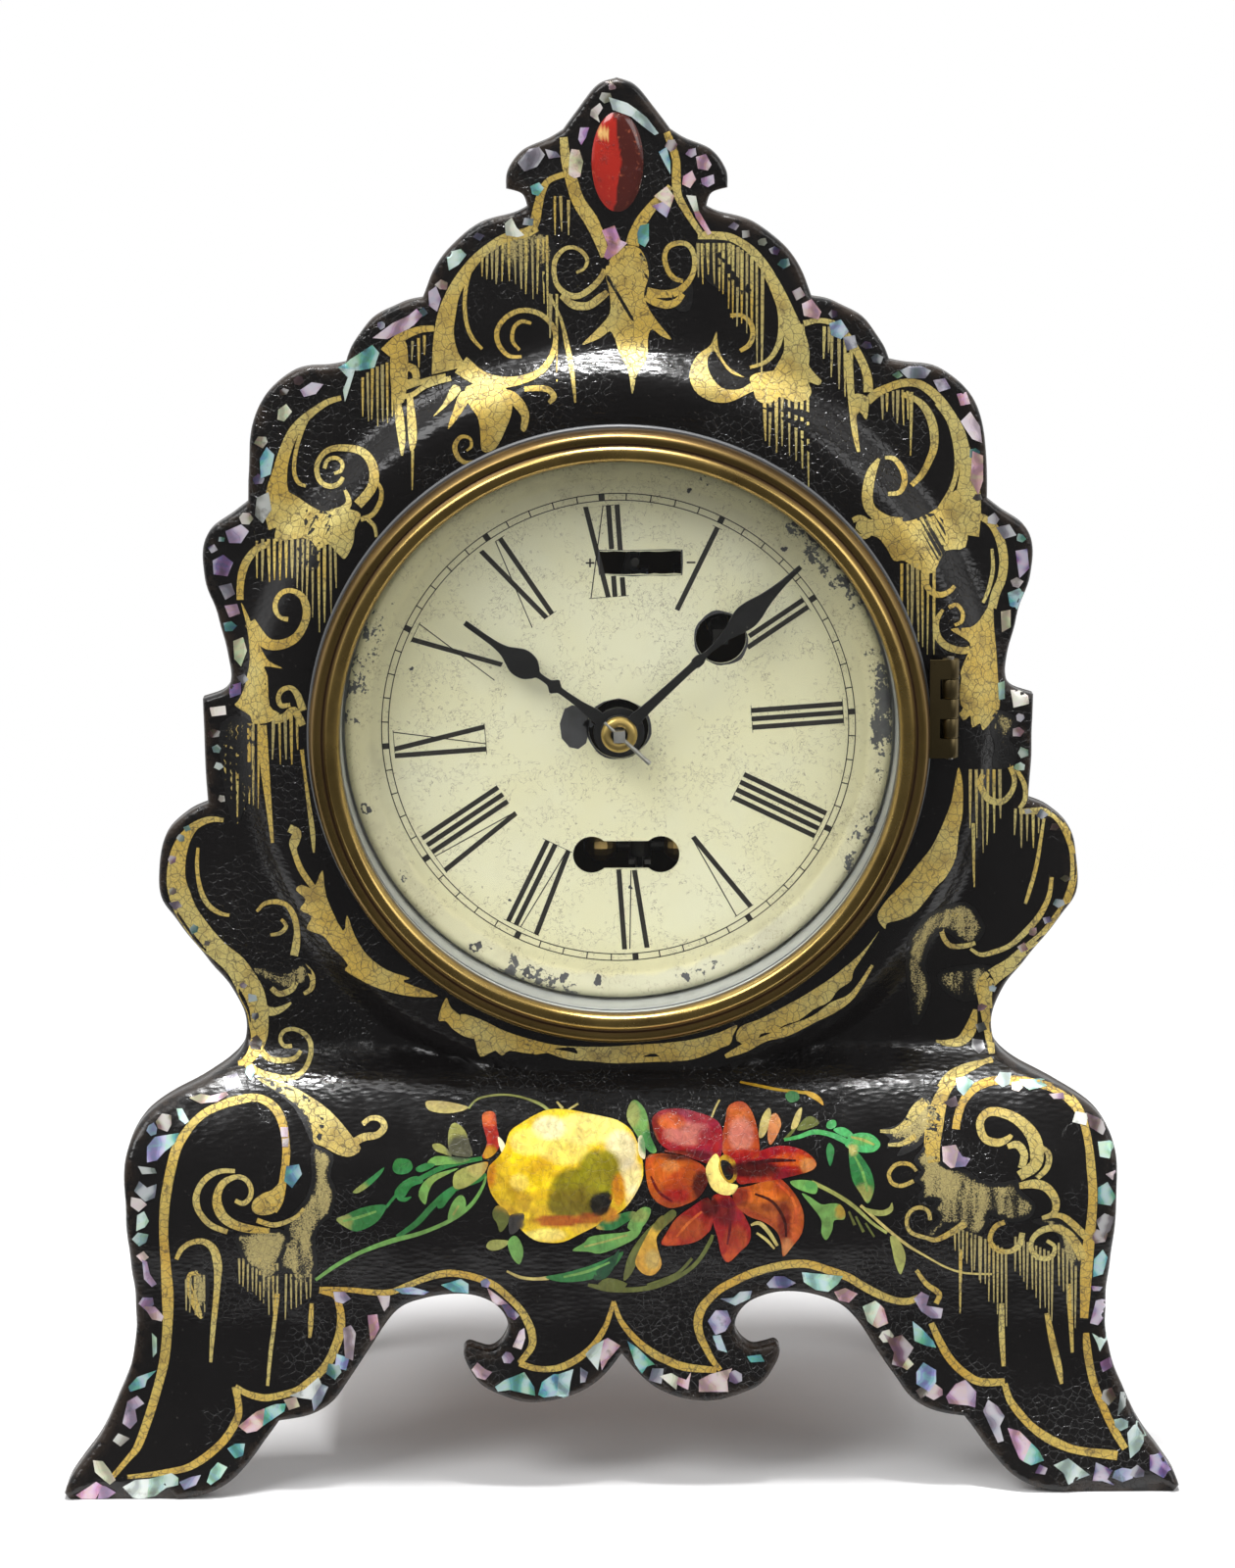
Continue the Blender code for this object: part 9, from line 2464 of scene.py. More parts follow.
@dataclass(frozen=True)
class Hands:
    """The two hands, with their collet."""

    hour_angle: float = math.radians(306.0)
    minute_angle: float = math.radians(47.2)
    hour_hub: float = 0.00525
    minute_hub: float = 0.0039
    hour_ahead: float = 0.0028
    minute_ahead: float = 0.0049
    hour_bore: float = 0.00235
    minute_bore: float = 0.00173
    thickness: float = 0.0007
    round_over: float = 0.00012

    def pointer(self, name: str, outline: list[Point], bore: float, ahead: float) -> bpy.types.Object:
        """A flat hand with a round bore.

        Args:
            name: Name of the piece.
            outline: World X and Z of its corners.
            bore: Radius of its bore.
            ahead: How far its back stands ahead of the front's plane.

        Returns:
            The object.
        """
        return plate(name, [outline, dial_circle(bore, 40)[::-1]], SIZES.front_y - ahead - self.thickness,
                     self.thickness, self.round_over, FINISHES.of(HAND_BLACK))

    def outline(self, run: Sequence[Point], hub: float, angle: float) -> list[Point]:
        """Outline of a hand that points at an angle, clockwise from twelve.

        Args:
            run: Distance from the centre and half width, from the tip in.
            hub: Radius of its round hub.
            angle: Where it points.

        Returns:
            World X and Z of its corners.
        """
        side = [(half, reach) for reach, half in smooth_run(run, 4)]
        start = math.asin(run[-1][1] / hub)
        turns = [start + (math.tau - 2 * start) * i / 40 for i in range(41)]
        arc = [(hub * math.sin(turn), hub * math.cos(turn)) for turn in turns]
        points = side + arc + [(-x, z) for x, z in side[::-1]]
        cos, sin = math.cos(angle), math.sin(angle)
        return [(x * cos + z * sin, SIZES.dial_z + z * cos - x * sin) for x, z in points]

    def make(self) -> None:
        """Build the hands."""
        hour = self.pointer("hour_pointer", self.outline(HOUR_HAND_RUN, self.hour_hub, self.hour_angle),
                            self.hour_bore, self.hour_ahead)
        seat(hour, Body.HOUR, Coat.HANDS, "hour_hand")
        minute = self.pointer("minute_pointer", self.outline(MINUTE_HAND_RUN, self.minute_hub, self.minute_angle),
                              self.minute_bore, self.minute_ahead)
        seat(minute, Body.MINUTE, Coat.HANDS, "minute_hand")
        collet = [(r / 1000, h / 1000, v) for r, h, v in (
            (1.73, 6.9, 0.6), (1.95, 7.0, 0.1), (2.9, 6.98, 0.0), (3.3, 6.82, 0.0), (3.6, 6.5, 0.1), (3.75, 6.1, 0.3),
            (3.7, 5.9, 0.6), (1.73, 5.9, 0.6))]
        seat(turned("brass_collet", collet, 72, FINISHES.of(COLLET_BRASS)), Body.MINUTE, Coat.MOVEMENT, "hand_collet")


@dataclass
class Drape:
    """Shapes seen in the photograph, laid on the moulded front as one thin raised piece."""

    name: str
    tree: BVHTree
    lift: float = 0.00008
    rise: float = 0.000002
    wall: float = 0.00006
    sharp: float = 30.0
    stray: float = 0.0009
    tries: int = 14
    pull: float = 0.12
    ray_start: float = -0.2
    face_limit: float = -0.0262
    whole_share: float = 0.7
    feather: float = 5.0
    dab_reach: float = 1.12
    dab_edge: float = 0.28
    fall_line: float = 900.0
    upper_fall: float = 0.7
    lower_fall: float = 0.15
    points: list[Place] = field(default_factory=list)
    faces: list[tuple[int, ...]] = field(default_factory=list)
    shares: list[float] = field(default_factory=list)
    tints: list[Colour] = field(default_factory=list)
    boxes: list[tuple[np.ndarray, np.ndarray, int]] = field(default_factory=list)

    def place(self, pixels: np.ndarray, lift: float) -> tuple[list[Place], list[bool]]:
        """World places of pixels, just ahead of the front.

        Args:
            pixels: Places in the photograph.
            lift: How far they stand ahead.

        Returns:
            World X, Y and Z of each, and whether it lay well off the front.
        """
        spots = SIGHT.cast(pixels, RELIEF.y)
        middle = spots.mean(axis=0)
        found, strayed = [], []
        for x, y, z in spots:
            start_x, start_z = x, z
            for _ in range(self.tries):
                hit = self.tree.ray_cast((x, self.ray_start, z), (0.0, 1.0, 0.0))[0]
                if hit is not None and hit.y < self.face_limit:
                    y = hit.y
                    break
                x, z = x + self.pull * (middle[0] - x), z + self.pull * (middle[2] - z)
            strayed.append(math.hypot(x - start_x, z - start_z) > self.stray)
            found.append((float(x), float(y) - lift, float(z)))
        return found, strayed

    def add(self, pixels: np.ndarray, faces: Sequence[Sequence[int]], share: float, tint: Colour) -> None:
        """Add one shape with a low wall round it.

        Args:
            pixels: Its corners in the photograph.
            faces: Its faces.
            share: How much of it is left, or one value for each corner.
            tint: Its colour, or one for each corner.
        """
        start = len(self.points)
        shades = [tuple(c) for c in np.broadcast_to(np.asarray(tint, float), (len(pixels), 3))]
        each = np.broadcast_to(np.asarray(share, float), (len(pixels),)).tolist()
        low, high = np.min(pixels, axis=0), np.max(pixels, axis=0)
        level = 1 + max((n for a, b, n in self.boxes if (a < high).all() and (low < b).all()), default=-1)
        self.boxes.append((low, high, level))
        lift = self.lift + self.rise * level
        top, strayed = self.place(pixels, lift)
        faces = [f for f in faces if not any(strayed[i] for i in f)]
        self.points += top
        self.faces += [tuple(start + i for i in f) for f in faces]
        self.shares += each
        self.tints += shades
        foot: dict[int, int] = {}
        for a, b in border(faces):
            for i in (a, b):
                if i not in foot:
                    x, y, z = top[i]
                    foot[i] = len(self.points)
                    self.points.append((x, y + lift + self.wall, z))
                    self.shares.append(each[i])
                    self.tints.append(shades[i])
            self.faces.append((start + b, start + a, foot[a], foot[b]))

    def line(self, values: Sequence[float], share: float = 1.0, tint: Colour = (0.0, 0.0, 0.0), rows: int = 4,
             steps: int = 4) -> None:
        """Lay a brushed line.

        Args:
            values: Pixel X, pixel Y and width from point to point.
            share: How much of it is left.
            tint: Its colour.
            rows: Faces across it.
            steps: Pieces for each stretch.
        """
        run = np.array(smooth_run(np.reshape(values, (-1, 3)).tolist(), steps))
        along = np.gradient(run[:, :2], axis=0)
        along /= np.linalg.norm(along, axis=1)[:, None] + 1e-9
        across = np.column_stack([-along[:, 1], along[:, 0]])
        widths = np.maximum(run[:, 2], 0.8)
        grid = [run[:, :2] + across * (widths * (i / rows - 0.5))[:, None] for i in range(rows + 1)]
        pixels = np.stack(grid, axis=1).reshape(-1, 2)
        n = rows + 1
        starts = [r * n + c for r in range(len(run) - 1) for c in range(rows)]
        faces = [(i, i + 1, i + n + 1, i + n) for i in starts]
        self.add(pixels, faces, share, tint)

    def leaf(self, values: Sequence[float], share: float = 1.0, tint: Colour = (0.0, 0.0, 0.0), soften: bool = True,
             pitch: float = 5.0, dabs: Sequence[tuple] = ()) -> None:
        """Lay a filled shape.

        Args:
            values: Pixel X and pixel Y from corner to corner.
            share: How much of it is left.
            tint: Its colour.
            soften: Whether its outline is drawn as a curve.
            pitch: Pixels between its inner points.
            dabs: Soft spots of paint over it.
        """
        corners = np.reshape(values, (-1, 2)).astype(float)
        if soften:
            ring = [tuple(p) for p in corners]
            found = smooth_run([ring[-1], *ring, ring[0], ring[1]], 3)
            corners = np.array(found[3:-4])
        dense = []
        for a, b in zip(corners, np.roll(corners, -1, axis=0)):
            pieces = max(1, int(np.linalg.norm(b - a) / (1.2 * pitch)))
            dense += [a + (b - a) * i / pieces for i in range(pieces)]
        loop = np.array(dense)
        low, high = loop.min(axis=0), loop.max(axis=0)
        grid = [(x + (pitch / 2 if r % 2 else 0.0), y) for r, y in enumerate(np.arange(low[1], high[1], 0.86 * pitch))
                for x in np.arange(low[0], high[0], pitch)]
        extra = np.array(grid) if grid else np.zeros((0, 2))
        if len(extra):
            extra = extra[inside(extra, loop)]
            if len(extra):
                extra = extra[edge_distance(extra, loop) > 0.32 * pitch]
        spots, faces = filled(loop, extra)
        if share < self.whole_share:
            fall = self.upper_fall if low[1] < self.fall_line else self.lower_fall
            share = share * np.clip(edge_distance(spots, loop) / self.feather, 0.0, 1.0) ** 0.7
            share = share * (1.0 - fall * (spots[:, 1] - low[1]) / (high[1] - low[1]))
        shades = np.tile(np.asarray(tint, float), (len(spots), 1))
        for paint, x, y, half_width, half_height, strength in dabs:
            away = np.hypot((spots[:, 0] - x) / half_width, (spots[:, 1] - y) / half_height)
            cover = strength * np.clip((self.dab_reach - away) / self.dab_edge, 0.0, 1.0)
            shades += cover[:, None] * (np.array(paint.value) - shades)
        self.add(spots, faces, share, shades)

    def make(self, material: bpy.types.Material) -> bpy.types.Object:
        """Put the laid shapes into the scene as one piece of the case.

        Args:
            material: Its finish.

        Returns:
            The object.
        """
        item = make_piece(self.name, self.points, self.faces, material, self.sharp)
        give_values(item, "gild", self.shares)
        give_colours(item, "tint", self.tints)
        settle(item, self.sharp, drop_loose=True)
        return seat(item, Body.CASE, Coat.LACQUER)


@dataclass(frozen=True)
class Gilding:
    """Gold powder under varnish: crackled where thick, speckled where worn."""

    name: str = "crackled_gold"
    bright: Colour = (0.620, 0.425, 0.085)
    pale: Colour = (0.640, 0.540, 0.190)
    under: Colour = (0.024, 0.015, 0.008)

    def make(self) -> bpy.types.Material:
        """Build the material.

        Returns:
            The material.
        """
        material, bench, shader = start_finish(self.name)
        place = bench.where()
        cracks = crack_lines(bench, place, 560.0, 0.075, 0.7)
        fine = crack_lines(bench, place, 1250.0, 0.09, 0.5)
        cloud = bench.noise(62.0, 5.0)
        tone = bench.mix(bench.span(cloud, 0.35, 0.65), self.bright, self.pale)
        tone = bench.mix(bench.span(bench.noise(210.0, 5.0), 0.50, 0.72, 0.0, 0.62), tone, (0.27, 0.175, 0.050))
        share = bench.stored("gild")
        speck = bench.noise(3200.0, 3.0, None, 0.7)
        streak = bench.noise(420.0, 4.0, bench.where((1.0, 1.0, 0.16)), 0.6)
        grain = bench.plus(bench.times(speck, 0.55), bench.times(streak, 0.45))
        gone = bench.span(bench.minus(grain, bench.times(share, 0.86)), 0.0, 0.10, 0.0, 1.0)
        solid = bench.span(share, 0.8, 0.95)
        net = bench.most(bench.times(cracks, 0.88), bench.times(fine, 0.42))
        dark = bench.most(bench.times(net, bench.span(share, 0.3, 0.9, 0.2, 1.0)),
                          bench.times(gone, bench.span(solid, 0.0, 1.0, 1.0, 0.0)))
        dusted = bench.mix(solid, (0.47, 0.385, 0.155), tone)
        tone = bench.mix(dark, dusted, bench.mix(solid, (0.007, 0.0065, 0.0065), self.under))
        dress(bench, shader, Base_Color=tone, Metallic=bench.span(dark, 0.0, 0.6, 0.42, 0.0),
              Roughness=bench.span(speck, 0.3, 0.7, 0.36, 0.52),
              Normal=bumped(bench, bench.minus(bench.times(speck, 0.35), net), 0.00004))
        return material


@dataclass(frozen=True)
class PearlShell:
    """Mother of pearl: each chip has its own tint, broken by bands of colour."""

    name: str = "mother_of_pearl"

    def make(self) -> bpy.types.Material:
        """Build the material.

        Returns:
            The material.
        """
        material, bench, shader = start_finish(self.name)
        place = bench.where((1.0, 1.0, 1.6))
        tint = bench.stored("tint", colour=True)
        wave = bench.put("TexWave", {
            "Vector": place, "Scale": 55.0, "Distortion": 6.0, "Detail": 2.0, "Detail Scale": 1.6,
        }).outputs["Fac"]
        shift = bench.span(bench.noise(330.0, 3.0, place, 0.5, 1.2), 0.3, 0.7, 0.42, 0.58)
        shifted = bench.put("HueSaturation", {"Hue": shift, "Saturation": 0.92, "Value": 1.0, "Color": tint})
        tone = bench.mix(bench.span(wave, 0.35, 1.0, 0.0, 0.40), shifted.outputs["Color"], (0.74, 0.76, 0.74), "SCREEN")
        tone = bench.mix(bench.span(wave, 0.0, 0.35, 0.45, 0.0), tone, (0.16, 0.15, 0.18), "MULTIPLY")
        soil = patch_mask(bench, bench.where(), 260.0, 0.42, 0.12)
        tone = bench.mix(bench.times(soil, 0.6), tone, (0.055, 0.045, 0.04))
        dress(bench, shader, Base_Color=tone, Roughness=bench.span(wave, 0.0, 1.0, 0.20, 0.34), Metallic=0.25,
              Coat_Weight=0.6, Coat_Roughness=0.15, Normal=bumped(bench, bench.plus(wave, soil), 0.00005))
        return material


@dataclass(frozen=True)
class OilPaint:
    """The painted spray: brushed colours under an aged varnish."""

    name: str = "painted_spray_oil"

    def make(self) -> bpy.types.Material:
        """Build the material.

        Returns:
            The material.
        """
        material, bench, shader = start_finish(self.name)
        tint = bench.stored("tint", colour=True)
        brush = bench.noise(520.0, 4.0, bench.where((1.0, 1.0, 0.5)), 0.6, 1.4)
        wide = bench.noise(120.0, 4.0, None, 0.6, 1.0)
        value = bench.times(bench.span(brush, 0.25, 0.75, 0.66, 1.09), bench.span(wide, 0.3, 0.7, 0.82, 1.14))
        tone = bench.put("HueSaturation", {
            "Hue": bench.span(wide, 0.2, 0.8, 0.485, 0.515), "Saturation": 1.12, "Value": value, "Color": tint,
        }).outputs["Color"]
        cracks = crack_lines(bench, bench.where(), 480.0, 0.045, 0.8)
        worn = patch_mask(bench, bench.where(), 520.0, 0.40, 0.1)
        tone = bench.mix(bench.times(cracks, 0.22), tone, (0.03, 0.02, 0.012))
        tone = bench.mix(bench.times(worn, 0.25), tone, (0.02, 0.015, 0.012), "MULTIPLY")
        dress(bench, shader, Base_Color=tone, Roughness=bench.span(brush, 0.3, 0.7, 0.28, 0.42),
              Normal=bumped(bench, bench.minus(brush, bench.times(cracks, 0.7)), 0.00005))
        return material


@dataclass(frozen=True)
class RedJewel:
    """The red foil jewel in the finial; its stored tints carry painted light, painted shade and a painted glint."""

    name: str = "red_jewel"

    def make(self) -> bpy.types.Material:
        """Build the material.

        Returns:
            The material.
        """
        material, bench, shader = start_finish(self.name)
        tint = bench.stored("tint", colour=True)
        fleck = patch_mask(bench, bench.where(), 460.0, 0.44, 0.14)
        tone = bench.mix(bench.times(fleck, 0.55), tint, (0.10, 0.012, 0.010))
        tone = bench.mix(bench.span(bench.noise(900.0), 0.58, 0.8, 0.0, 0.5), tone, (0.62, 0.16, 0.07))
        dress(bench, shader, Base_Color=tone, Roughness=bench.span(fleck, 0.0, 1.0, 0.16, 0.32), Coat_Weight=0.7,
              Coat_Roughness=0.08, Normal=bumped(bench, fleck, 0.00007))
        return material


GOLD = Gilding()
BORDER_GOLD = Gilding("border_gold", (0.600, 0.375, 0.060), (0.620, 0.470, 0.120))
PEARL = PearlShell()
OIL_PAINT = OilPaint()
JEWEL = RedJewel()


@dataclass(frozen=True)
class Ornament:
    """Everything painted, gilded or inlaid on the moulded front."""

    seed: int = 9
    drip_width: float = 3.0
    chip_pitch: float = 0.0036
    foot_level: float = 0.092
    chip_floor: float = 0.0035
    chip_middle: float = 0.0008
    chip_clear: float = 0.0031
    chip_margin: float = 0.0018
    chip_missing: float = 0.30
    level: float = 0.80
    stems: int = 12
    jewel_centre: Point = (630.0, 165.0)
    jewel_half: Point = (27.0, 52.0)
    jewel_lit_edge: float = 634.0
    jewel_rise: float = 0.0011
    jewel_sunk: float = 0.0001

    def make_gold(self, tree: BVHTree) -> None:
        """Lay the gilded scrolls, leaves and drips.

        Args:
            tree: The front's surface.
        """
        drape = Drape("gilded_scrolls", tree)
        for share, *values in DUSTY_LEAVES:
            drape.leaf(values, share)
        for values in GOLD_LEAVES:
            drape.leaf(values)
        for values in GOLD_LINES:
            drape.line(values)
        draw = random.Random(self.seed)
        for x, top, bottom in GOLD_DRIPS:
            sway = draw.uniform(-1.2, 1.2)
            width = self.drip_width * draw.uniform(0.8, 1.2)
            middle = (top + bottom) / 2 + draw.uniform(-4, 4)
            drape.line((x, top, width, x + sway * 0.4, middle, width * 0.85, x + sway, bottom, width * 0.35),
                       draw.choice((1.0, 1.0, 0.86, 0.72)), rows=2, steps=3)
        for left, right, *ends, pitch in GOLD_FANS:
            for x in np.arange(left, right, pitch):
                share = (x - left) / (right - left)
                top, bottom = ends[0] + share * (ends[1] - ends[0]), ends[2] + share * (ends[3] - ends[2])
                bottom += draw.uniform(-0.12, 0.12) * (bottom - top)
                sway = draw.uniform(-0.5, 0.5)
                drape.line((x, top, 2.3, x + sway, (top + bottom) / 2, 2.0, x + 2 * sway, bottom, 1.0),
                           draw.choice((0.86, 0.72, 0.66)), rows=2, steps=3)
        drape.make(FINISHES.of(GOLD))
        border = Drape("gilded_border", tree)
        for values in BORDER_LINES:
            border.line(values)
        border.make(FINISHES.of(BORDER_GOLD))

    def make_pearl(self, tree: BVHTree) -> None:
        """Lay the mother of pearl chips: the drawn ones, then small ones between them.

        Args:
            tree: The front's surface.
        """
        drape = Drape("pearl_chips", tree, lift=0.00018)
        draw = random.Random(self.seed + 1)
        centres = []
        for tint, *values in PEARL_CHIPS:
            drape.leaf(values, tint=self.varied(tint, draw, self.level), soften=False)
            centres.append(np.reshape(values, (-1, 2)).mean(axis=0))
        drape.make(FINISHES.of(PEARL))
        self.make_small_chips(tree, draw, [tuple(SIGHT.cast([c], RELIEF.y)[0]) for c in centres])

    def varied(self, tint: Pearl, draw: random.Random, level: float) -> Colour:
        """A tint made slightly lighter or darker."""
        return tuple(min(0.95, c * level * draw.uniform(0.8, 1.15)) for c in tint.value)

    def make_small_chips(self, tree: BVHTree, draw: random.Random, taken: Sequence[Sequence[float]]) -> None:
        """Scatter small irregular chips along the edge where no drawn chip lies.

        Args:
            tree: The front's surface.
            draw: The seeded source of chance.
            taken: World places of the drawn chips.
        """
        drape = Drape("pearl_fragments", tree, lift=0.00014)
        loop = MouldedFront().outline()
        step = np.roll(loop, -1, axis=0) - loop
        along = np.concatenate([[0.0], np.cumsum(np.linalg.norm(step, axis=1))])
        for reach in np.arange(0.0, along[-1], self.chip_pitch):
            reach = min(reach + draw.uniform(-0.0008, 0.0008), along[-1] - 1e-6)
            i = max(0, int(np.searchsorted(along, reach)) - 1) % len(loop)
            way = step[i] / (np.linalg.norm(step[i]) + 1e-12)
            inward = np.array([way[1], -way[0]])
            reaches = (0.0024, 0.0040) if loop[i][1] < self.foot_level else (0.0020, 0.0030)
            spot = loop[i] + way * (reach - along[i]) + inward * draw.uniform(*reaches)
            if spot[1] < self.chip_floor or abs(spot[0]) < self.chip_middle:
                continue
            if any(math.hypot(spot[0] - c[0], spot[1] - c[2]) < self.chip_clear for c in taken):
                continue
            if not inside(spot[None, :], loop)[0] or edge_distance(spot[None, :], loop)[0] < self.chip_margin:
                continue
            low = spot[1] < self.foot_level
            if not low and draw.random() < self.chip_missing:
                continue
            size = draw.uniform(0.0011, 0.0021) * (1.0 if low else 0.72)
            turn = draw.uniform(0, math.tau)
            count = draw.choice((4, 5, 5, 6))
            turns = [turn + math.tau * k / count for k in range(count)]
            corners = [(spot[0] + size * draw.uniform(0.7, 1.25) * math.cos(angle),
                        spot[1] + size * draw.uniform(0.6, 1.1) * math.sin(angle)) for angle in turns]
            pixels = SIGHT.project(corners, RELIEF.y)
            dull = 0.62 if low else 0.30
            tint = self.varied(draw.choice(list(Pearl)), draw, dull * draw.uniform(0.7, 1.5))
            drape.leaf(pixels.ravel().tolist(), tint=tint, soften=False)
        drape.make(FINISHES.of(PEARL))

    def make_spray(self, tree: BVHTree) -> None:
        """Lay the painted flowers and their leaves.

        Args:
            tree: The front's surface.
        """
        drape = Drape("painted_spray", tree, lift=0.00007, rise=0.000008)
        for paint, *values in PAINTED_LINES[:self.stems]:
            drape.line(values, tint=paint.value, rows=3)
        for paint, *values in PAINTED_SHAPES:
            drape.leaf(values, tint=paint.value, pitch=3.2, dabs=PAINT_DABS)
        for paint, *values in PAINTED_LINES[self.stems:]:
            drape.line(values, tint=paint.value, rows=3)
        drape.make(FINISHES.of(OIL_PAINT))

    def make_jewel(self, tree: BVHTree) -> None:
        """Set the red oval in the finial as a low dome, with painted light on its left, painted shade on its right and
        a painted glint.

        Args:
            tree: The front's surface.
        """
        (middle, level), (half_width, half_height) = self.jewel_centre, self.jewel_half
        rings, sides = 10, 56
        pixels = [self.jewel_centre]
        for r in range(1, rings + 1):
            for i in range(sides):
                turn = math.tau * i / sides
                pixels.append((middle + half_width * r / rings * math.sin(turn),
                               level - half_height * r / rings * math.cos(turn)))
        drape = Drape("red_jewel_dome", tree)
        spots, _ = drape.place(np.array(pixels), 0.0)
        points, tints = [], []
        for n, (x, y, z) in enumerate(spots):
            out = 0.0 if n == 0 else ((n - 1) // sides + 1) / rings
            dome = self.jewel_rise * math.sqrt(max(0.0, 1 - out ** 2.4))
            points.append((x, y - dome + (self.jewel_sunk if out == 1.0 else 0.0), z))
            across, down = pixels[n]
            # Painted light: the left of the dome is bright red, the right is painted shade, and a small box near the
            # top left is a painted glint
            lit = across < self.jewel_lit_edge - 8 * abs(down - level) / half_height
            spotted = 611 < across < 621 and 131 < down < 142
            tints.append((0.60, 0.35, 0.12) if spotted else (0.33, 0.018, 0.011) if lit else (0.060, 0.012, 0.009))
        faces = [(0, 1 + i, 1 + (i + 1) % sides) for i in range(sides)]
        for r in range(rings - 1):
            a, b = 1 + r * sides, 1 + (r + 1) * sides
            faces += [(a + i, b + i, b + (i + 1) % sides, a + (i + 1) % sides) for i in range(sides)]
        item = make_piece("red_jewel_dome", points, faces, FINISHES.of(JEWEL), 50.0)
        give_colours(item, "tint", tints)
        seat(item, Body.CASE, Coat.LACQUER)

    def make(self, front: bpy.types.Object) -> None:
        """Lay the whole ornament.

        Args:
            front: The moulded front that carries it.
        """
        tree = BVHTree.FromObject(front, bpy.context.evaluated_depsgraph_get())
        self.make_gold(tree)
        self.make_pearl(tree)
        self.make_spray(tree)
        self.make_jewel(tree)


# Solids whose finish doesn't follow from their slot; most of those seen through the dial's holes get near-black
# finishes, painted shade for the dark inside of the case
NAMED_FINISHES = {
    "front_movement_plate": SHADE_PAINTED_BRASS, "hour_wheel": SHADE_PAINTED_BRASS, "suspension_cock": SHADE_PAINTED_BRASS,
    "minute_arbor": STEEL, "winding_arbor": SHADE_PAINTED_STEEL, "regulator_lever": SHADE_PAINTED_STEEL, "regulator_stud": SHADE_PAINTED_STEEL,
    "cannon_pinion": SHADE_PAINTED_STEEL, "balance_bar": SHADE_PAINTED_STEEL, "verge_arbor": SHADE_PAINTED_STEEL,
}


class Carcase:
    """The solids that keep their shape: boards, feet, movement and balance."""

    def finish_of(self, node: str, slot: str) -> object:
        """The finish that suits a node.

        Args:
            node: Name of the solid.
            slot: Its material slot in the record.

        Returns:
            The recipe.
        """
        if "spring" in node or "strip" in node:
            return SPRING_STEEL
        if "screw" in node:
            return IRON
        if node in NAMED_FINISHES:
            return NAMED_FINISHES[node]
        if "foot" in node or "side" in node or node in ("case_front_board", "back_board"):
            return UPRIGHT_WOOD
        if "board" in node or "rail" in node:
            return CROSS_WOOD
        if "zinc" in slot:
            return ZINC
        if "brass" in slot:
            return TRAIN_BRASS
        return STEEL

    def dress(self) -> None:
        """Give every kept solid its finish, and the wooden ones softened edges."""
        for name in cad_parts:
            item = bpy.data.objects.get(name)
            if item is None or item.hide_render or not item.material_slots:
                continue
            given = item.material_slots[0].material
            recipe = self.finish_of(name, given.name if given else "")
            for place in item.material_slots:
                place.material = FINISHES.of(recipe)
            if recipe in (UPRIGHT_WOOD, CROSS_WOOD):
                soft = item.modifiers.new("soft_edges", "BEVEL")
                soft.width = 0.0005
                soft.segments = 2
                soft.limit_method = "ANGLE"


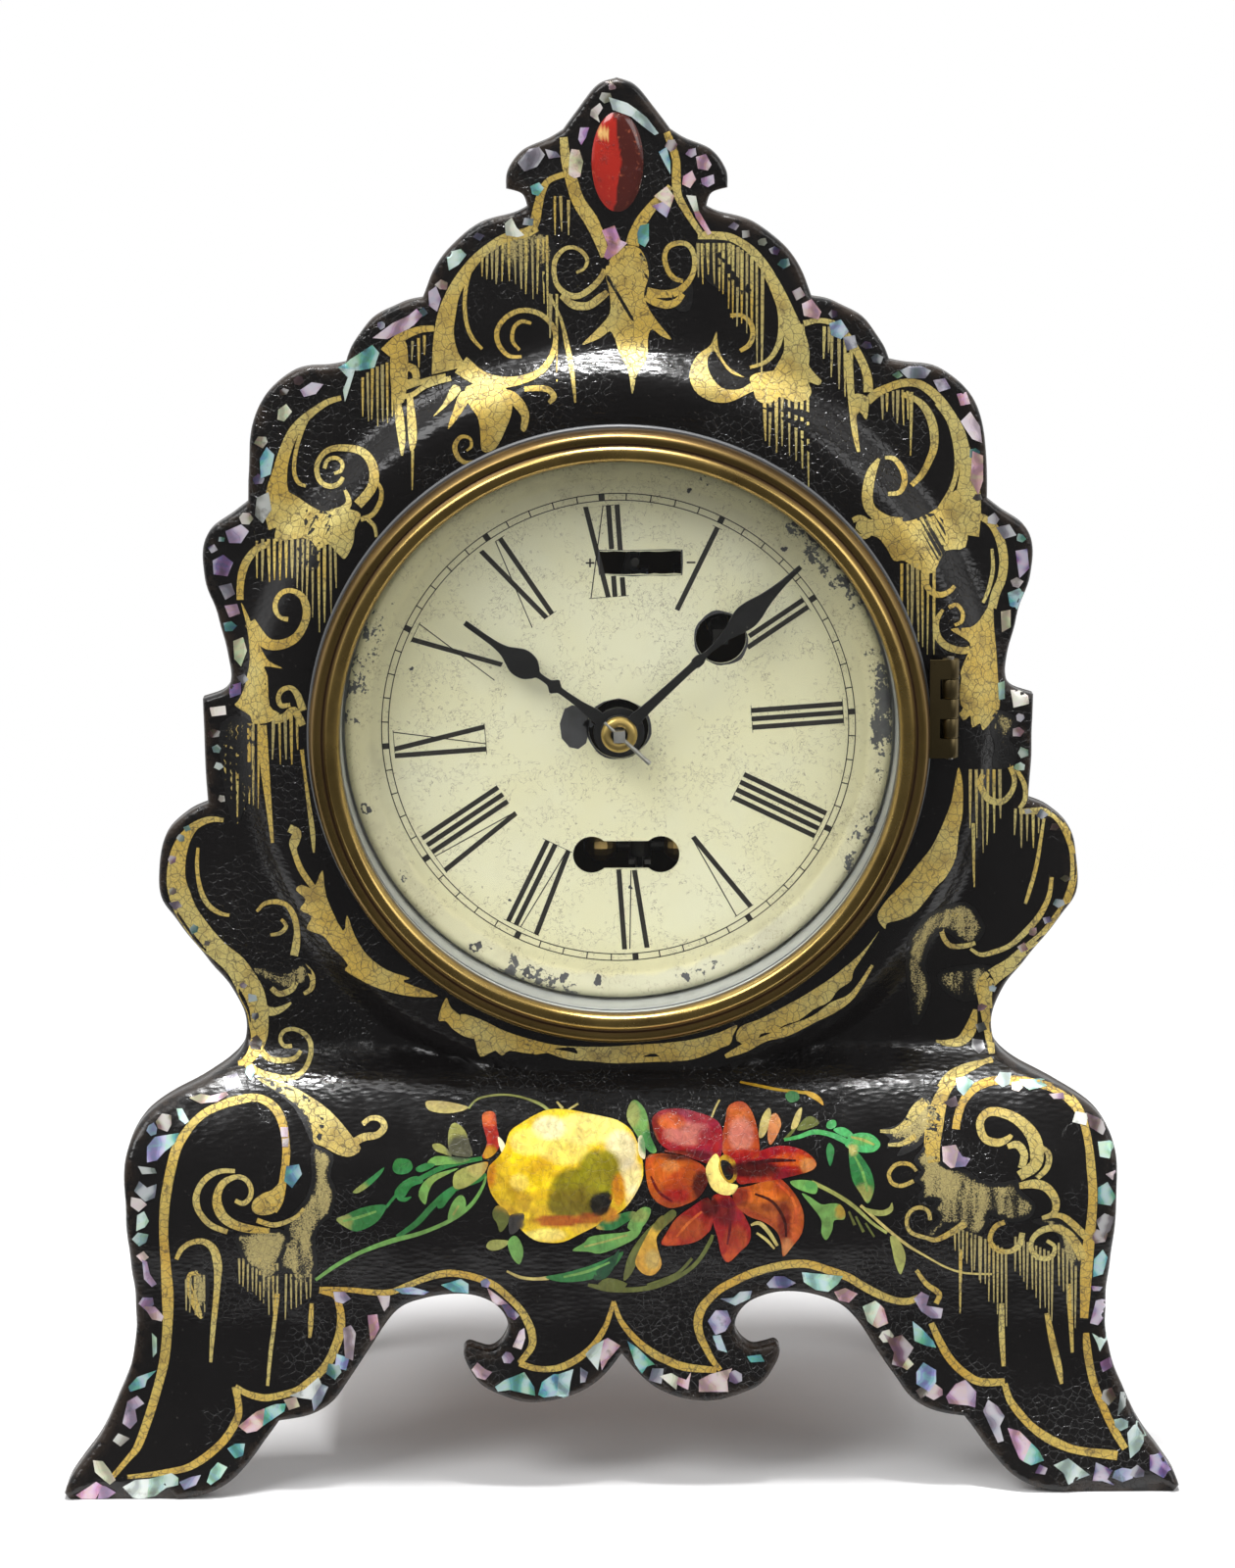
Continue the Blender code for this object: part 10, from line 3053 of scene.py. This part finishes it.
@dataclass(frozen=True)
class Studio:
    """A pale floor, a white surround and soft lights."""

    floor_colour: Colour = (0.93, 0.93, 0.935)
    fill: float = 0.42
    room: float = 0.09
    floor_half: float = 6.0
    floor_z: float = -0.0001

    def make_floor(self) -> None:
        """Lay a wide pale floor that takes the shadow."""
        size, low = self.floor_half, self.floor_z
        corners = [(-size, -size, low), (size, -size, low), (size, size, low), (-size, size, low)]
        floor = make_piece("studio_floor", corners, [(0, 1, 2, 3)])
        material, bench, shader = start_finish("studio_floor_paper")
        fine = bench.noise(60.0, 5.0)
        tone = bench.mix(bench.span(fine, 0.3, 0.7), self.floor_colour, tuple(c * 0.985 for c in self.floor_colour))
        dress(bench, shader, Base_Color=tone, Roughness=0.9, Specular_IOR_Level=0.1)
        path = bench.put("LightPath")
        indirect = bench.most(path.outputs["Is Glossy Ray"], path.outputs["Is Transmission Ray"])
        seen = bench.most(path.outputs["Is Camera Ray"], indirect)
        split = bench.put("SeparateXYZ", {"Vector": bench.where()})
        flat = bench.put("CombineXYZ", {"X": split.outputs["X"], "Y": split.outputs["Y"], "Z": 0.0}).outputs["Vector"]
        away = bench.put("VectorMath", {0: flat}, operation="LENGTH").outputs["Value"]
        bare = bench.minus(1.0, path.outputs["Is Glossy Ray"])
        ahead = bench.span(split.outputs["Y"], -0.12, 0.12, self.room, 1.0)
        level = bench.most(bare, ahead)
        white = bench.put("Emission", {"Color": (1.0, 1.0, 1.0), "Strength": level})
        before = bench.span(bench.minus(0.0, split.outputs["Y"]), 0.045, 0.12)
        mirrored = bench.most(bench.span(away, 0.12, 0.42), before)
        spread = bench.mix(path.outputs["Is Glossy Ray"], bench.span(away, 0.09, 0.70), mirrored)
        share = bench.times(spread, seen)
        bench.show(share, shader.outputs["BSDF"], white.outputs["Emission"])
        floor.data.materials.append(material)

    def make_world(self) -> None:
        """White where the camera looks, a plain fill light elsewhere."""
        world = bpy.data.worlds.new("studio_world")
        world.use_nodes = True
        bpy.context.scene.world = world
        bench = Bench(world.node_tree)
        path = bench.put("LightPath")
        seen = bench.most(path.outputs["Is Camera Ray"], path.outputs["Is Transmission Ray"])
        way = bench.put("SeparateXYZ", {"Vector": bench.put("TexCoord").outputs["Generated"]}).outputs["Y"]
        glossy = bench.times(path.outputs["Is Glossy Ray"], bench.span(way, -0.75, 0.25, self.room, 1.0))
        plain = bench.times(bench.minus(1.0, path.outputs["Is Glossy Ray"]), self.fill)
        shown = next(n for n in world.node_tree.nodes if n.type == "BACKGROUND")
        shown.inputs["Color"].default_value = (1.0, 1.0, 1.0, 1.0)
        bench.tree.links.new(bench.most(seen, bench.most(glossy, plain)), shown.inputs["Strength"])

    def make_light(self, name: str, place: tuple[float, float, float], aim: tuple[float, float, float],
                   size: Point, power: float) -> None:
        """Add a soft area light.

        Args:
            name: Its name.
            place: Where it stands.
            aim: What it points at.
            size: Width and height of its face.
            power: Watts.
        """
        data = bpy.data.lights.new(name, "AREA")
        data.shape = "RECTANGLE"
        data.size, data.size_y = size
        data.energy = power
        lamp = bpy.data.objects.new(name, data)
        way = Vector(aim) - Vector(place)
        lamp.matrix_world = Matrix.Translation(place) @ way.to_track_quat("-Z", "Y").to_matrix().to_4x4()
        bpy.context.scene.collection.objects.link(lamp)

    def make(self) -> None:
        """Build the studio."""
        self.make_floor()
        self.make_world()
        self.make_light("key_left", (-0.75, -0.85, 1.25), (0.0, 0.0, 0.13), (0.7, 0.7), 9.0)
        self.make_light("fill_right", (1.0, -0.9, 0.75), (0.0, 0.0, 0.13), (0.8, 0.8), 4.0)
        self.make_light("top", (0.0, -0.15, 1.35), (0.0, -0.02, 0.10), (0.5, 0.35), 4.0)
        self.make_light("streak", (-0.04, -0.10, 1.05), (0.0, -0.04, 0.12), (0.34, 0.025), 9.0)
        bpy.context.scene.view_settings.view_transform = "Standard"


def main() -> None:
    """Build the clock's dressed pieces in order."""
    logging.basicConfig(level=logging.INFO, format="%(message)s")
    SIGHT.make_camera()
    front = MouldedFront().make()
    Ornament().make(front)
    Dial().make()
    DialMarks().make()
    Bezel().make()
    Hands().make()
    Carcase().dress()
    Studio().make()


if __name__ == "__main__":
    main()
